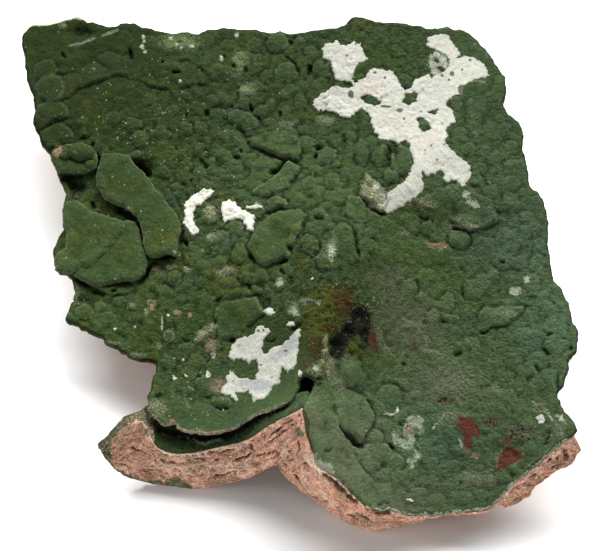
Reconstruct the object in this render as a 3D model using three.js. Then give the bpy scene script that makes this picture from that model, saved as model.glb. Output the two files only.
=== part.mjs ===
// Mineral specimen: a folded plate of pink dolomite carrying a green botryoidal
// mottramite crust with thin white calcite coatings.
// Units are millimetres, +Z is up, and the specimen lies as it rests on a table.
// The viewer's side is -Y: there the plate is broken across its folds, which
// shows two troughs with an arch between them.
import * as THREE from 'three';

// ---------------------------------------------------------------------------
// Driving dimensions (mm)
// ---------------------------------------------------------------------------
const CRUST_THICKNESS = 1.2;      // green crust sheet
const CRUST_GAP = 0.45;           // clearance between the crust and the dolomite
const LINING_THICKNESS = 0.7;     // crust that lines the front left trough
const LINING_GAP = 0.35;          // clearance between the lining and the dolomite
const LINING_RISE = 0.1;          // slope of the lining towards the back
const PLATE_THICKNESS = 1.5;      // raised crust plates on the left side
const PLATE_LIFT = 0.45;          // clearance under a raised plate
const PLATE_CROWN = 0.9;          // extra height in the middle of a raised plate
const COAT_THICKNESS = 0.45;      // white calcite coatings
const COAT_LIFT = 0.35;           // clearance under a coating
const MIN_DOLOMITE = 2.2;         // least thickness of the dolomite plate
const REST_Z = 0;                 // the level that the specimen rests on
const SURFACE_GRID = 3.5;         // spacing of the facets of the large surfaces
const WALL_BULGE = 0.5;           // how far the broken walls stand out at mid height

// Heights of the crust's upper surface: x, y, z.
const SURFACE = [
  [-49.29, 44.75, 16], [-44.37, 47.5, 17], [-39.89, 48.1, 18], [-33.59, 46.03, 18.5], [-26.48, 45.25, 19], [-13.56, 44.77, 20],
  [-1.76, 43.14, 20.5], [9.45, 44.45, 23.5], [18.36, 43.18, 23.5], [26.95, 42.6, 22.5], [33.17, 38.21, 21.5], [-46.77, 30.59, 15],
  [-42.68, 21.5, 13], [-41.18, 13.64, 12.5], [-42.24, 4.19, 11.5], [-38.93, -3.15, 10.5], [-39.14, -8.06, 9.5], [-33.07, -12.45, 9],
  [-27.38, -15.64, 9.2], [-24.48, -16.4, 9.2], [-25.17, -21.95, 9.6], [-25.73, -25.18, 10], [-35.16, 37.68, 17], [-21.02, 36.66, 18.5],
  [-6.99, 35.99, 19.5], [5.22, 34.64, 21.5], [17.35, 33.96, 22.5], [26.01, 32.21, 22], [-36.7, 29.94, 16], [-26.13, 27.53, 16.5],
  [-13.9, 26.88, 17.5], [-1.73, 25.9, 19], [8.62, 24.6, 21], [18.92, 23.95, 22], [28.41, 24.28, 21.5], [35.56, 30.8, 21],
  [38.46, 22.49, 19.5], [-34.69, 18.82, 14], [-24.24, 16.78, 14], [-13.8, 15.85, 15.5], [-3.43, 14.29, 18], [5.11, 12.74, 20.5],
  [13.6, 13.5, 22.5], [22.09, 11.81, 22], [30.69, 12.74, 20.5], [38.89, 13.98, 18.5], [-34.37, 5.89, 12], [-24.03, 5.59, 12.5],
  [-13.67, 4.41, 14.5], [-5.09, 2.62, 17.5], [1.69, 1.44, 19.5], [8.41, 1.91, 22], [16.92, 3.4, 19.5], [25.42, 2.33, 18],
  [34, 4.6, 17.5], [41.99, 4.6, 17.5], [-30.67, -5.11, 10.5], [-20.4, -5.68, 11.5], [-11.85, -6.64, 13.2], [-4.2, -8.51, 16.5],
  [1.66, -10.77, 20.5], [6.64, -11.34, 21.5], [13.42, -7.43, 18], [21.97, -5.72, 15], [30.41, -5.72, 15], [37.08, -6.29, 16],
  [42.65, -4.53, 17], [-20.26, -14.64, 10.2], [-13.48, -15.19, 11.2], [-6.69, -16.71, 14], [-0.83, -19.15, 18.5], [2.96, -19.19, 22],
  [7.45, -17.81, 19.5], [13.36, -16.57, 15.5], [21.88, -13.98, 12.5], [30.29, -13.98, 12.5], [38.48, -15.35, 15], [46.2, -14.92, 17],
  [-21.81, -21.95, 9.6], [-15.09, -22.16, 10], [-8.35, -22.38, 12.2], [-3.31, -24.12, 15.5], [0.49, -24.91, 20.5], [2.95, -26, 20.8],
  [7.45, -24.39, 16], [13.34, -23.37, 12.3], [21.79, -22.16, 10], [30.14, -22.43, 10.5], [38.29, -23.74, 13], [43.61, -23.18, 15.5],
  [43.77, -28.63, 14.5], [-24.19, -27.33, 9.8], [-20.32, -29.29, 9.6], [-15.63, -30.41, 9.8], [-10.79, -29.91, 11.2], [-5.95, -28.45, 14.5],
  [-1.64, -28.6, 18], [0.49, -31.26, 21], [0.98, -34.04, 19.3], [1.63, -36.02, 17.8], [2.78, -38.59, 15.3], [5.89, -39.64, 13],
  [7.88, -41.03, 11], [10.36, -42.61, 9], [12.51, -43.23, 8], [16.66, -43.34, 6.7], [22.15, -43.09, 5.8], [28.45, -42.36, 5.8],
  [31.58, -42.01, 6.2], [34.7, -39.18, 8.3], [39.43, -36.18, 10.8], [43.84, -33.15, 13.2], [7.43, -32.8, 12.5], [5.76, -30.63, 15.5],
  [12.46, -31.33, 9.6], [12.43, -37.74, 7.6], [18.34, -30.63, 8.2], [18.27, -37.25, 6.6], [25.02, -30.53, 8], [24.93, -37.05, 6.2],
  [31.62, -31.03, 9], [31.51, -36.81, 7.6], [36.51, -30.18, 11],
];

// Outline of the main crust sheet, seen from above. It follows the specimen's
// edge, apart from the free lip over the front left trough.
const CRUST_OUTLINE = [
  [9.45, 44.65], [10.68, 44.56], [13.81, 43.37], [18.36, 43.28], [22.03, 42.51], [25.73, 43.2], [28.72, 42.77], [31.13, 40.7],
  [33.17, 38.21], [35.65, 33.63], [35.82, 30.82], [35.24, 28.44], [36.13, 26.32], [37.92, 24.89], [38.46, 22.49], [38.14, 20.16],
  [39.12, 15.89], [38.36, 13.74], [38.97, 11.34], [40.68, 10.87], [41.79, 8.61], [42.29, 5.93], [41.98, 2.14], [42.51, -3.76],
  [44.06, -6.72], [45.11, -9.44], [45.46, -12.82], [46.45, -14.77], [45.9, -18.36], [44.55, -19.45], [44.48, -21.4], [43.59, -23.87],
  [42.57, -25.72], [42.99, -27.83], [44.66, -29.83], [45.69, -31.82], [44.97, -32.83], [43.84, -33.06], [41.97, -34.2], [39.44, -36.09],
  [36.66, -37.83], [34.78, -39.08], [32.57, -41.2], [31.58, -42.01], [28.45, -42.36], [25.31, -42.5], [22.15, -43.09], [18.99, -43.47],
  [16.66, -43.34], [14.51, -42.8], [12.51, -43.23], [10.36, -42.61], [7.88, -41.03], [5.89, -39.64], [4.08, -39.24], [2.78, -38.59],
  [1.63, -36.02], [0.98, -34.04], [0.49, -31.26], [-0.33, -29.21], [-1.64, -28.6], [-3.79, -28.48], [-5.95, -28.45], [-8.45, -28.86],
  [-10.79, -29.91], [-13.29, -30.25], [-15.53, -30.45], [-18.14, -30.03], [-20.32, -29.29], [-22.82, -28.78], [-24.19, -27.33], [-25.39, -25.56],
  [-25.17, -21.75], [-24.2, -18.15], [-24.35, -16.41], [-24.83, -16.02], [-27.37, -15.71], [-30.35, -14.23], [-32.95, -12.45], [-35.85, -10.41],
  [-37.58, -9.15], [-39.99, -8.24], [-39.04, -5.43], [-38.41, -3.33], [-39.24, -0.46], [-41.43, 0.32], [-42.28, 2.9], [-42.33, 4.75],
  [-40.74, 8.46], [-41.21, 12.1], [-40.46, 14.95], [-42.09, 18.39], [-42.57, 20.18], [-43.47, 22.63], [-45.07, 24.47], [-46.75, 28.42],
  [-46.36, 30.94], [-46.84, 33.46], [-48.18, 37.34], [-48.56, 41.64], [-49.34, 43.74], [-49.36, 45.57], [-47.8, 47.85], [-44.38, 47.6],
  [-39.9, 48.4], [-37.72, 47.1], [-34.3, 46.07], [-29.34, 46.48], [-26.48, 45.35], [-22.74, 44.13], [-17.78, 43.67], [-13.56, 44.87],
  [-8.1, 44.35], [-5.63, 43.51], [-1.76, 43.14], [3.51, 43.03], [6.48, 42.89], [7.7, 43.29],
];

// Edge of the dolomite plate. Each row is the upper edge (x, y, z) and the
// lower edge (x, y, z) of the broken wall at one place.
const PLATE_EDGE = [
  [-33.77, -30.88, 7.6, -33.83, -30.75, 6.6], [-32.39, -31.33, 7, -33.27, -31.71, 5.9], [-31.88, -31.06, 7.2, -32.62, -32.48, 5.2],
  [-31.06, -30.14, 7.6, -31.65, -33.38, 4], [-29.7, -29.15, 8.6, -30.43, -33.91, 2.8], [-28.18, -28.44, 9.4, -29.38, -34.35, 2],
  [-26.5, -27.99, 9.8, -28.25, -34.43, 1.2], [-25.68, -28.71, 9.2, -27.09, -34.56, 0.7], [-25.18, -29.66, 8.5, -25.93, -34.6, 0.4],
  [-24.53, -30.88, 7.6, -24.59, -34.83, 0.1], [-23.7, -31.57, 7.1, -23.24, -34.96, 0], [-22.53, -32.07, 6.8, -21.89, -35.06, 0],
  [-21.03, -32.34, 6.6, -20.54, -35.34, 0], [-19.69, -32.43, 6.6, -19.19, -35.52, 0], [-18.18, -32.44, 6.8, -17.84, -35.71, 0],
  [-16.51, -32.22, 7.1, -16.32, -35.62, 0], [-14.84, -31.95, 7.5, -14.98, -35.44, 0.1], [-13.33, -31.83, 8, -13.46, -35.3, 0.5],
  [-11.65, -31.71, 8.5, -11.82, -35.32, 1.3], [-10.14, -31.64, 9.1, -10.06, -35.29, 2.4], [-8.8, -31.54, 10, -8.58, -35.38, 3.6],
  [-7.54, -31.29, 11.1, -7.17, -35.45, 5.2], [-6.45, -31.03, 12.3, -5.98, -35.6, 7], [-5.28, -30.72, 13.5, -4.97, -35.64, 8.4],
  [-3.95, -30.69, 14.9, -4.06, -35.7, 9.3], [-2.63, -30.58, 16.3, -3.32, -36.09, 8], [-1.47, -30.71, 17.8, -2.66, -36.57, 7.1],
  [-0.49, -30.83, 19.1, -1.83, -36.96, 6], [0.49, -30.95, 20.4, -1, -37.3, 5], [0.81, -32.47, 19.8, -0.17, -37.65, 4],
  [0.98, -33.89, 19, 0.67, -38, 3.2], [1.3, -34.94, 18.2, 1.5, -38.4, 2.5], [1.79, -36.08, 17.2, 2.51, -38.9, 1.8],
  [2.28, -37.27, 16.3, 3.51, -39.35, 1], [2.94, -38.62, 15, 4.69, -39.98, 0.4], [4.25, -39.22, 14, 5.86, -40.77, 0.1],
  [5.9, -39.72, 12.8, 7.19, -41.55, 0], [7.05, -40.41, 11.6, 8.36, -42.19, 0], [8.21, -41.15, 10.5, 9.69, -42.84, 0],
  [9.37, -41.99, 9.6, 11.02, -43.3, 0], [10.52, -42.66, 8.9, 12.35, -43.39, 0], [11.85, -43.14, 8.2, 13.52, -43.3, 0],
  [13.34, -43.18, 7.7, 14.7, -43.11, 0], [14.84, -42.94, 7.2, 15.87, -42.74, 0], [16.67, -43.29, 6.6, 17.21, -42.38, 0],
  [18.16, -43.47, 6.2, 18.72, -42.19, 0.2], [19.82, -43.37, 6, 20.18, -42.25, 1.3], [21.49, -43.19, 5.8, 21.59, -42.64, 3.3],
  [23.32, -42.86, 5.7, 23.39, -42.57, 4], [25.31, -42.59, 5.7, 25.38, -42.38, 4.3], [27.3, -42.41, 5.7, 27.36, -42.25, 4.4],
  [29.28, -42.46, 5.8, 29.36, -42.21, 4.4], [30.92, -42.28, 6, 31.02, -41.99, 4.4], [31.91, -41.74, 6.4, 32.38, -41.38, 4.3],
  [32.73, -41.06, 6.9, 33.27, -40.77, 3.6], [33.71, -40.12, 7.6, 34.48, -40.58, 3], [34.77, -39.23, 8.4, 35.82, -40.21, 3],
  [36, -38.37, 9.1, 37.17, -39.93, 3], [37.29, -37.71, 9.8, 38.32, -39.84, 3.3], [38.6, -36.77, 10.5, 39.43, -39.13, 4.4],
  [39.75, -36.06, 11.1, 40.54, -38.33, 5.6], [41.06, -35.02, 11.8, 41.57, -37.66, 6.7], [42.21, -34.17, 12.3, 42.61, -37, 7.6],
  [43.35, -33.37, 12.9, 43.89, -36.29, 8.6], [44.65, -32.97, 13.4, 45.18, -35.54, 9.5], [45.51, -33.58, 12.6, 45.89, -34.83, 10.3],
  [46.19, -34.2, 12, 46.26, -34.08, 11.2], [45.63, -31.97, 14.14, 42.29, -32.7, 6.32], [44.66, -29.83, 14.48, 41.38, -30.81, 7.37],
  [42.99, -27.83, 14.38, 39.89, -28.53, 8.55], [42.57, -25.72, 14.63, 39.14, -25.62, 9.21], [43.59, -23.87, 15.38, 40.86, -23.34, 9.11],
  [44.48, -21.4, 16.02, 41.3, -20.72, 9.17], [44.55, -19.45, 16.26, 41.33, -18.61, 7.32], [45.9, -18.36, 16.7, 43.24, -17.9, 7.98],
  [46.45, -14.77, 17.06, 43.9, -14.84, 8.32], [45.46, -12.82, 17, 42.91, -13.23, 7.75], [45.11, -9.44, 17.13, 42.23, -10.04, 9.45],
  [44.06, -6.72, 17.09, 40.91, -7.55, 10.5], [42.51, -3.76, 17.02, 39.86, -4.32, 11.4], [41.98, 2.14, 17.32, 38.93, 1.66, 9.48],
  [42.29, 5.93, 17.6, 39.12, 5.42, 8.8], [41.79, 8.61, 17.78, 38.88, 7.79, 8.76], [40.68, 10.87, 18.01, 37.94, 9.58, 11.26],
  [38.97, 11.34, 18.21, 36.48, 10.33, 11.04], [38.36, 13.74, 18.57, 35.37, 13.26, 12.14], [39.12, 15.89, 18.68, 36.24, 15.47, 12.5],
  [38.14, 20.16, 19.31, 35.27, 19.71, 11.98], [38.46, 22.49, 19.5, 35.26, 21.95, 11.85], [37.92, 24.89, 19.92, 35.19, 23.95, 11.02],
  [36.13, 26.32, 20.41, 33.18, 25.16, 11.85], [35.24, 28.44, 20.8, 32.28, 27.72, 11.92], [35.82, 30.82, 20.97, 32.56, 30.02, 13.42],
  [35.65, 33.63, 21.13, 32.63, 32.21, 8.62], [33.17, 38.21, 21.5, 30.56, 36.35, 9.72], [31.13, 40.7, 21.88, 28.69, 38.04, 10.41],
  [28.72, 42.77, 22.32, 27.13, 39.63, 12.11], [25.73, 43.2, 22.7, 24.99, 39.69, 13.8], [22.03, 42.51, 23.09, 21.63, 39.5, 14.46],
  [18.36, 43.28, 23.51, 17.97, 39.77, 13.47], [13.81, 43.37, 23.68, 13.48, 40.1, 13.04], [10.68, 44.56, 23.65, 10.37, 41.28, 11.35],
  [9.45, 44.65, 23.52, 9.92, 41.26, 9.18], [7.7, 43.29, 23.04, 8.35, 40.14, 9.26], [6.48, 42.89, 22.7, 6.6, 40.11, 9.15],
  [3.51, 43.03, 21.89, 3.47, 40.18, 8.92], [-1.76, 43.14, 20.5, -1.89, 40.07, 9.86], [-5.63, 43.51, 20.15, -5.89, 40.75, 12.14],
  [-8.1, 44.35, 20.13, -8.4, 40.99, 11.59], [-13.56, 44.87, 20.01, -13.66, 41.6, 9.03], [-17.78, 43.67, 19.61, -17.9, 40.48, 6.44],
  [-22.74, 44.13, 19.23, -23.15, 40.94, 4.58], [-26.48, 45.35, 19.01, -27.11, 42.05, 7.25], [-29.34, 46.48, 18.93, -29.75, 43.44, 6.8],
  [-34.3, 46.07, 18.43, -34.66, 43.23, 12.34], [-37.72, 47.1, 18.19, -38.21, 44.17, 11.83], [-39.9, 48.4, 18.03, -39.96, 45.29, 11.62],
  [-44.38, 47.6, 17.01, -43.92, 44.86, 10.63], [-47.8, 47.85, 16.51, -46.45, 45.25, 9.48], [-49.36, 45.57, 16.06, -46.43, 43.79, 9.4],
  [-49.34, 43.74, 15.91, -46.73, 43.5, 9.11], [-48.56, 41.64, 15.86, -45.4, 41.85, 8.94], [-48.18, 37.34, 15.61, -45.36, 37.81, 9.68],
  [-46.84, 33.46, 15.42, -43.81, 34.14, 9.41], [-46.36, 30.94, 15.11, -43.18, 31.53, 8.23], [-46.75, 28.42, 14.49, -43.94, 29.19, 7.42],
  [-45.07, 24.47, 13.54, -42.55, 25.45, 6.46], [-43.47, 22.63, 13.17, -40.73, 23.78, 6.33], [-42.57, 20.18, 12.82, -39.5, 21.17, 5.7],
  [-42.09, 18.39, 12.72, -38.78, 19.28, 6.82], [-40.46, 14.95, 12.69, -37.92, 15.29, 6.13], [-41.21, 12.1, 12.36, -38.63, 12.18, 5.66],
  [-40.74, 8.46, 12.05, -37.71, 8.4, 5.33], [-42.33, 4.75, 11.56, -39.97, 4.69, 7.36], [-42.28, 2.9, 11.33, -39.59, 3.31, 6.72],
  [-41.43, 0.32, 10.99, -39.52, 1.07, 6.94], [-39.24, -0.46, 10.96, -36.93, 0.48, 6.75], [-38.41, -3.33, 10.48, -36.14, -2.81, 5.83],
  [-39.04, -5.43, 10.03, -36.79, -4.98, 5.25], [-39.99, -8.24, 9.46, -37.71, -7.07, 5.01], [-37.58, -9.15, 9.35, -36.1, -7.56, 5.02],
  [-35.85, -10.41, 9.18, -34.23, -8.39, 4.35], [-32.95, -12.45, 9.01, -31.75, -10.73, 4.93], [-30.35, -14.23, 9.09, -28.98, -12.05, 4.39],
  [-27.37, -15.71, 9.2, -26.3, -13.9, 4.51], [-24.83, -16.02, 9.21, -23.28, -13.92, 4.64], [-24.35, -16.41, 9.21, -22.22, -15.58, 4.86],
  [-24.2, -18.15, 9.25, -21.9, -18.13, 4.55], [-25.17, -21.75, 9.57, -22.94, -22.18, 5.33], [-25.41, -24.67, 10.1, -23.73, -25.34, 6.2],
  [-26.54, -26.13, 10.2, -25.12, -27.28, 6.38], [-28.19, -26.79, 10.2, -27.27, -27.85, 6.89], [-29.43, -27.3, 10.1, -28.34, -28.51, 6.24],
  [-30.82, -28.72, 9.6, -29.58, -30.01, 5.9], [-32.16, -30.13, 8.7, -30.89, -31.43, 5.35],
];

// Heights of the dolomite's underside: x, y, z. Values under the rest level
// become flat resting faces.
const UNDERSIDE = [
  [-21, -31, -1.6], [-26, -27, 0.2], [-16, -31, -0.8], [-22, -24, 1.5], [14, -37, -2.2], [8, -31, 0.2],
  [20, -34, -0.8], [15, -28, 0.6], [-4, -22, 9], [-3, -14, 8.5], [-1, -4, 7.5], [-12, -20, 5],
  [5, -18, 5], [-30, -8, 4.4], [-36, 12, 5], [-14, -6, 4.2], [28, -24, 3.2], [36, -10, 6],
  [24, -8, 4], [38, 8, 6], [10, 8, 5.2], [-8, 14, 5], [-22, 12, 3], [30, 20, 3.5],
  [-30, 30, -1.8], [-24, 32, -1.2], [-34, 36, 2], [26, 32, -2], [32, 30, -1.2], [20, 34, -0.6],
  [0, 32, 4.5], [4, 20, 5], [-14, 30, 2.5], [14, 22, 3.5],
];

// Front edge of the crust lining in the left trough (x, y, z), and how far the
// lining reaches back from there, into the gap under the main crust's lip.
const LINING_EDGE = [
  [-24.53, -30.88, 7.6, 6.5], [-23.7, -31.57, 7.1, 6.8], [-22.53, -32.07, 6.8, 7], [-21.03, -32.34, 6.6, 7],
  [-19.69, -32.43, 6.6, 7], [-18.18, -32.44, 6.8, 6.8], [-16.51, -32.22, 7.1, 6.3], [-14.84, -31.95, 7.5, 5.6],
  [-13.33, -31.83, 8, 4.5], [-11.65, -31.71, 8.5, 4.4], [-10.14, -31.64, 9.1, 4.2], [-8.8, -31.54, 10, 3.9],
  [-7.54, -31.29, 11.1, 3.2], [-6.45, -31.03, 12.3, 2.3], [-5.28, -30.72, 13.5, 1.9], [-3.95, -30.69, 14.9, 1.8],
  [-2.63, -30.58, 16.3, 1.7], [-1.47, -30.71, 17.8, 1.6],
];

// Raised crust plates, seen from above.
const PLATE_UPPER_LEFT = [
  [-34.99, 17.63], [-33.93, 19.95], [-32.05, 21.33], [-29.42, 19.81], [-27.37, 17.82], [-25.36, 15.25], [-21.3, 10.73], [-20.4, 8.21],
  [-20.49, 3.18], [-23.45, 2.12], [-26.14, 2.55], [-27.19, 8.63], [-28.89, 10.52], [-33.25, 12.62], [-34.61, 15.42],
];
const PLATE_LOWER_LEFT = [
  [-40.85, 12.17], [-38.5, 12.06], [-36.14, 10.94], [-32.84, 10.22], [-30.52, 9.44], [-27.86, 8.27], [-26.89, 5.45], [-26.13, 2.09],
  [-26.75, -1.19], [-28.93, -2.91], [-34.06, -2.76], [-37.51, -1.28], [-41.47, -0.29], [-42.19, 3.92], [-40.67, 7.05],
];
const SHELF_LEFT = [
  [-43.34, 21.8], [-42.08, 22.96], [-39.98, 23.46], [-37.34, 23.18], [-35.54, 21.36], [-35.13, 19.11], [-36.68, 18.13], [-39.12, 17.8],
  [-41.59, 18.24], [-42.43, 19.28],
];

// White calcite coatings, seen from above, and the bare spots in the largest.
const COAT_BACK_RIGHT = [
  [23.3, 41.24], [25.74, 41.24], [27.76, 37.55], [26.95, 35.85], [28.17, 35.89], [29.44, 37.31], [32.93, 34.64], [32.27, 32.69],
  [30.18, 32.69], [28.93, 31.64], [27.54, 31.67], [27.44, 30.21], [27.83, 29.31], [25.2, 28.34], [24.58, 26.02], [24.95, 24.93],
  [26.75, 24.29], [24.56, 19.16], [25.26, 17.27], [27.15, 15.79], [27.35, 14.66], [29.15, 14.42], [29.19, 13.21], [28.4, 11.14],
  [25.48, 11.46], [24.28, 11.05], [24.85, 12.54], [24.48, 12.93], [22.42, 12.63], [21.94, 14.03], [21.41, 12.93], [20.39, 13.35],
  [20.96, 11.19], [20.39, 9.49], [18.63, 7.75], [15.91, 7.31], [15.73, 6.19], [13.86, 5.84], [14.76, 8.54], [13.68, 9.18],
  [18.56, 12.52], [19.66, 16.02], [18.93, 17.1], [18.21, 17.03], [17.63, 20.52], [15.38, 19.12], [13.18, 20.14], [12.29, 21.84],
  [12.78, 22.86], [12.14, 23.76], [12.11, 25.61], [10.87, 27], [9.76, 26.23], [9.81, 24.53], [8.79, 25.23], [7.58, 25.03],
  [5.18, 26.96], [3.8, 26.64], [2.02, 27.51], [1.84, 28.68], [3.64, 30.62], [4.51, 30.39], [6.07, 31.51], [7.45, 30.81],
  [9.2, 31.1], [8.3, 32.3], [6.42, 32.46], [5.9, 33.07], [5.79, 35.48], [4.29, 37.06], [3.6, 39.15], [4.54, 38.76],
  [5.06, 39.76], [6.28, 39.81], [7.49, 39.02], [7.66, 38.09], [9.23, 38.65], [9.88, 37.2], [10.78, 37.17], [11.37, 36.34],
  [10.94, 35.33], [10.03, 35.66], [9.96, 34.51], [9.9, 33.4], [10.9, 31.9], [11.97, 33.69], [14.05, 34.4], [15.08, 33.26],
  [16.38, 33.13], [16.72, 30.59], [18.32, 29.74], [19.91, 31.82], [22.41, 32.81], [22.32, 34.4], [23.47, 36.5], [24.17, 36.34],
  [25.11, 37.16], [21.71, 39.14],
];
const COAT_BACK_RIGHT_HOLES = [
[
  [11.76, 29.64], [10.14, 28.75], [10.7, 27.65], [12.08, 27.5], [13.13, 28.82],
],
[
  [20.05, 29.86], [18.04, 28.79], [17.42, 27.3], [17.93, 26.91], [20, 27.11], [20.46, 28.58], [20.46, 29.58],
],
];
const COAT_FRONT = [
  [-6.77, -11.76], [-6.14, -12.14], [-6.58, -12.36], [-6.4, -13.31], [-5.86, -13.26], [-5.15, -14.29], [-6.26, -15.31], [-6.57, -17.12],
  [-6.02, -16.92], [-5.34, -17.93], [-4.77, -17.56], [-5.34, -16.99], [-2.66, -17.46], [-1.33, -16.95], [-0.26, -18.81], [-0.92, -22.62],
  [-1.49, -22.01], [-2.32, -22.27], [-3.15, -21.32], [-3.25, -23.45], [-4.36, -24], [-4.41, -24.77], [-7.81, -25.83], [-8.09, -23.93],
  [-8.96, -22.43], [-10.2, -21.91], [-9.14, -22.93], [-9.51, -23.47], [-10.74, -23.31], [-10.67, -25.2], [-12.37, -23.14], [-13.24, -23.45],
  [-12.92, -21.87], [-12.5, -21.93], [-12.62, -19.95], [-11.57, -19.37], [-10.37, -20.76], [-7.34, -21.45], [-7.13, -19.01], [-7.86, -18.2],
  [-8.7, -18.82], [-9.72, -17.76], [-11.58, -17.84], [-12.07, -16.48], [-12.82, -16.01], [-11.21, -15.23], [-11.47, -14.83], [-10.43, -13.74],
  [-7.21, -13.8], [-7.76, -12.72], [-7.22, -12.1], [-6.81, -12.46],
];
const COAT_CRESCENT = [
  [-15.76, 14.16], [-15.28, 14.1], [-15.08, 13.32], [-15.26, 12.58], [-16.03, 12.12], [-15.76, 11.51], [-17.37, 11.39], [-18.64, 10.73],
  [-18.31, 8.99], [-18.57, 8.45], [-17.57, 6.83], [-18.1, 5.77], [-18.5, 5.76], [-18.68, 6.45], [-19.78, 7.08], [-20.23, 12.2],
  [-18.1, 13.73],
];
const COAT_CENTRE = [
  [-12.97, 11.68], [-12.19, 11.64], [-11.66, 10.83], [-10.62, 10.4], [-10.32, 8.9], [-9.92, 8.55], [-8.15, 8.29], [-7.59, 6.99],
  [-8.34, 5.1], [-8.69, 5.17], [-10.25, 7.8], [-10.77, 7.53], [-12.32, 7.97], [-13.04, 7.28], [-13.14, 8.82], [-13.78, 9.31],
  [-13.82, 10.47], [-13.45, 11.56],
];

// ---------------------------------------------------------------------------
// Smooth surface through scattered heights
// ---------------------------------------------------------------------------
const kernel = (r2) => (r2 > 1e-12 ? 0.5 * r2 * Math.log(r2) : 0);

function surfaceThrough(points, stiffness = 0.02) {
  const n = points.length;
  const m = n + 3;
  const a = Array.from({ length: m }, () => new Float64Array(m + 1));
  for (let i = 0; i < n; i++) {
    for (let j = 0; j < n; j++) {
      const dx = points[i][0] - points[j][0];
      const dy = points[i][1] - points[j][1];
      a[i][j] = kernel(dx * dx + dy * dy);
    }
    a[i][i] += stiffness;
    a[i][n] = a[n][i] = 1;
    a[i][n + 1] = a[n + 1][i] = points[i][0];
    a[i][n + 2] = a[n + 2][i] = points[i][1];
    a[i][m] = points[i][2];
  }
  for (let c = 0; c < m; c++) {
    let p = c;
    for (let r = c + 1; r < m; r++) if (Math.abs(a[r][c]) > Math.abs(a[p][c])) p = r;
    [a[c], a[p]] = [a[p], a[c]];
    for (let r = c + 1; r < m; r++) {
      const k = a[r][c] / a[c][c];
      if (k !== 0) for (let q = c; q <= m; q++) a[r][q] -= k * a[c][q];
    }
  }
  const w = new Float64Array(m);
  for (let r = m - 1; r >= 0; r--) {
    let s = a[r][m];
    for (let q = r + 1; q < m; q++) s -= a[r][q] * w[q];
    w[r] = s / a[r][r];
  }
  return (x, y) => {
    let z = w[n] + w[n + 1] * x + w[n + 2] * y;
    for (let i = 0; i < n; i++) {
      const dx = x - points[i][0];
      const dy = y - points[i][1];
      z += w[i] * kernel(dx * dx + dy * dy);
    }
    return z;
  };
}

// ---------------------------------------------------------------------------
// Plane geometry helpers
// ---------------------------------------------------------------------------
function inside(poly, x, y) {
  let c = false;
  for (let i = 0, j = poly.length - 1; i < poly.length; j = i++) {
    const [xi, yi] = poly[i];
    const [xj, yj] = poly[j];
    if (yi > y !== yj > y && x < ((xj - xi) * (y - yi)) / (yj - yi) + xi) c = !c;
  }
  return c;
}

function edgeDistance(poly, x, y) {
  let best = Infinity;
  for (let i = 0, j = poly.length - 1; i < poly.length; j = i++) {
    const [ax, ay] = poly[j];
    const [bx, by] = poly[i];
    const dx = bx - ax;
    const dy = by - ay;
    const l = dx * dx + dy * dy || 1e-12;
    const t = Math.min(1, Math.max(0, ((x - ax) * dx + (y - ay) * dy) / l));
    best = Math.min(best, Math.hypot(x - ax - t * dx, y - ay - t * dy));
  }
  return best;
}

// Points at about even steps along a closed outline, keeping its corners.
function resample(poly, step) {
  const out = [];
  for (let i = 0; i < poly.length; i++) {
    const a = poly[i];
    const b = poly[(i + 1) % poly.length];
    const k = Math.max(1, Math.round(Math.hypot(b[0] - a[0], b[1] - a[1]) / step));
    for (let j = 0; j < k; j++) out.push(a.map((v, q) => v + ((b[q] - v) * j) / k));
  }
  return out;
}

// Drops corners that are closer together than the least step.
function thin(poly, least) {
  const out = [poly[0]];
  for (const p of poly.slice(1)) {
    const q = out[out.length - 1];
    if (Math.hypot(p[0] - q[0], p[1] - q[1]) >= least) out.push(p);
  }
  const a = out[0];
  const z = out[out.length - 1];
  if (Math.hypot(a[0] - z[0], a[1] - z[1]) < least) out.pop();
  return out;
}

function staggeredGrid(poly, holes, step, margin, noise = 0.12) {
  const xs = poly.map((p) => p[0]);
  const ys = poly.map((p) => p[1]);
  const out = [];
  let row = 0;
  for (let y = Math.min(...ys); y <= Math.max(...ys); y += step * 0.866, row++) {
    for (let x = Math.min(...xs) + (row % 2) * 0.5 * step; x <= Math.max(...xs); x += step) {
      const px = x + noise * step * Math.sin(x * 12.9 + y * 78.2);
      const py = y + noise * step * Math.sin(x * 39.3 - y * 11.1);
      if (!inside(poly, px, py) || edgeDistance(poly, px, py) < margin) continue;
      if (holes.some((h) => inside(h, px, py) || edgeDistance(h, px, py) < margin)) continue;
      out.push([px, py]);
    }
  }
  return out;
}

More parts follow.
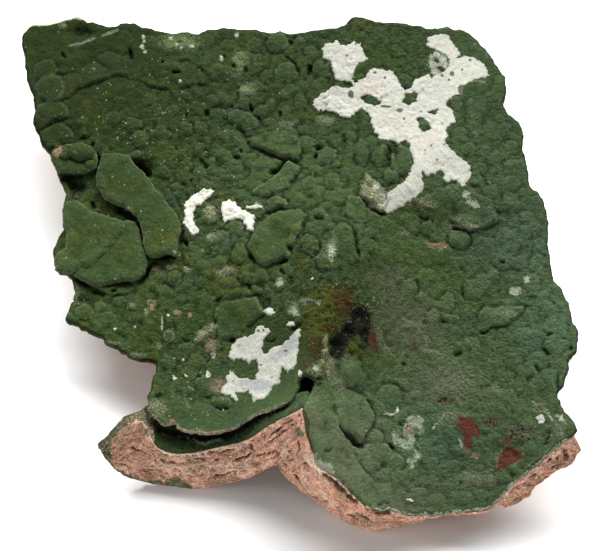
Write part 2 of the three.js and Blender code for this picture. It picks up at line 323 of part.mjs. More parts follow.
// Delaunay triangles over scattered points.
function triangulate(pts) {
  const n = pts.length;
  const all = pts.concat([[-1e4, -1e4], [1e4, -1e4], [0, 1e4]]);
  const circle = (a, b, c) => {
    const [ax, ay] = all[a];
    const [bx, by] = all[b];
    const [cx, cy] = all[c];
    const d = 2 * (ax * (by - cy) + bx * (cy - ay) + cx * (ay - by));
    const ux = ((ax * ax + ay * ay) * (by - cy) + (bx * bx + by * by) * (cy - ay) + (cx * cx + cy * cy) * (ay - by)) / d;
    const uy = ((ax * ax + ay * ay) * (cx - bx) + (bx * bx + by * by) * (ax - cx) + (cx * cx + cy * cy) * (bx - ax)) / d;
    return { v: [a, b, c], ux, uy, r2: (ax - ux) ** 2 + (ay - uy) ** 2 };
  };
  let tris = [circle(n, n + 1, n + 2)];
  for (let i = 0; i < n; i++) {
    const [x, y] = pts[i];
    const keep = [];
    const edges = new Map();
    for (const t of tris) {
      if ((x - t.ux) ** 2 + (y - t.uy) ** 2 < t.r2 * (1 - 1e-12)) {
        for (let k = 0; k < 3; k++) {
          const a = t.v[k];
          const b = t.v[(k + 1) % 3];
          const key = a < b ? a + ':' + b : b + ':' + a;
          if (edges.has(key)) edges.set(key, null);
          else edges.set(key, [a, b]);
        }
      } else keep.push(t);
    }
    for (const e of edges.values()) if (e) keep.push(circle(e[0], e[1], i));
    tris = keep;
  }
  return tris.map((t) => t.v).filter((v) => v.every((k) => k < n));
}

function counterClockwise(pts, v) {
  const [a, b, c] = v.map((k) => pts[k]);
  const s = (b[0] - a[0]) * (c[1] - a[1]) - (b[1] - a[1]) * (c[0] - a[0]);
  return s > 0 ? v : [v[0], v[2], v[1]];
}

// Triangles that fill an outline with holes, and the directed edges around them.
function fill(outline, holes, inner) {
  const pts = [...outline, ...holes.flat(), ...inner];
  const faces = triangulate(pts)
    .map((v) => counterClockwise(pts, v))
    .filter((v) => {
      const cx = (pts[v[0]][0] + pts[v[1]][0] + pts[v[2]][0]) / 3;
      const cy = (pts[v[0]][1] + pts[v[1]][1] + pts[v[2]][1]) / 3;
      return inside(outline, cx, cy) && !holes.some((h) => inside(h, cx, cy));
    });
  const seen = new Set();
  for (const v of faces) for (let k = 0; k < 3; k++) seen.add(v[k] + ':' + v[(k + 1) % 3]);
  const rim = [];
  for (const v of faces) {
    for (let k = 0; k < 3; k++) {
      const a = v[k];
      const b = v[(k + 1) % 3];
      if (!seen.has(b + ':' + a)) rim.push([a, b]);
    }
  }
  return { pts, faces, rim };
}

function solid(vertices, triangles) {
  const g = new THREE.BufferGeometry();
  g.setAttribute('position', new THREE.Float32BufferAttribute(vertices.flat(), 3));
  g.setIndex(triangles.flat());
  g.computeVertexNormals();
  return g;
}

// A sheet between two height functions over one outline, with upright edges.
function sheet(outline, holes, inner, top, bottom) {
  const { pts, faces, rim } = fill(outline, holes, inner);
  const n = pts.length;
  const vertices = [...pts.map((p) => [p[0], p[1], top(p[0], p[1])]), ...pts.map((p) => [p[0], p[1], bottom(p[0], p[1])])];
  const triangles = [];
  for (const [a, b, c] of faces) triangles.push([a, b, c], [a + n, c + n, b + n]);
  for (const [a, b] of rim) triangles.push([a + n, b + n, b], [a + n, b, a]);
  return solid(vertices, triangles);
}

// ---------------------------------------------------------------------------
// Surfaces
// ---------------------------------------------------------------------------
const crustTop = surfaceThrough(SURFACE);

// Height of the trough lining, falling away from its front edge to the back.
function liningAt(x, y) {
  const e = LINING_EDGE;
  if (x < e[0][0] - 3 || x > e[e.length - 1][0] + 1.5) return null;
  let i = 0;
  while (i < e.length - 2 && x > e[i + 1][0]) i++;
  const t = Math.min(1, Math.max(0, (x - e[i][0]) / (e[i + 1][0] - e[i][0])));
  const mix = (k) => e[i][k] + (e[i + 1][k] - e[i][k]) * t;
  const d = y - mix(1);
  if (d < -2.5 || d > 16) return null;
  const past = Math.max(0, d - mix(3) - 0.6);
  const side = Math.max(0, e[0][0] - 0.8 - x) + Math.max(0, x - e[e.length - 1][0] - 0.4);
  return mix(2) + LINING_RISE * d + 0.9 * past + 1.2 * side;
}

function dolomiteTop(x, y) {
  const z = crustTop(x, y) - CRUST_THICKNESS - CRUST_GAP;
  const l = liningAt(x, y);
  return l === null ? z : Math.min(z, l - LINING_THICKNESS - LINING_GAP);
}

// ---------------------------------------------------------------------------
// Dolomite plate: upper face, broken walls and underside in one solid
// ---------------------------------------------------------------------------
function dolomitePlate() {
  const ring = PLATE_EDGE;
  const outline = ring.map((p) => [p[0], p[1]]);
  const inner = staggeredGrid(outline, [], SURFACE_GRID, SURFACE_GRID * 0.5);
  const rows = [];
  for (const [x, y, , depth] of LINING_EDGE) {
    for (const d of [1.6, depth * 0.55, depth + 0.4, depth + 2.6]) {
      const p = [x + 0.05 * d, y + d];
      if (inside(outline, ...p) && edgeDistance(outline, ...p) > 1.1 && rows.every((q) => Math.hypot(p[0] - q[0], p[1] - q[1]) > 1.1)) rows.push(p);
    }
  }
  const points = inner.filter((p) => rows.every((q) => Math.hypot(p[0] - q[0], p[1] - q[1]) > 1.9)).concat(rows);
  const { pts, faces, rim } = fill(outline, [], points);
  const under = surfaceThrough([...UNDERSIDE, ...ring.filter((_, i) => i % 2 === 0).map((p) => [p[3], p[4], p[5]])], 0.05);
  const m = ring.length;
  const vertices = pts.map((p, i) => {
    const top = dolomiteTop(p[0], p[1]);
    return [p[0], p[1], i < m ? Math.min(top, ring[i][2]) : top];
  });
  const n = pts.length;
  // The underside is the same net, drawn towards the lower edge near the walls.
  for (let i = 0; i < n; i++) {
    const [x, y] = pts[i];
    let z;
    let bx = x;
    let by = y;
    if (i < m) {
      [bx, by, z] = ring[i].slice(3);
    } else {
      let wx = 0;
      let wy = 0;
      let ws = 0;
      let near = Infinity;
      for (const p of ring) {
        const d = Math.hypot(x - p[0], y - p[1]);
        near = Math.min(near, d);
        const w = 1 / (d * d * d + 1e-6);
        wx += w * (p[3] - p[0]);
        wy += w * (p[4] - p[1]);
        ws += w;
      }
      const fade = Math.exp(-near / 9);
      bx += (wx / ws) * fade;
      by += (wy / ws) * fade;
      z = under(bx, by);
    }
    z = Math.max(REST_Z, Math.min(z, vertices[i][2] - (i < m ? 0.35 : MIN_DOLOMITE)));
    vertices.push([bx, by, z]);
  }
  const triangles = [];
  for (const [a, b, c] of faces) triangles.push([a, b, c], [a + n, c + n, b + n]);
  // Walls, with one extra row of corners at mid height.
  const middle = new Map();
  const mid = (a) => {
    if (!middle.has(a)) {
      const t = vertices[a];
      const u = vertices[a + n];
      const p = ring[(a + m - 1) % m];
      const q = ring[(a + 1) % m];
      const l = Math.hypot(q[0] - p[0], q[1] - p[1]) || 1;
      const out = Math.min(WALL_BULGE, 0.18 * (t[2] - u[2])) * (0.6 + 0.4 * Math.sin(a * 2.7));
      middle.set(a, vertices.length);
      vertices.push([(t[0] + u[0]) / 2 + (out * (q[1] - p[1])) / l, (t[1] + u[1]) / 2 - (out * (q[0] - p[0])) / l, (t[2] + u[2]) / 2]);
    }
    return middle.get(a);
  };
  for (const [a, b] of rim) {
    const ma = mid(a);
    const mb = mid(b);
    triangles.push([ma, mb, b], [ma, b, a], [a + n, b + n, mb], [a + n, mb, ma]);
  }
  return solid(vertices, triangles);
}

// ---------------------------------------------------------------------------
// Crust, lining, raised plates and coatings
// ---------------------------------------------------------------------------
function mainCrust() {
  const outline = resample(thin(CRUST_OUTLINE, 0.9), 3);
  const inner = staggeredGrid(outline, [], SURFACE_GRID, SURFACE_GRID * 0.5);
  return sheet(outline, [], inner, crustTop, (x, y) => crustTop(x, y) - CRUST_THICKNESS);
}

function troughLining() {
  const e = LINING_EDGE;
  const front = e.map(([x, y]) => [x + 0.02, y + 0.15]);
  const back = e.map(([x, y, , depth]) => [x + 0.05 * depth, y + depth]).reverse();
  const outline = [...front, ...back];
  const inner = e.slice(1, -1).filter((p) => p[3] > 3).map(([x, y, , depth]) => [x + 0.025 * depth, y + depth * 0.5]);
  return sheet(outline, [], inner, (x, y) => liningAt(x, y), (x, y) => liningAt(x, y) - LINING_THICKNESS);
}

function raisedPlate(outlineIn, tiltX, tiltY) {
  const outline = resample(outlineIn, 3);
  const inner = staggeredGrid(outline, [], 2.8, 1.5);
  const cx = outline.reduce((s, p) => s + p[0], 0) / outline.length;
  const cy = outline.reduce((s, p) => s + p[1], 0) / outline.length;
  const lift = (x, y) => crustTop(x, y) + PLATE_LIFT + Math.max(0, (x - cx) * tiltX + (y - cy) * tiltY);
  const crown = (x, y) => PLATE_CROWN * Math.min(1, edgeDistance(outline, x, y) / 2.5);
  return sheet(outline, [], inner, (x, y) => lift(x, y) + PLATE_THICKNESS * 0.6 + crown(x, y), lift);
}

function coating(outlineIn, holesIn = []) {
  const outline = resample(thin(outlineIn, 0.7), 1.3);
  const holes = holesIn.map((h) => resample(thin(h, 0.6), 1.3));
  const inner = staggeredGrid(outline, holes, 2.6, 0.9);
  return sheet(outline, holes, inner, (x, y) => crustTop(x, y) + COAT_LIFT + COAT_THICKNESS, (x, y) => crustTop(x, y) + COAT_LIFT);
}

const material = (color, roughness) => new THREE.MeshStandardMaterial({ color, roughness, metalness: 0 });
const dolomite = () => material(0xc48b76, 0.85);
const mottramite = () => material(0x3f5536, 0.7);
const darkMottramite = () => material(0x24382a, 0.65);
const calcite = () => material(0xdcdcd2, 0.8);

const pieces = [
  ['dolomite_matrix', dolomitePlate(), dolomite()],
  ['mottramite_crust', mainCrust(), mottramite()],
  ['trough_lining_crust', troughLining(), darkMottramite()],
  ['upper_left_crust_plate', raisedPlate(PLATE_UPPER_LEFT, 0, 0.02), mottramite()],
  ['lower_left_crust_plate', raisedPlate(PLATE_LOWER_LEFT, 0, 0.02), mottramite()],
  ['left_crust_shelf', raisedPlate(SHELF_LEFT, 0, 0), mottramite()],
  ['back_right_calcite_coating', coating(COAT_BACK_RIGHT, COAT_BACK_RIGHT_HOLES), calcite()],
  ['front_calcite_coating', coating(COAT_FRONT), calcite()],
  ['crescent_calcite_coating', coating(COAT_CRESCENT), calcite()],
  ['centre_calcite_coating', coating(COAT_CENTRE), calcite()],
];

// The origin is under the middle of the specimen's box, at its resting level.
const box = new THREE.Box3();
for (const [, geometry] of pieces) {
  geometry.computeBoundingBox();
  box.union(geometry.boundingBox);
}
const specimen = new THREE.Group();
for (const [name, geometry, finish] of pieces) {
  const mesh = new THREE.Mesh(geometry, finish);
  mesh.name = name;
  mesh.position.set(-(box.min.x + box.max.x) / 2, -(box.min.y + box.max.y) / 2, -box.min.z);
  specimen.add(mesh);
}

export default specimen;
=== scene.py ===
"""Looks of the mottramite on dolomite specimen: a folded plate of pink dolomite with a green
botryoidal crust and thin white calcite coatings, lying on a pale table.

All shapes are worked out in millimetres in the specimen's own layout, then moved by SHIFT into the
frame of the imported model. Features of the surface are placed in a 600 x 551 picture plane seen from
the camera, and each one lies on the surface that carries it."""
import bpy
import math
import numpy as np
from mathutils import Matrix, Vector
from mathutils.geometry import delaunay_2d_cdt


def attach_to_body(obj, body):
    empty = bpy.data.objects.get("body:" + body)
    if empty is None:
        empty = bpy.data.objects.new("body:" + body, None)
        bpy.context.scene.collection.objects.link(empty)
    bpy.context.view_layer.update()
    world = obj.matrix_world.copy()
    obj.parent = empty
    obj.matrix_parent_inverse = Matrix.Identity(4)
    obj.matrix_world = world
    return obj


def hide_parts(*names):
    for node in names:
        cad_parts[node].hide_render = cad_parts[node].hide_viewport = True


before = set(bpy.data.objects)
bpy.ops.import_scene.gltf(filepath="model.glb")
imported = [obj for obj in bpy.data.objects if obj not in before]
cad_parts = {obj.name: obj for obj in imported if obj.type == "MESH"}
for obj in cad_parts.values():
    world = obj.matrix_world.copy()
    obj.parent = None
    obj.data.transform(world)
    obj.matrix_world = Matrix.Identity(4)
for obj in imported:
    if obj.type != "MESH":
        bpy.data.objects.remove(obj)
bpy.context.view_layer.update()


# ---------------------------------------------------------------------------------------------
# Camera geometry, shared by the picture plane and by the render camera
# ---------------------------------------------------------------------------------------------
SHIFT = np.array([1.455, -2.4481, 0.0])          # layout to model frame, mm
ELEVATION = math.radians(60.0)
DISTANCE = 500.0
FOCAL_PX = 2916.7
TARGET = np.array([0.0, 0.0, 10.0])
FWD = np.array([0.0, math.cos(ELEVATION), -math.sin(ELEVATION)])
UP = np.array([0.0, math.sin(ELEVATION), math.cos(ELEVATION)])
CAM = TARGET - DISTANCE * FWD


def to_plane(x, y, z):
    """Picture position of layout points."""
    qx = np.asarray(x, float) - CAM[0]
    qy = np.asarray(y, float) - CAM[1]
    qz = np.asarray(z, float) - CAM[2]
    w = qy * FWD[1] + qz * FWD[2]
    return 300 + FOCAL_PX * qx / w, 275.5 - FOCAL_PX * (qy * UP[1] + qz * UP[2]) / w


def at_height(u, v, z):
    """Layout x, y of picture points at known heights."""
    u = np.asarray(u, float)
    v = np.asarray(v, float)
    dx = (u - 300) / FOCAL_PX
    s = (275.5 - v) / FOCAL_PX
    dy = FWD[1] + UP[1] * s
    dz = FWD[2] + UP[2] * s
    t = (np.asarray(z, float) - CAM[2]) / dz
    return CAM[0] + t * dx, CAM[1] + t * dy


class Surface:
    """Smooth surface through scattered heights."""

    def __init__(self, pts, stiff):
        p = np.array(pts, float)
        self.x, self.y = p[:, 0], p[:, 1]
        n = len(p)
        k = self.kernel(np.hypot(self.x[:, None] - self.x[None], self.y[:, None] - self.y[None])) + stiff * np.eye(n)
        q = np.c_[np.ones(n), self.x, self.y]
        a = np.block([[k, q], [q.T, np.zeros((3, 3))]])
        self.w = np.linalg.solve(a, np.r_[p[:, 2], 0, 0, 0])
        self.n = n

    @staticmethod
    def kernel(d):
        return np.where(d > 1e-9, d * d * np.log(np.maximum(d, 1e-9)), 0.0)

    def __call__(self, x, y):
        x = np.asarray(x, float)
        y = np.asarray(y, float)
        shape = x.shape
        x = x.ravel()
        y = y.ravel()
        out = np.empty(len(x))
        for i in range(0, len(x), 20000):
            s = slice(i, i + 20000)
            d = np.hypot(x[s, None] - self.x, y[s, None] - self.y)
            out[s] = self.kernel(d) @ self.w[: self.n] + self.w[self.n] + self.w[self.n + 1] * x[s] + self.w[self.n + 2] * y[s]
        return out.reshape(shape)


# Heights of the crust's upper surface: picture u, v and height z in mm.
LANDMARKS = [
    (22, 40, 16), (50, 24, 17), (75, 18, 18), (110, 26, 18.5), (150, 28, 19), (223, 27, 20), (290, 33, 20.5), (354, 17, 23.5),
    (405, 23, 23.5), (454, 29, 22.5), (490, 53, 21.5), (33, 110, 15), (55, 160, 13), (62, 200, 12.5), (54, 250, 11.5),
    (72, 290, 10.5), (70, 318, 9.5), (105, 342, 9), (138, 358, 9.2), (155, 362, 9.2), (150, 390, 9.6), (146, 406, 10),
    (100, 70, 17), (180, 70, 18.5), (260, 70, 19.5), (330, 70, 21.5), (400, 70, 22.5), (450, 80, 22), (90, 110, 16),
    (150, 120, 16.5), (220, 120, 17.5), (290, 120, 19), (350, 120, 21), (410, 120, 22), (465, 120, 21.5), (505, 90, 21),
    (523, 135, 19.5), (100, 170, 14), (160, 180, 14), (220, 180, 15.5), (280, 180, 18), (330, 180, 20.5), (380, 170, 22.5),
    (430, 180, 22), (480, 180, 20.5), (527, 180, 18.5), (100, 240, 12), (160, 240, 12.5), (220, 240, 14.5), (270, 240, 17.5),
    (310, 240, 19.5), (350, 230, 22), (400, 230, 19.5), (450, 240, 18), (500, 230, 17.5), (547, 230, 17.5), (120, 300, 10.5),
    (180, 300, 11.5), (230, 300, 13.2), (275, 300, 16.5), (310, 300, 20.5), (340, 300, 21.5), (380, 290, 18), (430, 290, 15),
    (480, 290, 15), (520, 290, 16), (553, 278, 17), (180, 350, 10.2), (220, 350, 11.2), (260, 350, 14), (295, 350, 18.5),
    (318, 340, 22), (345, 340, 19.5), (380, 345, 15.5), (430, 340, 12.5), (480, 340, 12.5), (530, 340, 15), (577, 332, 17),
    (170, 390, 9.6), (210, 390, 10), (250, 385, 12.2), (280, 385, 15.5), (303, 375, 20.5), (318, 380, 20.8), (345, 385, 16),
    (380, 390, 12.3), (430, 390, 10), (480, 390, 10.5), (530, 390, 13), (563, 380, 15.5), (565, 412, 14.5), (155, 418, 9.8),
    (178, 429, 9.6), (206, 434.5, 9.8), (235, 428, 11.2), (264, 411, 14.5), (290, 402, 18), (303, 408, 21), (306, 428, 19.3),
    (310, 443, 17.8), (317, 464, 15.3), (336, 476, 13), (348, 489, 11), (363, 503, 9), (376, 509, 8), (401, 513, 6.7),
    (434, 514, 5.8), (472, 510, 5.8), (491, 507, 6.2), (510, 486, 8.3), (539, 463, 10.8), (566, 440, 13.2), (345, 440, 12.5),
    (335, 420, 15.5), (375, 440, 9.6), (375, 480, 7.6), (410, 440, 8.2), (410, 480, 6.6), (450, 440, 8), (450, 480, 6.2),
    (490, 440, 9), (490, 475, 7.6), (520, 430, 11),
]
_lm = np.array(LANDMARKS, float)
_lx, _ly = at_height(_lm[:, 0], _lm[:, 1], _lm[:, 2])
crust_base = Surface(np.c_[_lx, _ly, _lm[:, 2]], 0.02)


def drape(u, v, lift=0.0, surface=None):
    """Layout points where the picture points meet a surface."""
    f = surface or crust_base
    u = np.asarray(u, float)
    v = np.asarray(v, float)
    z = np.full(u.shape, 14.0)
    for _ in range(40):
        x, y = at_height(u, v, z)
        z = z + 0.6 * (f(x, y) + lift - z)
    x, y = at_height(u, v, z)
    return x, y, z


# ---------------------------------------------------------------------------------------------
# Seeded noise
# ---------------------------------------------------------------------------------------------
def cell_hash(ix, iy, iz, seed):
    n = (ix * 374761393 + iy * 668265263 + iz * 1440662683 + seed * 974634777) & 0xFFFFFFFF
    n = ((n ^ (n >> 13)) * 1274126177) & 0xFFFFFFFF
    n = ((n ^ (n >> 16)) * 1103515245) & 0xFFFFFFFF
    n = n ^ (n >> 15)
    return (n & 0xFFFFFF) / 16777216.0


def noise3(p, seed):
    i = np.floor(p).astype(np.int64)
    f = p - i
    f = f * f * f * (f * (f * 6 - 15) + 10)
    out = 0
    for a in (0, 1):
        wx = f[:, 0] if a else 1 - f[:, 0]
        for b in (0, 1):
            wy = f[:, 1] if b else 1 - f[:, 1]
            for c in (0, 1):
                wz = f[:, 2] if c else 1 - f[:, 2]
                out = out + wx * wy * wz * cell_hash(i[:, 0] + a, i[:, 1] + b, i[:, 2] + c, seed)
    return out * 2 - 1


def fbm(p, octaves, seed, gain=0.5):
    out = 0
    amp = 1.0
    total = 0
    for k in range(octaves):
        out = out + amp * noise3(p * (2.03 ** k) + 17.3 * k, seed + 31 * k)
        total += amp
        amp *= gain
    return out / total


def cells3(p, seed):
    """Nearest and second nearest cell distances and the nearest cell's own number."""
    i = np.floor(p).astype(np.int64)
    n = len(p)
    f1 = np.full(n, 9.0)
    f2 = np.full(n, 9.0)
    own = np.zeros(n)
    for a in (-1, 0, 1):
        for b in (-1, 0, 1):
            for c in (-1, 0, 1):
                ix, iy, iz = i[:, 0] + a, i[:, 1] + b, i[:, 2] + c
                cx = ix + cell_hash(ix, iy, iz, seed)
                cy = iy + cell_hash(ix, iy, iz, seed + 1)
                cz = iz + cell_hash(ix, iy, iz, seed + 2)
                d = np.sqrt((p[:, 0] - cx) ** 2 + (p[:, 1] - cy) ** 2 + (p[:, 2] - cz) ** 2)
                near = d < f1
                f2 = np.where(near, f1, np.minimum(f2, d))
                own = np.where(near, cell_hash(ix, iy, iz, seed + 3), own)
                f1 = np.where(near, d, f1)
    return f1, f2, own


def caps(x, y, cell, seed, rlo, rhi, keep=1.0, level=0.0, squash=1.0):
    """Packed round caps (grape-like growth): height in mm and the cap's own number."""
    gx, gy = x / cell, y / cell
    ix, iy = np.floor(gx).astype(np.int64), np.floor(gy).astype(np.int64)
    best = np.full(len(x), -1e3)
    own = np.zeros(len(x))
    zero = np.zeros_like(ix)
    for a in (-1, 0, 1):
        for b in (-1, 0, 1):
            jx, jy = ix + a, iy + b
            cx = jx + cell_hash(jx, jy, zero, seed)
            cy = jy + cell_hash(jx, jy, zero, seed + 1)
            r = rlo + (rhi - rlo) * cell_hash(jx, jy, zero, seed + 2) ** 1.6
            lv = level * (cell_hash(jx, jy, zero, seed + 3) - 0.5)
            on = cell_hash(jx, jy, zero, seed + 4) < keep
            d2 = (gx - cx) ** 2 + (gy - cy) ** 2
            h = np.where(on & (d2 < r * r), np.sqrt(np.maximum(r * r - d2, 0)) * squash * cell + lv * cell, -1e3)
            hit = h > best
            best = np.where(hit, h, best)
            own = np.where(hit, cell_hash(jx, jy, zero, seed + 5), own)
    return best, own


def smooth(t):
    t = np.clip(t, 0, 1)
    return t * t * (3 - 2 * t)


# ---------------------------------------------------------------------------------------------
# Outlines and listed features, in picture coordinates
# ---------------------------------------------------------------------------------------------
SILHOUETTE = [  # clockwise from the highest point at the back to the right corner
    (354.4, 16), (361, 15.8), (370, 19), (379, 21.5), (392, 21.5), (405, 22.5), (413, 24.9), (421, 24.9), (426, 27.5), (438, 27.5),
    (447, 25.5), (454, 28.6), (464, 28.8), (471, 34), (478.3, 40), (481, 44.3), (490.2, 53), (497, 65), (505.2, 76), (506.5, 90),
    (503.6, 102), (504.8, 107), (509, 113.5), (519.5, 122), (522.5, 129), (523.4, 135), (522.6, 147), (525.5, 158), (528.4, 170),
    (528.8, 178), (530, 185), (533.5, 189), (538.3, 191.7), (541, 196), (543.6, 198.5), (544.2, 204),
    (546.7, 211.5), (548.5, 223), (547.5, 243), (550, 258), (551.8, 274), (553.8, 280), (562.2, 289), (565.8, 299), (569.2, 303),
    (571.8, 321), (576.2, 326), (578.5, 331), (575.8, 351), (572, 355.4), (568, 357), (568.8, 362), (568.2, 369), (563.2, 384),
    (557.9, 391), (557, 396), (560.5, 405), (565, 413), (570.7, 418.5), (574, 422.5), (577.6, 430), (574, 434.5),
]
FRONT_RIM = [  # the crust's front edge from the right corner to the peak, with heights
    (566, 439.5, 13.2), (560, 444, 12.6), (554.4, 449, 12), (547, 455, 11.4), (539, 462.5, 10.8), (531, 469, 10.1), (522, 476, 9.3),
    (516, 481, 8.8), (510.5, 485.5, 8.3), (504, 493, 7.6), (497, 501, 6.8), (491, 507, 6.2), (482, 509.5, 5.9), (472, 510, 5.8),
    (462, 511.5, 5.75), (453, 511, 5.7), (444, 513, 5.75), (434, 514, 5.8), (425, 514, 6), (415, 515, 6.2), (408, 513.5, 6.4),
    (401, 513, 6.7), (394, 510, 7), (388, 508.5, 7.3), (382, 510, 7.6), (376, 509, 8), (369, 506, 8.5), (363, 503, 9), (355, 495, 10),
    (348, 489, 11), (342, 481, 12), (336, 476, 13), (330, 472, 13.8), (325, 470, 14.4), (320, 467, 14.9), (317, 464, 15.3),
    (313, 453, 16.6), (310, 443, 17.8), (307, 435, 18.7), (306, 428, 19.3), (304, 417, 20.2), (303, 408, 21),
]
HOLE_EDGE = [  # the opening behind the peak, where the left trough ends
    (304.5, 402), (309, 394.5), (313.6, 388), (315.2, 382.5), (312.6, 377.8), (307.3, 375.6), (302.4, 376.8), (299.2, 380.5),
    (299.4, 385.5), (298.2, 390), (295.6, 394.6),
]
FREE_LIP = [  # the free edge of the upper sheet over the left trough, from the opening leftwards, with heights
    (292.5, 398.5, 18.9), (287, 402, 18), (280, 406, 16.8), (274, 409, 15.9), (268, 411.5, 15.0), (261, 413, 14.0), (256, 415, 13.3),
    (249, 419, 12.6), (242, 424, 11.8), (235, 428, 11.2), (228, 430.5, 10.7), (220, 432, 10.4), (213, 433.5, 10), (206.6, 434, 9.8),
    (199, 433.3, 9.7), (191, 432.5, 9.6), (184, 430.8, 9.6), (178, 427.5, 9.6), (176, 423.5, 9.6), (171, 424, 9.65), (166, 425.5, 9.7),
    (160, 423, 9.7), (155, 418, 9.8), (151, 413, 9.9), (148, 408, 10),
]
LEFT_EDGE = [  # from the trough's left end round the notch and up the left side to the back
    (147.6, 400), (147.8, 394), (150.2, 389), (152.8, 376), (156.4, 371), (155.8, 362), (153, 359.8), (138, 358.4), (129, 355.2),
    (125, 351.8), (120.7, 351), (118, 347), (105.7, 342), (102.9, 336), (89, 331.2), (85, 327.8), (80.7, 327), (79, 324),
    (68, 321.2), (64.9, 319), (68, 311), (70.8, 303), (73.4, 300), (72.8, 297), (75.1, 291), (73, 283), (71.5, 276), (67, 272.8),
    (58, 271), (54, 262), (53.6, 247), (58, 238), (64, 228), (62.5, 218), (62.5, 208), (66.4, 193), (63, 184), (58.5, 177), (56, 167),
    (51, 154), (47, 148), (41.8, 144), (38.2, 132), (32.8, 122), (35.4, 108), (33.5, 103), (33.2, 95), (29, 85),
    (26.5, 76), (26.5, 69), (24.8, 65), (25.4, 55), (21.5, 45), (21.8, 36), (26, 30), (31, 23.8), (40, 23), (50, 23.5), (62, 20),
    (75, 16.5), (82, 17.8), (87, 21.9), (93, 21.5), (106, 25.9), (117, 25.6), (121, 22.6), (134, 22.5), (143, 27.2), (150, 27.5),
    (159, 30.5), (171, 32.5), (188, 31.5), (199, 33.4), (207, 28.8), (216, 29.2), (223, 26.5), (238, 28.5), (254, 28.5),
    (268, 32.4), (280, 30.5), (290, 33.2), (305, 31), (320, 28.8), (327, 28.1), (337, 27.2), (344.4, 24), (351, 16.8),
]
# The broken front of the dolomite: upper edge (u, v, z) and lower edge (u, v, z), left to right.
FRONT_WALL = [
    (97.6, 443, 7.6, 97.6, 445, 6.6), (106, 447, 7.0, 101, 452, 5.9), (109, 445, 7.2, 105, 458, 5.2), (114, 439, 7.6, 111, 466, 4.0),
    (122, 431, 8.6, 118.6, 472, 2.8), (131, 425, 9.4, 125, 476.5, 2.0), (141, 421.5, 9.8, 132, 479, 1.2), (146, 427, 9.2, 139, 481, 0.7),
    (149, 434, 8.5, 146, 482, 0.4), (153, 443, 7.6, 154, 484, 0.1), (158, 448, 7.1, 162, 485, 0), (165, 451.5, 6.8, 170, 485.5, 0),
    (174, 453.5, 6.6, 178, 487, 0), (182, 454, 6.6, 186, 488, 0), (191, 453.5, 6.8, 194, 489, 0), (201, 451.5, 7.1, 203, 488.5, 0),
    (211, 449, 7.5, 211, 487.3, 0.1), (220, 447, 8.0, 220, 485.5, 0.5), (230, 445, 8.5, 229.6, 483.5, 1.3), (239, 443, 9.1, 240, 480.5, 2.4),
    (247, 440, 10, 248.7, 477.8, 3.6), (254.5, 435.7, 11.1, 257, 474, 5.2), (261, 431, 12.3, 264, 470, 7), (268, 426, 13.5, 270, 466.5, 8.4),
    (276, 422, 14.9, 275.5, 464.4, 9.3), (284, 417.5, 16.3, 280, 470, 8.0), (291, 414, 17.8, 284, 475, 7.1), (297, 411, 19.1, 289, 480, 6.0),
    (303, 408, 20.4, 294, 484.5, 5), (305, 418, 19.8, 299, 489, 4), (306, 428, 19.0, 304, 493, 3.2), (308, 436, 18.2, 309, 497, 2.5),
    (311, 445, 17.2, 315, 501.5, 1.8), (314, 454, 16.3, 321, 506, 1), (318, 465, 15, 328, 511, 0.4), (326, 471, 14, 335, 516, 0.1),
    (336, 477, 12.8, 343, 520.5, 0), (343, 484, 11.6, 350, 524, 0), (350, 491, 10.5, 358, 527.5, 0), (357, 498, 9.6, 366, 530, 0),
    (364, 503.5, 8.9, 374, 530.5, 0), (372, 508, 8.2, 381, 530, 0), (381, 509.5, 7.7, 388, 529, 0), (390, 509.5, 7.2, 395, 527, 0),
    (401, 513, 6.6, 403, 525, 0), (410, 515, 6.2, 412, 523.5, 0.2), (420, 515, 6, 421, 521, 1.3), (430, 514.5, 5.8, 430, 518, 3.3),
    (441, 513, 5.7, 441, 515.8, 4.0), (453, 511.5, 5.7, 453, 514, 4.3), (465, 510.5, 5.7, 465, 513, 4.4), (477, 510.5, 5.8, 477, 512.8, 4.4),
    (487, 509, 6.0, 487, 511.6, 4.4), (493, 505, 6.4, 495, 507.5, 4.6), (498, 500, 6.9, 499, 504.5, 4.2), (504, 493, 7.6, 505, 507, 3.2),
    (510.5, 486, 8.4, 512, 505.5, 3.2), (518, 479.5, 9.1, 520, 502, 3.8), (526, 474, 9.8, 528, 497, 4.8), (534, 467, 10.5, 535, 486, 6.6),
    (541, 461.5, 11.1, 544, 481, 7.3), (549, 454, 11.8, 550.5, 475.5, 8.2), (556, 448, 12.3, 557, 470.5, 9.0), (563, 442, 12.9, 565, 467, 9.2),
    (571, 438.5, 13.4, 572.5, 463.5, 9.5), (575, 443.5, 12.6, 576, 456.5, 10.4), (580.5, 449.3, 12.0, 580.5, 450.6, 11.2),
]
OUTER_RIM = [(148, 403, 10.1), (141, 410.5, 10.2), (131, 414, 10.2), (123.5, 417, 10.1), (115, 426, 9.6), (107, 436, 8.7)]
# Front edge of the trough lining (u, v, z) and how far it reaches back, in mm.
LINING = [
    (153, 443, 7.6, 6.5), (158, 448, 7.1, 6.8), (165, 451.5, 6.8, 7), (174, 453.5, 6.6, 7), (182, 454, 6.6, 7), (191, 453.5, 6.8, 6.8),
    (201, 451.5, 7.1, 6.3), (211, 449, 7.5, 5.6), (220, 447, 8.0, 4.5), (230, 445, 8.5, 4.4), (239, 443, 9.1, 4.2), (247, 440, 10, 3.9),
    (254.5, 435.7, 11.1, 3.2), (261, 431, 12.3, 2.3), (268, 426, 13.5, 1.9), (276, 422, 14.9, 1.8), (284, 417.5, 16.3, 1.7), (291, 414, 17.8, 1.6),
]
LIP_LINE = HOLE_EDGE[4:] + [(p[0], p[1]) for p in FREE_LIP]
RIM_LINE = [(p[0], p[1]) for p in FRONT_RIM]

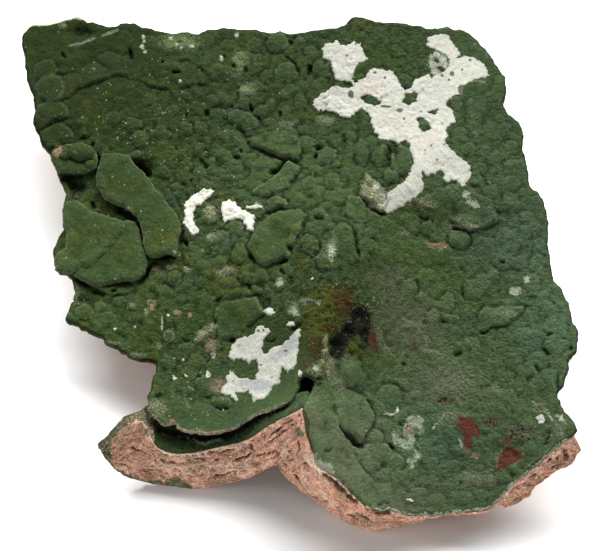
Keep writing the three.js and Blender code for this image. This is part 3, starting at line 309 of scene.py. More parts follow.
# White calcite coatings (u, v): outlines, and the bare spots inside the largest one.
COAT_BACK_RIGHT = [
    (326, 44), (332, 42), (338, 41.5), (342, 45), (347, 47), (352, 41), (360, 42), (364, 49), (366, 58), (361, 62), (357, 64),
    (356, 71), (352, 78), (353, 82), (358, 80), (364, 76), (370, 70), (377, 67), (385, 68), (392, 70), (397, 74), (398, 82),
    (401, 87), (406, 89), (411, 86), (415, 80), (421, 77), (427, 74.5), (434, 74.5), (441, 73), (447, 70), (449.5, 64), (448.5, 58),
    (444, 54), (437, 51), (430, 48), (426.5, 44), (429, 37),
    (434, 34), (441, 32.5), (448, 34), (452, 41), (456, 49), (460, 53), (457, 58), (463, 57), (469, 55), (476, 57), (482, 62),
    (488, 70), (490, 75), (484, 77), (476, 79), (468, 81), (463, 86), (462, 93), (457, 95), (452, 97), (447, 99), (446, 105),
    (452, 110), (455, 114), (454, 121), (449, 126), (446, 133), (446, 141), (450, 149), (456, 154), (463, 160), (470, 167),
    (472, 174), (468, 181), (464, 186), (457, 183), (451, 180), (446, 182), (441, 178), (443, 173), (440, 170), (434, 172),
    (428, 175), (424, 171), (422, 178), (424, 186), (421, 193), (415, 198), (408, 203), (400, 208), (392, 212), (386, 212),
    (383, 206), (388, 199), (389, 192), (393, 188), (399, 184), (405, 180), (409, 173), (413, 165), (414, 158), (411, 150),
    (409, 144), (405, 139), (402, 142), (394, 141), (386, 140), (379, 137), (374, 131), (372, 124), (370, 117), (366, 111),
    (362, 108), (357, 113), (352, 118), (346, 117), (340, 115), (333, 112), (326, 110), (318, 110), (311, 107), (312, 101),
    (317, 96), (323, 92), (330, 88), (336, 86), (342, 87), (350, 87), (354, 85), (349, 81), (342, 81), (336, 79), (334, 72),
    (333, 65), (329, 60), (324, 55), (322, 48),
]
COAT_BARE_SPOTS = [
    [(361, 98), (366, 94.5), (371, 95), (377, 98), (381, 103), (376, 105), (370, 103), (364, 102)],
    [(403, 97), (407, 92), (413, 91.5), (418, 95), (417, 101), (411, 103.5), (404, 103)],
    [(417, 119), (422, 117.5), (428, 121), (430, 127), (425, 129.5), (420, 126)],
    [(429, 113), (433, 109), (438, 107), (437, 111), (432, 115)],
]
COAT_FRONT = [
    (229, 352.8), (230.5, 347.5), (232, 344.6), (235, 341), (238, 338.2), (242, 337.6), (245.4, 335.6), (249, 335), (252.8, 333), (254, 330.5), (255, 328),
    (257.6, 325.2), (261, 327), (263.4, 326.2), (266, 328.5), (269, 327.2), (270, 332), (267.5, 335), (265.8, 338), (263.8, 341), (264.5, 345.2), (262, 348),
    (262.5, 351.5), (266, 353), (269, 352.5), (270.5, 349), (273, 347), (278, 345.4), (281, 345.6), (284, 343.2), (287.5, 341.5), (290.5, 338), (294.4, 333),
    (298, 330.5), (301.6, 329.5), (302, 334), (300, 339), (298, 341.5), (299, 346), (299, 351), (297.6, 356), (296.6, 361), (295.6, 365), (294.6, 370.5),
    (292.5, 369), (290, 371.5), (288, 373.5), (286.2, 371), (283.5, 368.8), (281, 368), (280, 372), (280.8, 377), (281.3, 380.5), (277, 383.8), (273, 388), (269, 392.8), (264, 397.7),
    (260, 399.3), (256, 398.5), (252.5, 401), (250.5, 397), (249, 393.5), (246.5, 390), (243, 391.6), (239.7, 392.6), (236, 394), (235, 396.5), (238, 400), (236.4, 402.4),
    (232.5, 399), (229, 395), (224.5, 393.5), (221, 392), (222.5, 386), (225.5, 382), (226, 377), (229.5, 373.5), (230.3, 370), (232, 372), (234.6, 375.5), (238, 377.6), (243, 377.8),
    (248, 378.6), (252, 378.4), (256, 378), (255.6, 373.6), (257.8, 371), (258.4, 366.8), (257, 362), (253.6, 359.8), (250.5, 361.5), (248.6, 364.6), (246, 361.4),
    (241.3, 359.6), (236, 360), (231.8, 361.4), (230, 357.5),
]
COAT_CRESCENT = [
    (213, 188.5), (211, 194), (208, 198), (203, 204), (197, 205), (193, 211), (193, 219), (196, 226), (198, 232), (195, 237),
    (190, 233), (185, 227), (183, 218), (184, 209), (183, 203), (188, 198), (195, 193), (203, 190), (209, 189),
]
COAT_CENTRE = [
    (220, 202), (228, 199), (236, 202), (241, 208), (246, 212), (252, 213), (256, 218), (254, 224), (252, 230), (247, 227),
    (243, 221), (237, 218), (230, 221), (224, 223), (221, 216), (220, 209),
]
# Bare spots too small to cut out: u, v, half width, half height.
COAT_SPOTS = [
    (351, 94.5, 2.8, 3.8), (399.5, 111, 3.2, 2.0), (386, 107, 5.5, 1.3), (452, 74, 2.3, 2.4), (431.5, 77, 1.5, 2.0), (470, 60.5, 1.5, 1.2), (375, 73, 1.7, 1.2),
    (385, 78, 1.4, 1.2), (449, 80, 1.3, 1.2), (462, 70, 1.2, 1.2), (461, 90, 3.0, 5.0), (457, 97, 3, 2), (442, 76, 1.6, 1.3), (356, 44, 1.4, 1.2), (347, 56, 1.2, 1.0),
    (362, 64, 1.6, 1.2), (421, 112, 1.2, 1.0), (404, 119, 1.2, 1.2), (431, 146, 1.2, 1.0), (437, 160, 1.3, 1.0), (425, 151, 1.0, 1.0), (444, 145, 1.0, 1.0),
    (261.2, 365, 1.6, 0.9), (233.5, 381.5, 0.9, 0.7), (239.3, 345.2, 0.8, 0.6), (272, 377.5, 1.2, 0.7), (286, 351, 2.2, 1.0), (254.5, 397.6, 1.4, 0.6), (259, 331, 1.6, 1.2),
    (264, 330.5, 1.0, 1.2), (244, 389, 1.0, 0.8),
]
# Warm and grey patches of the coats: u, v, half width, half height, warmth from -1 to 1. The grey patches low on the
# front coat are partly painted shade in its hollows.
COAT_SHADES = [
    (366, 88, 18, 14, 0.9), (345, 97, 14, 9, -0.5), (322, 101, 12, 8, -0.3), (390, 122, 20, 16, 0.6), (420, 100, 16, 12, 0.2), (425, 140, 16, 16, 0.9),
    (445, 168, 16, 12, -0.2), (345, 58, 12, 12, 0.4), (460, 70, 16, 9, 0.1), (440, 45, 12, 12, 0.1), (402, 192, 12, 12, -0.35), (245, 346, 16, 9, 0.25), (284, 352, 9, 5, -1.0), (290, 345, 7, 6, -0.8),
    (276, 360, 8, 5, -0.7), (250, 384, 17, 5, -1.3), (268, 371, 9, 6, 0.5), (262, 387, 10, 6, -0.9), (294, 338, 5, 5, -0.9),
]
# Small isolated flecks of the same coating: u, v, half width, half height.
FLECKS = [
    (270.8, 310.5, 5.5, 3.6), (290.6, 324.5, 3.6, 2.0), (254, 206, 7, 2.2), (313, 280.5, 1.3, 1.3), (540.6, 418.6, 4.5, 3.6),
    (562.5, 417.5, 2.0, 3.4), (409.7, 499.8, 3.0, 1.8), (385.5, 413.8, 1.8, 1.0), (391, 413.8, 3.2, 1.0), (397.5, 410, 1.2, 2.6),
    (364.5, 431.5, 1.2, 2.0), (174, 376, 2.1, 2.6), (207.6, 373.8, 1.9, 2.5), (183.7, 359, 1.2, 1.2), (223.8, 409.4, 1.9, 1.3), (299.2, 372.2, 1.9, 3.0),
    (174, 357.8, 1.1, 1.0), (172.2, 364.5, 1.3, 1.2), (168.4, 315.5, 1.2, 1.2), (186.7, 375, 1.7, 1.0), (114.2, 328.2, 1.3, 1.2), (134.5, 326.5, 1.0, 1.0),
]

# Relief of the crust. Everything below is in picture coordinates with heights in mm.
# Broad mounds and hollows: u, v, half width, half height, mm.
MOUNDS = [
    (325, 305, 36, 34, 0.9), (348, 255, 16, 26, 0.5), (250, 318, 26, 18, 0.35), (81, 31, 12, 6, -0.9), (75, 186, 10, 12, -1.5),
    (440, 232, 40, 10, -0.35), (502, 213, 9, 3, -0.4), (510, 452, 16, 9, -0.5), (493, 395, 9, 7, 0.5), (535, 345, 22, 14, 0.35),
    (197, 398, 14, 8, -0.4), (512, 292, 12, 8, -0.5), (86, 300, 14, 8, -0.3), (350, 372, 13, 14, 0.5), (360, 315, 7, 8, -1.3), (366, 336, 5, 11, -0.8),
    (336, 344, 5.5, 8, -1.5), (347, 331, 6, 6, -1.0), (319, 380, 4, 2, -0.6), (352, 349, 8, 6, 0.5),
    (326, 343, 2.4, 5, 0.45), (326, 354, 2.4, 5, 0.5), (328.5, 364, 3, 5, 0.5), (331.5, 374, 3.6, 5, 0.5), (335, 384, 4, 5, 0.45), (316, 371, 4, 4, 0.5), (321, 364, 2.4, 3, 0.4),
    (130, 55, 4, 6, -0.5), (142, 168, 8, 7, -1.8), (395, 150, 5, 12, -0.8), (472, 206, 16, 12, 0.25), (450, 196, 22, 12, 0.3),
    (548, 438, 4, 8, -0.5), (40, 88, 10, 8, 0.3), (58, 58, 20, 10, 0.3), (300, 240, 10, 12, 0.3), (232, 150, 20, 16, 0.25),
    (210, 66, 40, 10, 0.3), (395, 55, 30, 20, -0.25), (440, 150, 16, 20, 0.4), (545, 300, 12, 12, 0.4), (318, 230, 14, 10, 0.25),
]
# Round growths: u, v, half width, half height, mm, tilt in degrees.
DOMES = [
    (51, 88, 15, 13.5, 0.75, 0), (52, 112, 17, 11, 0.6, 0), (57, 133, 17, 10, 0.6, 0), (46, 70, 12, 9, 0.5, 0), (69, 60, 8, 6, 0.35, 0),
    (82.5, 122.4, 5.5, 5, 0.35, 0), (135, 126, 8, 8.5, 0.6, 0), (140, 140, 9, 7.5, 0.7, 0), (137, 154, 6.5, 5, 0.6, 0),
    (160, 134, 9, 7, 0.45, 20), (173, 111, 7, 6, 0.35, 0), (120, 99, 6, 5, 0.3, 0), (114, 118, 7, 8, 0.4, 0), (150, 100, 7, 6, 0.3, 0),
    (199, 149, 5, 7, 0.5, 20), (186, 128, 7, 6, 0.35, 0), (185, 95, 7, 5, 0.3, 0), (200, 128, 6, 6, 0.4, 0), (212, 100, 7, 6, 0.4, 0),
    (277.8, 42, 11.5, 10, 0.95, 0), (246, 56.5, 10, 5, 0.6, 15), (254.8, 67.6, 5.5, 6.5, 0.65, 0), (286.7, 73, 11.5, 10, 0.7, 0),
    (253, 45, 8, 8, 0.4, 0), (299, 44, 7, 7, 0.45, 0), (230, 44, 9, 6, 0.3, 0), (218, 68, 7, 6, 0.35, 0), (236, 77, 7, 5, 0.4, 0),
    (266, 76, 6, 6, 0.45, 0), (244.6, 91.8, 8, 6, 0.7, 10), (281.6, 94.4, 4, 4.5, 0.4, 0), (243, 121, 15.5, 9.5, 0.8, 12),
    (259, 85, 9, 5, 0.45, 25), (243, 104, 6, 7, 0.5, 0), (262, 110, 6, 7, 0.5, 0), (270, 104, 6, 7, 0.4, 0), (290, 90, 8, 6, 0.4, 0),
    (301, 102, 7, 9, 0.45, 0), (286, 109, 5, 5, 0.4, 0), (218, 114, 9, 7, 0.4, 0), (222, 97, 7, 6, 0.35, 0), (320, 70, 9, 9, 0.45, 0),
    (312, 53, 8, 7, 0.3, 0), (322, 95, 7, 6, 0.3, 0), (320, 84, 9, 8, 0.4, 0), (302, 88, 8, 7, 0.35, 0), (270, 122, 8, 6, 0.4, 15),
    (277, 129, 9, 5, 0.4, -20), (289, 135.5, 9.5, 9, 0.55, 0), (305, 143, 7.5, 8, 0.5, 0), (302, 129, 6, 5, 0.35, 0),
    (323, 122, 10, 7, 0.35, 0), (334, 139.5, 6.5, 5.5, 0.5, 0), (326.3, 154.5, 10.5, 8, 0.8, -15), (346, 128, 10, 8, 0.35, 0),
    (352, 138, 6, 8, 0.4, 0), (316, 168, 7, 5, 0.35, 0), (362, 152, 7, 13, 0.5, 0), (364.5, 116, 4.5, 9, 0.6, 0),
    (381, 156, 9, 11.5, 1.25, 15), (401, 160, 10.5, 15, 1.1, 0), (391, 176, 7, 7, 0.7, 0), (372, 143, 6, 7, 0.4, 0),
    (406, 81, 7.5, 8, 0.7, 0), (411, 97.5, 6.5, 5.5, 0.5, 0), (424, 123, 5.5, 5.5, 0.5, 0), (371, 99.5, 9, 4.5, 0.4, 15),
    (511, 146.7, 7.5, 7.5, 0.75, 0), (473.8, 118, 8, 20, 0.55, -8), (456, 104, 6, 6, 0.4, 0), (481, 103, 6, 9, 0.35, 0),
    (459, 136, 8, 9, 0.4, 0), (492, 96, 9, 6, 0.35, 0), (500, 84, 7, 8, 0.35, 0), (490, 130, 8, 9, 0.35, 0), (505, 128, 8, 7, 0.35, 0),
    (483, 150, 8, 7, 0.35, 0), (496, 158, 8, 7, 0.35, 0), (512, 164, 8, 6, 0.35, 0), (480, 167, 8, 5, 0.35, 0), (468, 149, 8, 7, 0.4, 0),
    (477.5, 181, 7.5, 6.5, 0.5, 0), (511.8, 182.4, 9, 8, 0.45, 0), (510.5, 199, 9, 7, 0.45, 0), (526, 218, 8, 7, 0.5, 0),
    (525, 231, 6.5, 7, 0.45, 0), (534, 226, 7, 8, 0.35, 0), (505, 235, 8, 8, 0.4, 0), (500, 181, 6, 6, 0.35, 0), (492, 190, 8, 7, 0.35, 0),
    (276.5, 202, 10.5, 6, 0.85, 5), (239, 253, 8, 9.5, 0.65, -15), (309.7, 244, 9.5, 9.5, 0.8, 0), (309.7, 227.6, 5.5, 4.5, 0.45, 0),
    (318.6, 213.6, 8.5, 4.5, 0.6, 10), (358, 230, 5.5, 5.5, 0.45, 0), (368.4, 232.7, 6.5, 6, 0.45, 0), (367, 247, 10.5, 9, 0.6, 0),
    (363.3, 259.8, 5.5, 5, 0.5, 0), (332, 227, 5, 5, 0.4, 0), (297, 233, 6, 7, 0.35, 0), (293, 245, 6, 8, 0.35, 0),
    (330, 196, 7, 6, 0.3, 0), (318, 190, 7, 6, 0.3, 0), (345, 195, 8, 7, 0.3, 0), (346, 211, 6, 5, 0.3, 0), (309, 181, 8, 6, 0.35, 0),
    (332, 178, 8, 6, 0.3, 0), (300, 197, 7, 5, 0.3, 0), (223, 237, 7, 7, 0.5, 0), (235, 228, 9, 7, 0.55, 0), (213, 239, 8.5, 6, 0.7, 15),
    (209, 216, 8, 9, 0.6, 0), (218, 262, 8, 6, 0.35, 0), (229, 270, 8, 5, 0.4, 0), (228, 282, 7, 5, 0.4, 0), (246, 278.6, 9.5, 6, 0.6, 0),
    (268.9, 292.7, 6.5, 5.5, 0.5, 0), (262, 275, 6, 6, 0.4, 0), (276, 276, 6, 5, 0.4, 0), (283, 286, 6, 8, 0.4, -20), (287, 270, 5, 7, 0.3, 0),
    (255, 290, 7, 5, 0.4, 0), (240, 292, 9, 4.5, 0.35, 0), (258, 306, 6, 4, 0.3, 0), (277, 300, 6, 7, 0.35, 30), (287, 302, 5, 8, 0.35, 25),
    (83.8, 311.8, 9.5, 7.5, 0.55, 0), (99, 306.7, 7, 6, 0.45, 0), (97.8, 324.5, 5, 4.5, 0.3, 0), (109, 318, 7, 6, 0.35, 0),
    (120, 300, 7, 5, 0.3, 0), (135, 318, 8, 5, 0.25, 0), (130, 333, 8, 6, 0.25, 0), (174.3, 277.4, 7.5, 7.5, 0.65, 0),
    (160, 276, 6, 6, 0.45, 0), (188, 270, 5, 5, 0.4, 0), (163, 290, 10, 6, 0.35, 0), (187, 282, 6, 5, 0.35, 0), (152, 285, 7, 5, 0.35, 0),
    (192, 258, 8, 7, 0.35, 0), (203, 265, 7, 6, 0.3, 0), (198, 250, 7, 5, 0.3, 0), (188, 234, 7, 8, 0.35, 0), (205, 300, 8, 6, 0.35, 0),
    (193, 297, 6, 6, 0.3, 0), (180, 300, 6, 4, 0.3, 0), (169, 337, 6, 6, 0.4, 0), (201, 338, 8, 7, 0.45, 0), (187, 348, 8, 6, 0.35, 0),
    (213, 346, 7, 7, 0.4, 0), (222.6, 402, 10.5, 6.5, 0.8, 0), (206, 384, 9, 8, 0.45, 0), (190, 374, 9, 7, 0.35, 0), (178, 384, 8, 7, 0.35, 0),
    (196, 362, 9, 8, 0.35, 0), (214, 366, 8, 8, 0.35, 0), (169, 362, 7, 8, 0.3, 0), (216, 392, 6, 5, 0.4, 0), (188, 391, 8, 5, 0.3, 0),
    (459, 239, 11.5, 10.5, 0.95, 0), (428.8, 228.5, 9, 8, 0.55, 0), (438, 234, 9, 8, 0.55, 0), (447, 229, 7, 7, 0.5, 0),
    (406, 218, 8, 6, 0.3, 0), (414, 228, 7, 8, 0.35, 0), (493.4, 276, 7, 6.5, 0.6, 0), (501.3, 257.5, 6, 5.5, 0.55, 0),
    (472.3, 289.2, 10.5, 10.5, 0.55, 0), (484, 283, 8, 9, 0.45, 0), (531.6, 284, 9, 11, 0.6, 0), (517, 292, 9, 7, 0.45, 0),
    (447.2, 302.4, 7, 8.5, 0.7, 0), (432.7, 317, 6.5, 8, 0.65, 0), (449.9, 317.5, 8.5, 4.5, 0.5, 0), (437, 305, 7, 5, 0.4, 0),
    (408, 286, 8, 9, 0.3, 0), (427, 276, 10, 9, 0.3, 0), (437, 289, 8, 8, 0.3, 0), (421, 297, 7, 6, 0.3, 0), (457, 262, 8, 7, 0.35, 0),
    (513, 240, 8, 10, 0.4, 0), (489, 243, 7, 6, 0.3, 0), (519, 262, 9, 8, 0.35, 0), (537, 262, 8, 9, 0.35, 0), (540, 245, 6, 8, 0.35, 0),
    (541, 299, 7, 8, 0.45, 0), (549, 312, 8, 8, 0.45, 0), (532, 312, 8, 7, 0.4, 0), (556, 326, 13, 12, 0.6, 30), (556, 347, 12, 8, 0.5, -20),
    (541, 360, 12, 8, 0.5, 0), (527, 370, 11, 8, 0.45, 0), (548, 375, 9, 8, 0.45, 0), (513, 361, 9, 8, 0.35, 0), (522, 335, 10, 8, 0.35, 0),
    (536, 385, 9, 7, 0.35, 0), (553, 392, 6, 9, 0.3, 0), (475, 345, 7, 6, 0.4, 0), (494, 363, 10, 7, 0.25, 0), (469, 341, 6, 6, 0.35, 0),
    (352, 372, 11, 15, 0.55, -20), (342, 366, 7, 10, 0.35, 0), (358, 402, 8, 7, 0.4, 0), (366, 396, 5, 5, 0.3, 0), (341, 390, 4, 4, 0.4, 0),
    (375.3, 437.3, 7.5, 8.5, 0.75, 0), (379, 452.6, 15.5, 9.5, 0.65, 12), (395, 462, 12, 9, 0.45, 20), (372, 463, 9, 10, 0.4, 0),
    (386, 474, 9, 7, 0.35, 0), (398, 478, 10, 6, 0.35, 0), (411, 474, 9, 7, 0.3, 0), (430, 461, 9, 8, 0.35, 0), (424, 447, 7, 8, 0.3, 0),
    (438, 452, 9, 7, 0.25, 0), (430, 482, 12, 7, 0.3, 0), (398, 415, 5, 6, 0.4, 0), (385, 425, 9, 8, 0.25, 0), (380, 408, 7, 8, 0.3, 0),
    (389, 395, 12, 10, 0.3, 0), (412, 397, 9, 6, 0.3, 0), (425, 407, 12, 6, 0.3, 20), (453, 466, 9, 7, 0.3, 0), (470, 478, 10, 8, 0.3, 0),
    (461, 497, 11, 7, 0.35, 0), (481, 495, 10, 7, 0.35, 0), (489, 482, 8, 8, 0.4, 0), (504, 477, 9, 8, 0.55, 0), (515, 468, 6, 5, 0.35, 0),
    (445, 487, 9, 6, 0.3, 0), (436, 500, 10, 5, 0.3, 0), (417, 492, 8, 5, 0.3, 0), (459, 450, 8, 6, 0.3, 0), (493, 437, 7, 6, 0.35, 0),
    (528, 425, 9, 7, 0.3, 0), (530, 446, 9, 7, 0.35, 0), (541, 428, 6, 7, 0.35, 0), (486, 404, 8, 5, 0.25, 0), (471, 403, 7, 5, 0.25, 0),
    (459, 403, 6, 5, 0.3, 0), (507, 397, 10, 8, 0.3, 0), (520, 410, 8, 6, 0.25, 0), (171, 66, 9, 6, 0.3, 0), (108, 58, 12, 7, 0.25, 0),
    (95, 70, 12, 6, 0.3, 0), (88, 106, 7, 6, 0.25, 0), (73, 82, 10, 8, 0.35, 0), (206, 40, 9, 6, 0.3, 0), (150, 41, 8, 6, 0.3, 0),
    (125, 38, 8, 9, 0.35, 0), (338, 30, 8, 5, 0.3, 0), (358, 26, 8, 6, 0.35, 0), (380, 34, 9, 7, 0.25, 0), (410, 42, 10, 8, 0.2, 0),
    (220, 175, 7, 7, 0.35, 0), (236, 168, 8, 6, 0.4, 0), (248, 160, 9, 7, 0.4, 0), (262, 163, 9, 6, 0.5, -15), (225, 158, 7, 7, 0.35, 0),
    (212, 165, 6, 8, 0.35, 0), (200, 172, 7, 6, 0.35, 0), (180, 155, 7, 7, 0.35, 0), (170, 150, 6, 6, 0.3, 0), (186, 175, 6, 7, 0.35, 0),
    (166, 172, 7, 6, 0.3, 0), (243, 146, 8, 5, 0.4, 25), (228, 137, 8, 7, 0.35, 0), (206, 185, 7, 6, 0.3, 0), (177, 186, 6, 5, 0.25, 0),
]
# Flat-topped plates with a distinct edge: outline, mm, edge width in px, how much rougher growth shows on top, groove mm.
PLATES = [
    ([(281.6, 210), (271.4, 212.6), (262.5, 218.7), (254.8, 228.9), (251, 236.5), (247.2, 248), (250, 255), (255.6, 261),
      (262.2, 265.6), (271.4, 264), (279, 261.8), (288, 259), (291.6, 248), (297, 236.5), (302, 226), (308, 216), (300.5, 208.5),
      (290, 208.7)], 0.85, 5.0, 0.12, 0.5),
    ([(214, 311.8), (221.7, 302.9), (238.3, 300.3), (254.8, 296.5), (262.5, 306.7), (263.8, 313), (253.6, 323.3), (248.5, 325.8),
      (238.3, 334.7), (225.5, 339.8), (217.9, 336), (214, 319.4)], 0.65, 4.5, 0.25, 0.4),
    ([(340, 221), (350.5, 229), (355.6, 241.6), (357, 259.5), (353, 264.6), (338, 270), (320, 272), (318, 262), (326, 250),
      (331, 236)], 0.75, 5.0, 0.3, 0.3),
    ([(359.4, 197), (367, 208), (367.5, 222), (360, 226), (348, 216), (346, 204), (351, 197)], 0.6, 4.0, 0.4, 0.3),
    ([(359.4, 197), (366, 204), (375, 210), (383.7, 212), (386, 203), (388.8, 193), (378, 183), (365.8, 173), (358, 182)], 1.1, 4.0, 0.35, 0.5),
    ([(477.5, 331), (476, 323.4), (477.5, 314.2), (484, 307.6), (498.6, 306.3), (511.8, 305), (524, 305), (522.4, 311.6), (515.8, 318.2),
      (506.5, 324.8), (498.6, 326), (489.4, 326.5), (484, 331.3)], 0.75, 4.0, 0.3, 0.4),
    ([(333, 391), (340, 388), (352, 392), (362, 395), (369, 404), (374, 415.7), (371.4, 429.7), (366.3, 437.3), (362.5, 446),
      (352.3, 435.5), (342, 428), (336, 412)], 0.8, 4.5, 0.3, 0.7),
    ([(338, 384), (337, 370), (340, 357), (352, 352), (361, 362), (360, 378), (352, 389), (344, 390)], 0.4, 5.0, 0.12, 0.3),
    ([(285, 159), (297, 160), (302, 150), (299, 138), (283, 130), (262, 134), (247, 138), (238, 128), (243, 136), (253, 147),
      (268.9, 154.5), (281.6, 158)], 0.8, 5.0, 0.35, 0.7),
    ([(251, 192), (262, 184), (273, 178), (282, 170), (288, 160), (298, 166), (296, 176), (289, 185), (280, 190), (262, 197)], 0.6, 5, 0.25, 0.4),
    ([(413, 200), (423, 196), (436, 190), (450, 184), (462, 185), (472, 187), (480, 193), (490, 198), (493, 207), (499, 214), (498.6, 223),
      (488, 228), (478.9, 232), (467, 231), (456.4, 227), (448.5, 222), (435.4, 216.5), (423.5, 212.4), (416, 207)], 0.5, 7.0, 0.6, 0.0),
]
# Open edges of overlapping layers: the high side is on the left of the line as drawn, seen from above.
# Line, mm, how far the step reaches back in px, groove mm.
LEDGES = [
    ([(172, 87.5), (163, 88), (155, 88), (147.5, 85), (142.4, 81.6), (135, 79), (128.4, 76.5), (118, 75.5), (109, 77), (96.5, 83), (88, 86),
      (78, 90), (71, 96), (64.6, 98.5), (58, 102), (43, 102)], -0.75, 22, 0.55),
    ([(216, 88), (206, 85), (198.6, 84), (186, 85), (177, 87)], -0.5, 16, 0.45),
    ([(77, 117), (70, 117), (62, 118.6), (56, 120), (49, 124), (39, 127)], -0.6, 16, 0.45),
    ([(88, 136), (77, 138), (71, 141.6), (62, 144), (53, 147), (45, 149)], -0.9, 16, 0.6),
    ([(116, 30), (102, 36), (94, 38.8), (81, 44), (69.7, 46)], 0.7, 14, 0.3),
    ([(166, 61), (173, 60.5), (186, 61), (196, 65), (203.7, 69), (208.8, 75)], 0.5, 12, 0.5),
    ([(72, 74), (64, 75), (56, 72)], -0.35, 8, 0.4),
    ([(121, 134), (109, 134.5), (103.5, 126), (103, 112), (107, 108)], -0.35, 10, 0.5),
    ([(208.8, 168), (196, 159), (190, 148)], -0.45, 9, 0.6),
    ([(376.5, 486), (371.4, 479.4), (363.8, 469.2), (354.8, 459), (351, 451.4), (344.6, 442.4), (339.5, 427), (338.5, 409)], 0.95, 30, 0.35),
    ([(427.4, 345), (426, 338), (420.9, 331), (414.3, 323.4), (401, 317)], 0.25, 14, 0.1),
    ([(391, 354), (385, 345), (381, 336), (378, 327)], 0.3, 14, 0.1),
    ([(446.7, 356), (435, 351), (422.4, 347)], 0.3, 12, 0.1),
    ([(406, 391.5), (399, 385), (391.8, 381), (384, 381), (378, 384)], -0.3, 12, 0.15),
    ([(548.7, 355), (543.4, 348), (546, 337), (552.7, 335)], -0.55, 10, 0.5),
    ([(538, 373), (533, 364.5)], 0.4, 8, 0.5),
    ([(533, 468), (524, 455), (512, 444.5), (500, 449)], -0.4, 12, 0.15),
    ([(264, 317), (270, 305), (280, 296), (290, 288), (297, 278), (298, 268)], -0.5, 12, 0.35),
    ([(160, 177), (167, 189), (173, 197), (179.4, 208.5), (183.5, 217), (183.5, 229), (178.5, 239)], -0.55, 10, 0.4),
    ([(83, 281), (91.4, 285), (99, 288), (109, 293), (122, 294), (133, 290)], 0.8, 14, 0.7),
    ([(334, 440), (326, 447), (322, 456)], 0.2, 8, 0.3),
    ([(446, 212), (452, 221), (460, 227), (470, 230), (484, 229), (494, 226), (501, 221)], 0.5, 14, 0.5),
    ([(412, 201), (420, 206), (428, 209), (437, 212)], 0.4, 8, 0.4), ([(452, 217), (460, 219), (470, 222), (478, 222)], 0.25, 5, 0.3),
]
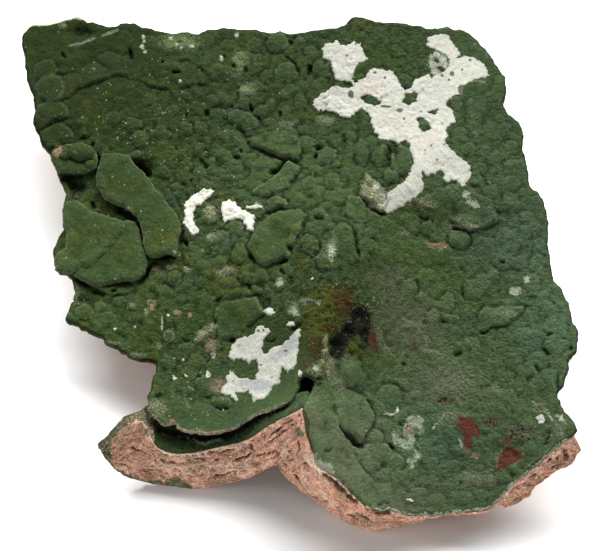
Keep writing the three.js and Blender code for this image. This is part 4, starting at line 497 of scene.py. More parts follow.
# Open cracks and gaps: line, half width in px, depth in mm.
CRACKS = [
    ([(67, 61), (63.4, 56), (60, 52)], 1.6, 1.0), ([(299.5, 76), (297, 67), (289, 57.5), (283, 54)], 1.3, 0.8), ([(263, 126), (259.5, 120), (256, 115)], 1.3, 0.8),
    ([(127, 48), (129.5, 53), (132, 59)], 1.8, 1.5), ([(120, 56), (127, 54)], 1.3, 0.7), ([(170, 74), (176, 72.5), (181, 71.5)], 1.6, 1.1),
    ([(161, 62), (164, 62)], 1.7, 0.9), ([(175, 43), (181, 44)], 1.3, 0.7), ([(203, 56), (206, 56)], 1.6, 0.9), ([(224, 53), (224, 58)], 1.7, 1.1),
    ([(291, 39), (290, 44)], 2.0, 1.0), ([(296, 34), (293, 38)], 1.8, 0.9), ([(244.6, 65), (245, 72)], 2.0, 1.1), ([(232, 62), (234, 68)], 1.8, 0.9),
    ([(308.5, 64), (308, 69), (307.5, 74)], 2.4, 1.5), ([(249, 102), (250, 108), (252.5, 113)], 1.5, 1.1), ([(236, 92), (239, 97)], 1.5, 0.8),
    ([(230, 109), (235, 107)], 1.6, 0.8), ([(206, 109), (207, 118)], 2.0, 1.2), ([(280, 110), (280, 116)], 1.9, 1.1),
    ([(189, 112), (188, 118)], 1.4, 0.6), ([(238, 127), (243.4, 135), (253.6, 146.7)], 1.5, 0.8),
    ([(253.6, 146.7), (268.9, 154.3), (281.6, 158), (285, 159.5)], 1.6, 1.2), ([(285, 159.5), (281.6, 165.8), (276.5, 171), (267, 173.5)], 2.2, 1.7),
    ([(313, 149), (316, 148), (319, 146.5)], 2.4, 1.3), ([(314, 158), (316, 152)], 2.0, 1.0), ([(344, 134), (345, 142)], 1.8, 0.9),
    ([(389.6, 142.9), (388.4, 153), (389.6, 162), (382, 168.4)], 2.2, 1.8), ([(366, 168), (369, 170)], 2.2, 1.3), ([(239, 148), (241, 155)], 1.6, 1.0),
    ([(232, 158), (241, 160)], 1.4, 0.6), ([(198, 158), (204, 163), (209, 168)], 1.7, 1.0), ([(296.5, 172), (293, 178), (289, 183)], 1.5, 1.0),
    ([(260, 212), (270, 211), (279, 208.5), (284, 205)], 1.6, 1.1), ([(253, 223), (259, 218), (263, 212)], 1.7, 1.1),
    ([(248, 252), (251, 258), (257, 264)], 2.2, 1.4), ([(279, 263), (284, 260.5), (288.5, 259)], 1.7, 1.2), ([(290, 246), (290, 252)], 1.5, 1.0),
    ([(319, 243), (318, 250), (313, 256), (307, 256)], 1.8, 1.3), ([(312, 218), (318, 220), (325, 218)], 1.5, 0.9),
    ([(352, 231), (354, 236), (356, 244), (357.5, 258)], 1.8, 1.3), ([(361, 197), (368, 204), (374, 209), (382, 214), (388, 213)], 1.9, 1.3),
    ([(183, 239), (188, 247)], 1.7, 1.2), ([(246, 286), (250, 289)], 1.8, 0.9), ([(281, 270), (286, 276)], 1.6, 0.8), ([(289, 283), (292, 276)], 1.5, 0.8),
    ([(222, 298), (214, 303)], 1.5, 0.8), ([(227, 339.5), (233, 338)], 2.2, 1.2), ([(303, 322), (296, 327), (290, 332)], 2.2, 1.2),
    ([(156, 397), (162, 393)], 1.8, 0.8), ([(214, 406), (220, 409), (229, 408)], 1.9, 1.0), ([(205, 397), (212, 397)], 1.6, 0.9),
    ([(415.6, 278.6), (418.2, 291.8), (414.3, 297)], 1.2, 0.8), ([(418, 216), (424, 218), (430, 217)], 1.6, 0.9), ([(432, 218), (433, 226)], 1.2, 0.6),
    ([(454, 228), (458, 229)], 1.8, 1.0), ([(470, 231), (469, 244), (464, 249)], 1.6, 0.9), ([(449, 246), (455, 249)], 1.8, 0.9),
    ([(428, 241), (441, 242)], 1.2, 0.5), ([(499, 263), (505, 264)], 1.6, 0.9), ([(463, 285), (463, 295), (466, 300)], 1.3, 0.8),
    ([(477, 332), (484, 332.5), (489, 328)], 1.6, 0.9), ([(425, 326), (424, 320)], 1.6, 0.8), ([(440, 320), (445, 322)], 1.5, 0.8),
    ([(452, 354), (458, 355), (464, 352)], 2.4, 0.9), ([(546, 335.5), (552.7, 334.5)], 1.5, 1.0), ([(543.5, 348.5), (548.7, 355)], 1.8, 1.2),
    ([(569, 345), (570, 352)], 2.2, 1.1), ([(534, 365), (535, 370), (538, 373)], 1.8, 1.2), ([(556, 372), (557, 384), (555.5, 394)], 2.4, 0.9),
    ([(339.5, 427), (345, 434), (352.3, 441), (360, 447.5), (366, 444)], 2.2, 1.6), ([(389, 444), (394, 450)], 1.6, 0.8),
    ([(323, 447.6), (329.3, 451.8), (334.4, 447.6)], 1.5, 0.7), ([(409, 450), (414, 452)], 2.0, 0.8), ([(459, 487), (461, 480)], 1.6, 0.9),
    ([(540.6, 438), (545, 434), (550, 431)], 1.3, 0.7), ([(545.5, 446), (549, 436)], 2.0, 0.9), ([(403, 363), (405, 366)], 1.4, 0.7),
    ([(376, 506), (383, 504), (391, 506.5)], 2.2, 0.9), ([(440, 399), (449, 401)], 3.0, 0.6), ([(345, 338), (352, 334), (358, 326)], 1.6, 0.5),
    ([(56, 180), (66, 176), (77, 178), (86, 174)], 4.5, 1.2), ([(70, 198), (78, 192), (86, 180)], 4.0, 1.2), ([(92.5, 200), (93.5, 208)], 2.2, 1.4),
    ([(134, 162), (141, 168), (150, 177)], 4.0, 1.7), ([(118, 207), (126, 212), (138, 219)], 3.2, 2.0), ([(138, 219), (141.6, 232), (143.5, 247)], 2.0, 1.6),
    ([(157, 260), (149, 270), (143, 279), (135, 283)], 2.6, 1.6), ([(72, 279), (84, 283), (98, 291), (108, 297)], 3.2, 1.2),
    ([(152, 259), (160, 257), (168, 255), (175, 258)], 1.7, 1.2), ([(183.5, 229), (180, 238), (182, 246)], 1.8, 1.1), ([(111, 291), (118, 289)], 1.7, 1.0),
    ([(97, 154), (99, 162), (95, 169)], 2.0, 1.2), ([(92, 143), (94, 149)], 1.8, 1.0), ([(329, 371), (333, 378)], 1.4, 0.4),
    ([(183, 340), (190, 341)], 1.5, 0.6), ([(216, 318), (214, 326)], 1.5, 0.7), ([(300, 372), (303, 378)], 1.6, 0.8), ([(262, 338), (270, 341), (280, 338)], 1.5, 0.5),
]
# Growth by region: u, v, amplitude of the small, middle and large grains in mm, and fine roughness.
GROWTH = [
    (100, 60, .06, .07, .10, .25), (60, 110, .05, .07, .12, .25), (40, 50, .06, .08, .12, .3), (200, 50, .11, .15, .15, .35), (270, 80, .11, .18, .25, .4),
    (150, 115, .15, .18, .16, .5), (230, 135, .14, .25, .28, .5), (330, 60, .16, .3, .2, .6), (400, 45, .16, .2, .1, .8), (490, 55, .06, .1, .1, .4),
    (500, 125, .13, .14, .14, .8), (130, 190, .1, .16, .2, .5), (220, 185, .2, .32, .25, .8), (330, 180, .14, .28, .35, .5), (470, 170, .15, .18, .18, .8),
    (520, 200, .13, .13, .12, .8), (105, 305, .1, .2, .3, .4), (180, 300, .18, .2, .16, .7), (240, 280, .12, .25, .35, .4), (325, 300, .26, .12, .05, 1.2),
    (390, 250, .12, .12, .14, .8), (450, 275, .12, .12, .18, .8), (530, 270, .12, .16, .22, .8), (400, 330, .12, .1, .12, .9), (470, 360, .13, .12, .14, 1.0),
    (540, 350, .12, .14, .22, .8), (180, 360, .17, .2, .16, .8), (215, 415, .03, .05, .1, .35), (280, 400, .03, .04, .06, .35), (310, 345, .06, .04, .04, .6),
    (340, 460, .04, .05, .1, .6), (312, 420, .04, .05, .08, .5), (375, 400, .08, .10, .2, .8), (440, 430, .09, .10, .2, .8), (420, 490, .1, .14, .2, .7),
    (500, 450, .14, .16, .2, .8), (540, 420, .12, .14, .2, .7), (360, 350, .16, .12, .15, .9), (270, 160, .12, .2, .3, .4),
]

# Coarsely granular growth: u, v, half width, half height.
DRUSE = [(318, 310, 19, 24), (340, 300, 16, 15), (331, 335, 10, 16), (350, 345, 14, 14), (372, 195, 9, 12), (381, 203, 8, 8), (364, 325, 8, 16), (410, 432, 12, 16)]

# Raised plates at the left, each a separate overhanging sheet.
PLATE_UPPER = [
    (103, 153), (109, 151.5), (116, 151), (123, 152), (129.7, 153), (135, 163), (143, 171), (151, 179), (155, 187), (160, 192), (166, 200),
    (172, 207), (178, 215), (182, 224), (182, 232), (178, 239), (180, 247), (177, 256), (171, 253.5), (168, 252.5), (161.6, 255),
    (152.7, 257.5), (147.6, 253.5), (144.5, 247), (143.4, 236.5), (141.5, 225), (138.5, 217), (134, 213.5), (130, 209), (124, 206),
    (118, 205), (111, 201), (104.5, 197.5), (101.6, 192), (97.5, 185.5), (97, 175), (100, 163),
]
PLATE_LOWER_TOP = [
    (65, 203), (72, 199.5), (79, 200), (87, 206.5), (93, 210), (99, 212), (106.7, 214.5), (114.4, 217), (121, 219.5), (124.6, 224),
    (124.6, 230), (122, 234), (114.4, 239), (109.3, 246.7), (101.6, 254.4), (91.4, 264.6), (81, 267), (71, 272.5), (63, 271.5),
    (56, 268), (55, 257), (60, 250), (66.5, 246), (66, 229), (64, 220), (63, 210),
]
PLATE_LOWER_BASE = [
    (118, 222), (128, 219.5), (134, 221), (138, 225), (140.5, 233), (142.5, 243), (145, 250), (147.3, 258), (147.5, 265), (145.5, 270.5),
    (141, 276.5), (135, 280.5), (128.4, 280), (119, 281.5), (109, 283.5), (100, 286), (91, 284.5), (82, 279.5), (73, 274.5), (78, 266),
    (88, 260), (97, 251), (104, 243), (110, 235), (116, 231),
]
SHELF = [
    (50.5, 154.5), (54, 149), (60, 145.5), (66, 143.5), (73, 142), (80, 141.5), (87, 143), (93, 147), (97, 153), (98.5, 160), (96, 166),
    (91, 170), (84, 171.5), (75, 172), (66, 172), (58.5, 171.5), (55.5, 166), (52.5, 160),
]
# Cracks in the broken front: line, half width in px, depth in mm.
WALL_CRACKS = [
    ([(262, 428.5), (272, 423), (281, 417.5), (290, 411.8), (298, 408.6), (304, 409)], 1.5, 0.25),
    ([(158, 460.5), (166, 462), (175, 462.5)], 1.7, 0.9), ([(207, 452.5), (222, 452.3), (236, 450)], 1.1, 0.6),
    ([(184, 459.5), (207, 458.7)], 0.9, 0.45), ([(213, 460.5), (219, 461)], 1.2, 0.6), ([(232, 460.5), (246, 458), (251, 454), (252, 449), (248, 442)], 1.1, 0.6),
    ([(209, 475.5), (223, 476), (240, 470.5)], 1.1, 0.6), ([(129, 447), (143, 452), (152, 458)], 1.3, 0.5), ([(118, 462), (136, 468), (158, 471)], 1.0, 0.4),
    ([(263, 446), (276, 437), (290, 427), (298, 421)], 0.9, 0.4), ([(268, 437), (280, 428), (294, 418.5)], 0.9, 0.4), ([(255, 457), (266, 452)], 0.9, 0.4),
    ([(306.5, 408), (308, 416), (304.5, 424), (305.5, 436), (309.5, 449), (316, 458)], 1.2, 0.8), ([(297, 441), (299.5, 449), (295, 456)], 1.0, 0.5),
    ([(301, 463), (311, 468.5)], 1.2, 0.7), ([(317, 472), (326, 476), (335, 483), (343, 491), (352, 499.6), (362, 507)], 3.0, 0.8),
    ([(360, 505), (372, 511), (381, 513)], 1.2, 0.7), ([(324, 501), (328, 503)], 1.5, 0.6), ([(393, 517), (402, 516)], 1.4, 0.8),
    ([(374, 513.5), (383, 512), (392, 513)], 2.6, 0.5), ([(357, 516), (364, 519), (373, 523)], 1.7, 0.5), ([(564, 455), (568, 457)], 1.8, 0.9), ([(545, 463), (552, 458)], 1.0, 0.4),
    ([(528, 478), (537, 474)], 1.1, 0.4), ([(512, 492), (520, 488)], 1.0, 0.4), ([(551, 468), (560, 464)], 1.1, 0.4), ([(335, 500), (345, 507)], 1.0, 0.4),
    ([(346, 514), (360, 520)], 1.0, 0.4), ([(283, 462), (288, 468)], 1.0, 0.4), ([(293, 474), (301, 482)], 1.0, 0.4),
]
WALL_PITS = [(175, 470, 3, 2, 0.4), (326, 502, 2.5, 2.5, 0.9), (566.5, 456, 2.4, 2.4, 1.1), (128, 458, 3, 2, 0.4), (146, 465, 3, 1.6, 0.4),
             (240, 466, 3, 2, 0.3), (275, 452, 3, 3, 0.4), (290, 452, 3, 3, 0.4), (307, 478, 3, 3, 0.4), (356, 515, 3, 2, 0.4), (538, 479, 3, 2, 0.4),
             (299, 415, 1.5, 1.5, 0.5), (204, 468, 3, 2, 0.3), (188, 480, 3, 2, 0.3)]
# Underside: x, y, z in mm, the arch and the two troughs seen at the front carried on to the back.
UNDERSIDE = [
    (-21, -31, -1.6), (-26, -27, 0.2), (-16, -31, -0.8), (-22, -24, 1.5), (14, -37, -2.2), (8, -31, 0.2), (20, -34, -0.8), (15, -28, 0.6),
    (-4, -22, 9.0), (-3, -14, 8.5), (-1, -4, 7.5), (-12, -20, 5.0), (5, -18, 5.0), (-30, -8, 4.4), (-36, 12, 5.0), (-14, -6, 4.2),
    (28, -24, 3.2), (36, -10, 6.0), (24, -8, 4.0), (38, 8, 6.0), (10, 8, 5.2), (-8, 14, 5.0), (-22, 12, 3.0), (30, 20, 3.5),
    (-30, 30, -1.8), (-24, 32, -1.2), (-34, 36, 2.0), (26, 32, -2.0), (32, 30, -1.2), (20, 34, -0.6), (0, 32, 4.5), (4, 20, 5.0),
    (-14, 30, 2.5), (14, 22, 3.5),
]


# ---------------------------------------------------------------------------------------------
# Distance fields in the picture plane
# ---------------------------------------------------------------------------------------------
def line_field(u, v, line):
    """Distance to an open line, side (positive on its left as drawn), and how far along it, 0 to 1."""
    best = np.full(u.shape, 1e9)
    side = np.zeros(u.shape)
    along = np.zeros(u.shape)
    seg = np.array(line, float)
    length = np.r_[0, np.cumsum(np.hypot(*np.diff(seg, axis=0).T))]
    for i in range(len(seg) - 1):
        du, dv = seg[i + 1] - seg[i]
        q2 = du * du + dv * dv + 1e-9
        pu, pv = u - seg[i, 0], v - seg[i, 1]
        t = np.clip((pu * du + pv * dv) / q2, 0, 1)
        d = np.hypot(pu - t * du, pv - t * dv)
        hit = d < best
        best = np.where(hit, d, best)
        side = np.where(hit, np.sign(pu * dv - pv * du), side)
        along = np.where(hit, (length[i] + t * math.sqrt(q2)) / length[-1], along)
    return best, side, along


def area_field(u, v, poly):
    """Signed distance to a closed outline, positive inside."""
    p = np.array(poly, float)
    d, _, _ = line_field(u, v, np.vstack([p, p[:1]]))
    return np.where(inside(u, v, p), d, -d)


def inside(px, py, poly):
    c = np.zeros(np.shape(px), bool)
    x0, y0 = poly[:, 0], poly[:, 1]
    x1, y1 = np.roll(x0, -1), np.roll(y0, -1)
    for i in range(len(poly)):
        if y0[i] == y1[i]:
            continue
        a = (y0[i] > py) != (y1[i] > py)
        c ^= a & (px < (x1[i] - x0[i]) * (py - y0[i]) / (y1[i] - y0[i]) + x0[i])
    return c


def near(u, v, pts, pad):
    p = np.array(pts, float)
    return np.flatnonzero((u > p[:, 0].min() - pad) & (u < p[:, 0].max() + pad) & (v > p[:, 1].min() - pad) & (v < p[:, 1].max() + pad))


def caps3(p, seed, rlo=0.45, rhi=0.85, keep=1.0):
    """Rounded growths round scattered centres in space, 0 at their foot and up to 1 at the top of the largest."""
    i = np.floor(p).astype(np.int64)
    best = np.zeros(len(p))
    own = np.zeros(len(p))
    for a in (-1, 0, 1):
        for b in (-1, 0, 1):
            for c in (-1, 0, 1):
                ix, iy, iz = i[:, 0] + a, i[:, 1] + b, i[:, 2] + c
                r = rlo + (rhi - rlo) * cell_hash(ix, iy, iz, seed + 3) ** 1.5
                d2 = ((p[:, 0] - ix - cell_hash(ix, iy, iz, seed)) ** 2 + (p[:, 1] - iy - cell_hash(ix, iy, iz, seed + 1)) ** 2
                      + (p[:, 2] - iz - cell_hash(ix, iy, iz, seed + 2)) ** 2)
                h = np.sqrt(np.maximum(r * r - d2, 0)) / rhi
                if keep < 1:
                    h = np.where(cell_hash(ix, iy, iz, seed + 4) < keep, h, 0)
                hit = h > best
                best = np.where(hit, h, best)
                own = np.where(hit, cell_hash(ix, iy, iz, seed + 5), own)
    return best, own


def by_region(u, v, table, spread):
    """Smooth blend of values given at scattered picture points."""
    t = np.array(table, float)
    out = np.zeros((len(u), t.shape[1] - 2))
    total = np.full(len(u), 1e-12)
    for row in t:
        w = np.exp(-((u - row[0]) ** 2 + (v - row[1]) ** 2) / (2 * spread * spread))
        w = w + 1e-6 / (1 + (u - row[0]) ** 2 + (v - row[1]) ** 2)
        total += w
        out += w[:, None] * row[2:]
    return out / total[:, None]


# ---------------------------------------------------------------------------------------------
# Relief of the crust
# ---------------------------------------------------------------------------------------------
def base_frame(x, y):
    """Point and outward normal of the smooth crust surface."""
    z = crust_base(x, y)
    e = 0.25
    gx = (crust_base(x + e, y) - z) / e
    gy = (crust_base(x, y + e) - z) / e
    n = np.c_[-gx, -gy, np.ones_like(z)]
    return np.c_[x, y, z], n / np.linalg.norm(n, axis=1)[:, None]


def relief(x, y):
    """Displaced crust surface with its masks."""
    p, n = base_frame(x, y)
    u0, v0 = to_plane(p[:, 0], p[:, 1], p[:, 2])
    u = u0 + 2.6 * fbm(p / 2.8, 2, 11) + 1.2 * fbm(p / 0.9, 2, 13)
    v = v0 + 2.6 * fbm(p / 2.8, 2, 12) + 1.2 * fbm(p / 0.9, 2, 14)
    grow = by_region(u, v, GROWTH, 24)
    calm = np.zeros(len(u))                 # 1 where no rougher growth shows
    h = np.zeros(len(u))
    for a, b, ru, rv, amount in MOUNDS:
        k = near(u, v, [(a, b)], 2.6 * max(ru, rv))
        h[k] += amount * np.exp(-((u[k] - a) / ru) ** 2 - ((v[k] - b) / rv) ** 2)
    vary = np.clip(0.75 + 1.3 * fbm(p / 3.6, 2, 15), 0.12, 1.25)
    crest = []
    for line, amount, reach, groove in LEDGES:
        k = near(u, v, line, reach * 2.5)
        if not len(k):
            continue
        d, side, t = line_field(u[k], v[k], line)
        side = side * np.sign(amount)
        fade = smooth(np.minimum(t, 1 - t) / 0.12 + 0.15)
        up = np.where(side > 0, smooth(d / 1.6 + 0.5), smooth(0.5 - d / 1.6))
        h[k] += fade * vary[k] * (0.60 * abs(amount) * up * np.exp(-d / reach) - 0.28 * groove * np.exp(-((d + side * 0.9) / 1.7) ** 2))
    for poly, amount, edge, rough, groove in PLATES:
        k = near(u, v, poly, 8)
        if not len(k):
            continue
        d = area_field(u[k], v[k], poly)
        e = 1 - np.clip(d / edge, 0, 1)
        m = smooth(d / 2.0 + 0.3)
        h[k] += vary[k] * (0.62 * amount * np.sqrt(np.maximum(1 - e ** 2.0, 0)) - 0.28 * groove * np.exp(-((d + 1.2) / 1.6) ** 2))
        calm[k] = np.maximum(calm[k], m * (1 - rough))
        crest.append((k, 0.7 * vary[k] * np.exp(-((d - 0.8) / 1.0) ** 2)))
    dome = np.zeros(len(u))
    foot = np.zeros(len(u))
    rim = np.zeros(len(u))
    for a, b, ru, rv, amount, tilt in DOMES:
        amount = amount * (0.6 if a > 470 else 0.75 if a > 395 else 0.9)
        k = near(u, v, [(a, b)], 1.5 * max(ru, rv))
        c, s = math.cos(math.radians(tilt)), math.sin(math.radians(tilt))
        du, dv = u[k] - a, v[k] - b
        d = np.sqrt(((du * c + dv * s) / ru) ** 2 + ((-du * s + dv * c) / rv) ** 2)
        cap = 0.62 * amount * np.maximum(1 - d * d, 0) ** 0.72
        dome[k] = np.maximum(dome[k], cap)
        calm[k] = np.maximum(calm[k], 0.45 * smooth((1.02 - d) / 0.3))
        foot[k] = np.maximum(foot[k], np.exp(-((d - 1.06) / 0.12) ** 2) * min(0.12, 0.12 * amount + 0.03))
        # A ring at each dome's edge, where the crust finish paints a highlight.
        rim[k] = np.maximum(rim[k], np.exp(-((d - 0.93) / 0.085) ** 2) * min(1.0, 1.6 * amount))
    foot *= 1 - smooth(dome / 0.2)
    for k, w in crest:
        rim[k] = np.maximum(rim[k], w)
    warp = p + 0.35 * np.c_[fbm(p / 1.5, 2, 21), fbm(p / 1.5, 2, 22), fbm(p / 1.5, 2, 23)]
    big, _ = caps3(warp / 3.3, 101, 0.4, 0.8)
    mid, mid_id = caps3(warp / 1.55, 201, 0.35, 0.8)
    small, small_id = caps3(warp / 0.82, 301, 0.35, 0.8)
    keep = 1 - calm
    h += dome - foot
    h += grow[:, 2] * (big - 0.4) * (1 - 0.9 * calm)
    broad = h.copy()
    h += grow[:, 1] * (mid - 0.4) * keep * 1.1
    h += grow[:, 0] * (small - 0.4) * (1 - 0.75 * calm)
    rough = fbm(p / 0.55, 3, 41, 0.6)
    h += 0.075 * grow[:, 3] * rough * (1 - 0.4 * calm)
    h += 0.16 * fbm(p / 5.0, 3, 51) + 0.10 * fbm(p / 1.3, 3, 52) * np.clip(grow[:, 3] / 0.7, 0.4, 1)
    druse = np.zeros(len(u))
    for a, b, ru, rv in DRUSE:
        k = near(u, v, [(a, b)], 2 * max(ru, rv))
        druse[k] = np.maximum(druse[k], smooth(1.9 - 1.2 * np.hypot((u[k] - a) / ru, (v[k] - b) / rv)))
    d1, d2, own = cells3(warp / 0.75, 331)
    h += druse * (0.45 * (own - 0.5) + 0.30 * fbm(p / 0.8, 3, 332))
    cut = np.zeros(len(u))
    for line, width, depth in CRACKS:
        k = near(u, v, line, 8)
        if not len(k):
            continue
        d, _, t = line_field(u[k], v[k], line)
        fade = smooth(np.minimum(t, 1 - t) / 0.32 + 0.12) * (0.6 if line[0][0] > 395 else 0.9)
        cut[k] = np.maximum(cut[k], 0.85 * depth * fade * np.minimum(1, vary[k] + 0.25) * np.exp(-(d / (0.85 * width)) ** 2))
    h -= cut
    q = p + n * h[:, None]
    ud, vd = to_plane(q[:, 0], q[:, 1], q[:, 2])
    return {"p": p, "n": n, "h": h, "u": ud + u - u0, "v": vd + v - v0, "u0": ud, "v0": vd, "rim": rim, "grow": grow, "calm": calm, "cut": cut, "mid": mid,
            "mid_id": mid_id, "small": small, "small_id": small_id, "rough": rough, "druse": druse, "broad": broad}


# ---------------------------------------------------------------------------------------------
# Mesh builders
# ---------------------------------------------------------------------------------------------
def resample(line, step, closed=True, jitter=0.0, seed=0):
    p = np.array(line, float)
    if closed:
        p = np.vstack([p, p[:1]])
    s = np.r_[0, np.cumsum(np.linalg.norm(np.diff(p[:, :2], axis=0), axis=1))]
    n = max(3, int(round(s[-1] / step)))
    t = np.linspace(0, s[-1], n + 1)
    out = np.stack([np.interp(t, s, p[:, k]) for k in range(p.shape[1])], 1)
    if closed:
        out = out[:-1]
    if jitter:
        q = np.c_[out[:, :2], np.zeros(len(out))]
        out[:, 0] += jitter * fbm(q / 0.7, 2, 900 + seed)
        out[:, 1] += jitter * fbm(q / 0.7, 2, 950 + seed)
    return out


def ccw(poly):
    x, y = poly[:, 0], poly[:, 1]
    area = np.sum(x * np.roll(y, -1) - np.roll(x, -1) * y)
    return poly if area > 0 else poly[::-1]


def edge_distance(x, y, poly):
    best = np.full(len(x), 1e9)
    a = poly
    b = np.roll(poly, -1, axis=0)
    for (ax, ay), (bx, by) in zip(a[:, :2], b[:, :2]):
        dx, dy = bx - ax, by - ay
        q = dx * dx + dy * dy + 1e-12
        t = np.clip(((x - ax) * dx + (y - ay) * dy) / q, 0, 1)
        np.minimum(best, (x - ax - t * dx) ** 2 + (y - ay - t * dy) ** 2, out=best)
    return np.sqrt(best)


def grid_inside(outline, holes, step, seed, margin=0.6):
    lo, hi = outline.min(0)[:2], outline.max(0)[:2]
    ys = np.arange(lo[1], hi[1], step * 0.866)
    xs = np.arange(lo[0], hi[0], step)
    gx, gy = np.meshgrid(xs, ys)
    gx = gx + (np.arange(len(ys)) % 2)[:, None] * step * 0.5
    x, y = gx.ravel(), gy.ravel()
    r = np.random.RandomState(seed)
    x = x + (r.rand(len(x)) - 0.5) * step * 0.12
    y = y + (r.rand(len(y)) - 0.5) * step * 0.12
    ok = inside(x, y, outline[:, :2])
    for hole in holes:
        ok &= ~inside(x, y, hole[:, :2])
    x, y = x[ok], y[ok]
    d = edge_distance(x, y, outline)
    for hole in holes:
        d = np.minimum(d, edge_distance(x, y, hole))
    k = d > margin * step
    return np.c_[x[k], y[k]]


def fill(loops, points):
    """Triangles over closed loops (the first is the outer one) and inner points, counter-clockwise."""
    pts = np.vstack([l[:, :2] for l in loops] + [points])
    edges = []
    start = 0
    for l in loops:
        n = len(l)
        edges += [(start + i, start + (i + 1) % n) for i in range(n)]
        start += n
    out = delaunay_2d_cdt([Vector((float(a), float(b))) for a, b in pts], edges, [], 0, 1e-7, False)
    if len(out[0]) != len(pts):
        extra = [tuple(round(c, 2) for c in q) for q in out[0][len(pts):]]
        raise SystemExit(f"outline crosses itself: {len(pts)} points became {len(out[0])}, near {extra[:4]}, loops {[len(l) for l in loops]}")
    f = np.array([t for t in out[2] if len(t) == 3], dtype=np.int64)
    c = pts[f].mean(1)
    ok = inside(c[:, 0], c[:, 1], loops[0][:, :2])
    for l in loops[1:]:
        ok &= ~inside(c[:, 0], c[:, 1], l[:, :2])
    f = f[ok]
    a, b, c = pts[f[:, 0]], pts[f[:, 1]], pts[f[:, 2]]
    s = (b[:, 0] - a[:, 0]) * (c[:, 1] - a[:, 1]) - (b[:, 1] - a[:, 1]) * (c[:, 0] - a[:, 0])
    f[s < 0] = f[s < 0][:, ::-1]
    f = f[np.abs(s) > 1e-10]
    return pts, f


def settled(ring):
    """Evens out a closed outline until it no longer crosses itself."""
    n = len(ring)
    for attempt in range(60):
        out = delaunay_2d_cdt([Vector((float(a), float(b))) for a, b in ring[:, :2]], [(i, (i + 1) % n) for i in range(n)], [], 0, 1e-7, False)
        if len(out[0]) == n:
            return ring
        bad = np.array([tuple(q) for q in out[0][n:]])
        reach = 0.5 + 0.12 * attempt
        d = np.hypot(ring[:, None, 0] - bad[:, 0], ring[:, None, 1] - bad[:, 1]).min(1)
        soft = 0.5 * ring + 0.25 * np.roll(ring, 1, axis=0) + 0.25 * np.roll(ring, -1, axis=0)
        ring = np.where((d < reach)[:, None], soft, ring)
    raise SystemExit("an outline still crosses itself")


def rim_edges(f):
    """Directed edges that have a face on their left only."""
    e = np.vstack([f[:, [0, 1]], f[:, [1, 2]], f[:, [2, 0]]])
    key = e[:, 0] * 10000000 + e[:, 1]
    back = e[:, 1] * 10000000 + e[:, 0]
    return e[~np.isin(key, back)]


def closed_sheet(loops, step, top, bottom, rows, seed, coarse=2.4, bulge=0.12, rough=0.08):
    """A sheet between two surfaces over one outline. top and bottom give points for x, y.
    Returns points, triangles and, per point, the part it belongs to: 0 top, 1 edge, 2 underside."""
    loops = [ccw(l[:, :2]) for l in loops]
    pts, f = fill(loops, grid_inside(loops[0], loops[1:], step, seed))
    nb = sum(len(l) for l in loops)
    upper = top(pts[:, 0], pts[:, 1])
    low_pts, g = fill(loops, grid_inside(loops[0], loops[1:], coarse, seed + 1, 0.5))
    lower = bottom(low_pts[:, 0], low_pts[:, 1])
    rim = rim_edges(f)
    out = np.zeros((nb, 2))
    for k, (a, b) in enumerate(rim):
        d = pts[b] - pts[a]
        nrm = np.array([d[1], -d[0]]) / (np.hypot(*d) + 1e-9)
        out[a] += nrm
        out[b] += nrm
    out /= np.linalg.norm(out, axis=1)[:, None] + 1e-9
    n = len(upper)
    rows_pts = []
    for r in range(1, rows):
        t = r / rows
        q = upper[:nb] * (1 - t) + lower[:nb] * t
        push = bulge * math.sin(math.pi * t) + rough * fbm(q / 0.5, 3, seed + 7)
        q = q.copy()
        q[:, 0] += out[:, 0] * push
        q[:, 1] += out[:, 1] * push
        rows_pts.append(q)
    verts = np.vstack([upper] + rows_pts + [lower])
    part = np.r_[np.zeros(n), np.ones(nb * (rows - 1)), np.full(len(lower), 2.0)]

    def at(r, i):
        if r == 0:
            return i
        if r == rows:
            return n + (rows - 1) * nb + i
        return n + (r - 1) * nb + i

    faces = [f]
    a, b = rim[:, 0], rim[:, 1]
    for r in range(rows):
        ta, tb, la, lb = at(r, a), at(r, b), at(r + 1, a), at(r + 1, b)
        faces.append(np.c_[la, lb, tb])
        faces.append(np.c_[la, tb, ta])
    faces.append(g[:, ::-1] + n + (rows - 1) * nb)
    return verts, np.vstack(faces), part


def smoothed(values, faces, count, times):
    e = np.vstack([faces[:, [0, 1]], faces[:, [1, 2]], faces[:, [2, 0]]])
    a = np.r_[e[:, 0], e[:, 1]]
    b = np.r_[e[:, 1], e[:, 0]]
    deg = np.bincount(a, minlength=count) + 1e-9
    out = values.copy()
    for _ in range(times):
        out = 0.4 * out + 0.6 * np.bincount(a, weights=out[b], minlength=count) / deg
    return out


def make_object(name, verts, faces, attributes=None, node=None, material=None):
    v = (verts + SHIFT) / 1000.0
    me = bpy.data.meshes.new(name)
    me.vertices.add(len(v))
    me.vertices.foreach_set("co", v.astype(np.float32).ravel())
    me.loops.add(len(faces) * 3)
    me.loops.foreach_set("vertex_index", faces.astype(np.int32).ravel())
    me.polygons.add(len(faces))
    me.polygons.foreach_set("loop_start", np.arange(0, len(faces) * 3, 3, dtype=np.int32))
    me.polygons.foreach_set("use_smooth", np.ones(len(faces), bool))
    for key, value in (attributes or {}).items():
        at = me.attributes.new(key, "FLOAT", "POINT")
        at.data.foreach_set("value", np.asarray(value, np.float32))
    me.update()
    me.validate()
    ob = bpy.data.objects.new(name, me)
    bpy.context.scene.collection.objects.link(ob)
    if material:
        me.materials.append(material)
    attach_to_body(ob, "root")
    if node:
        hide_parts(*([node] if isinstance(node, str) else node))
    return ob


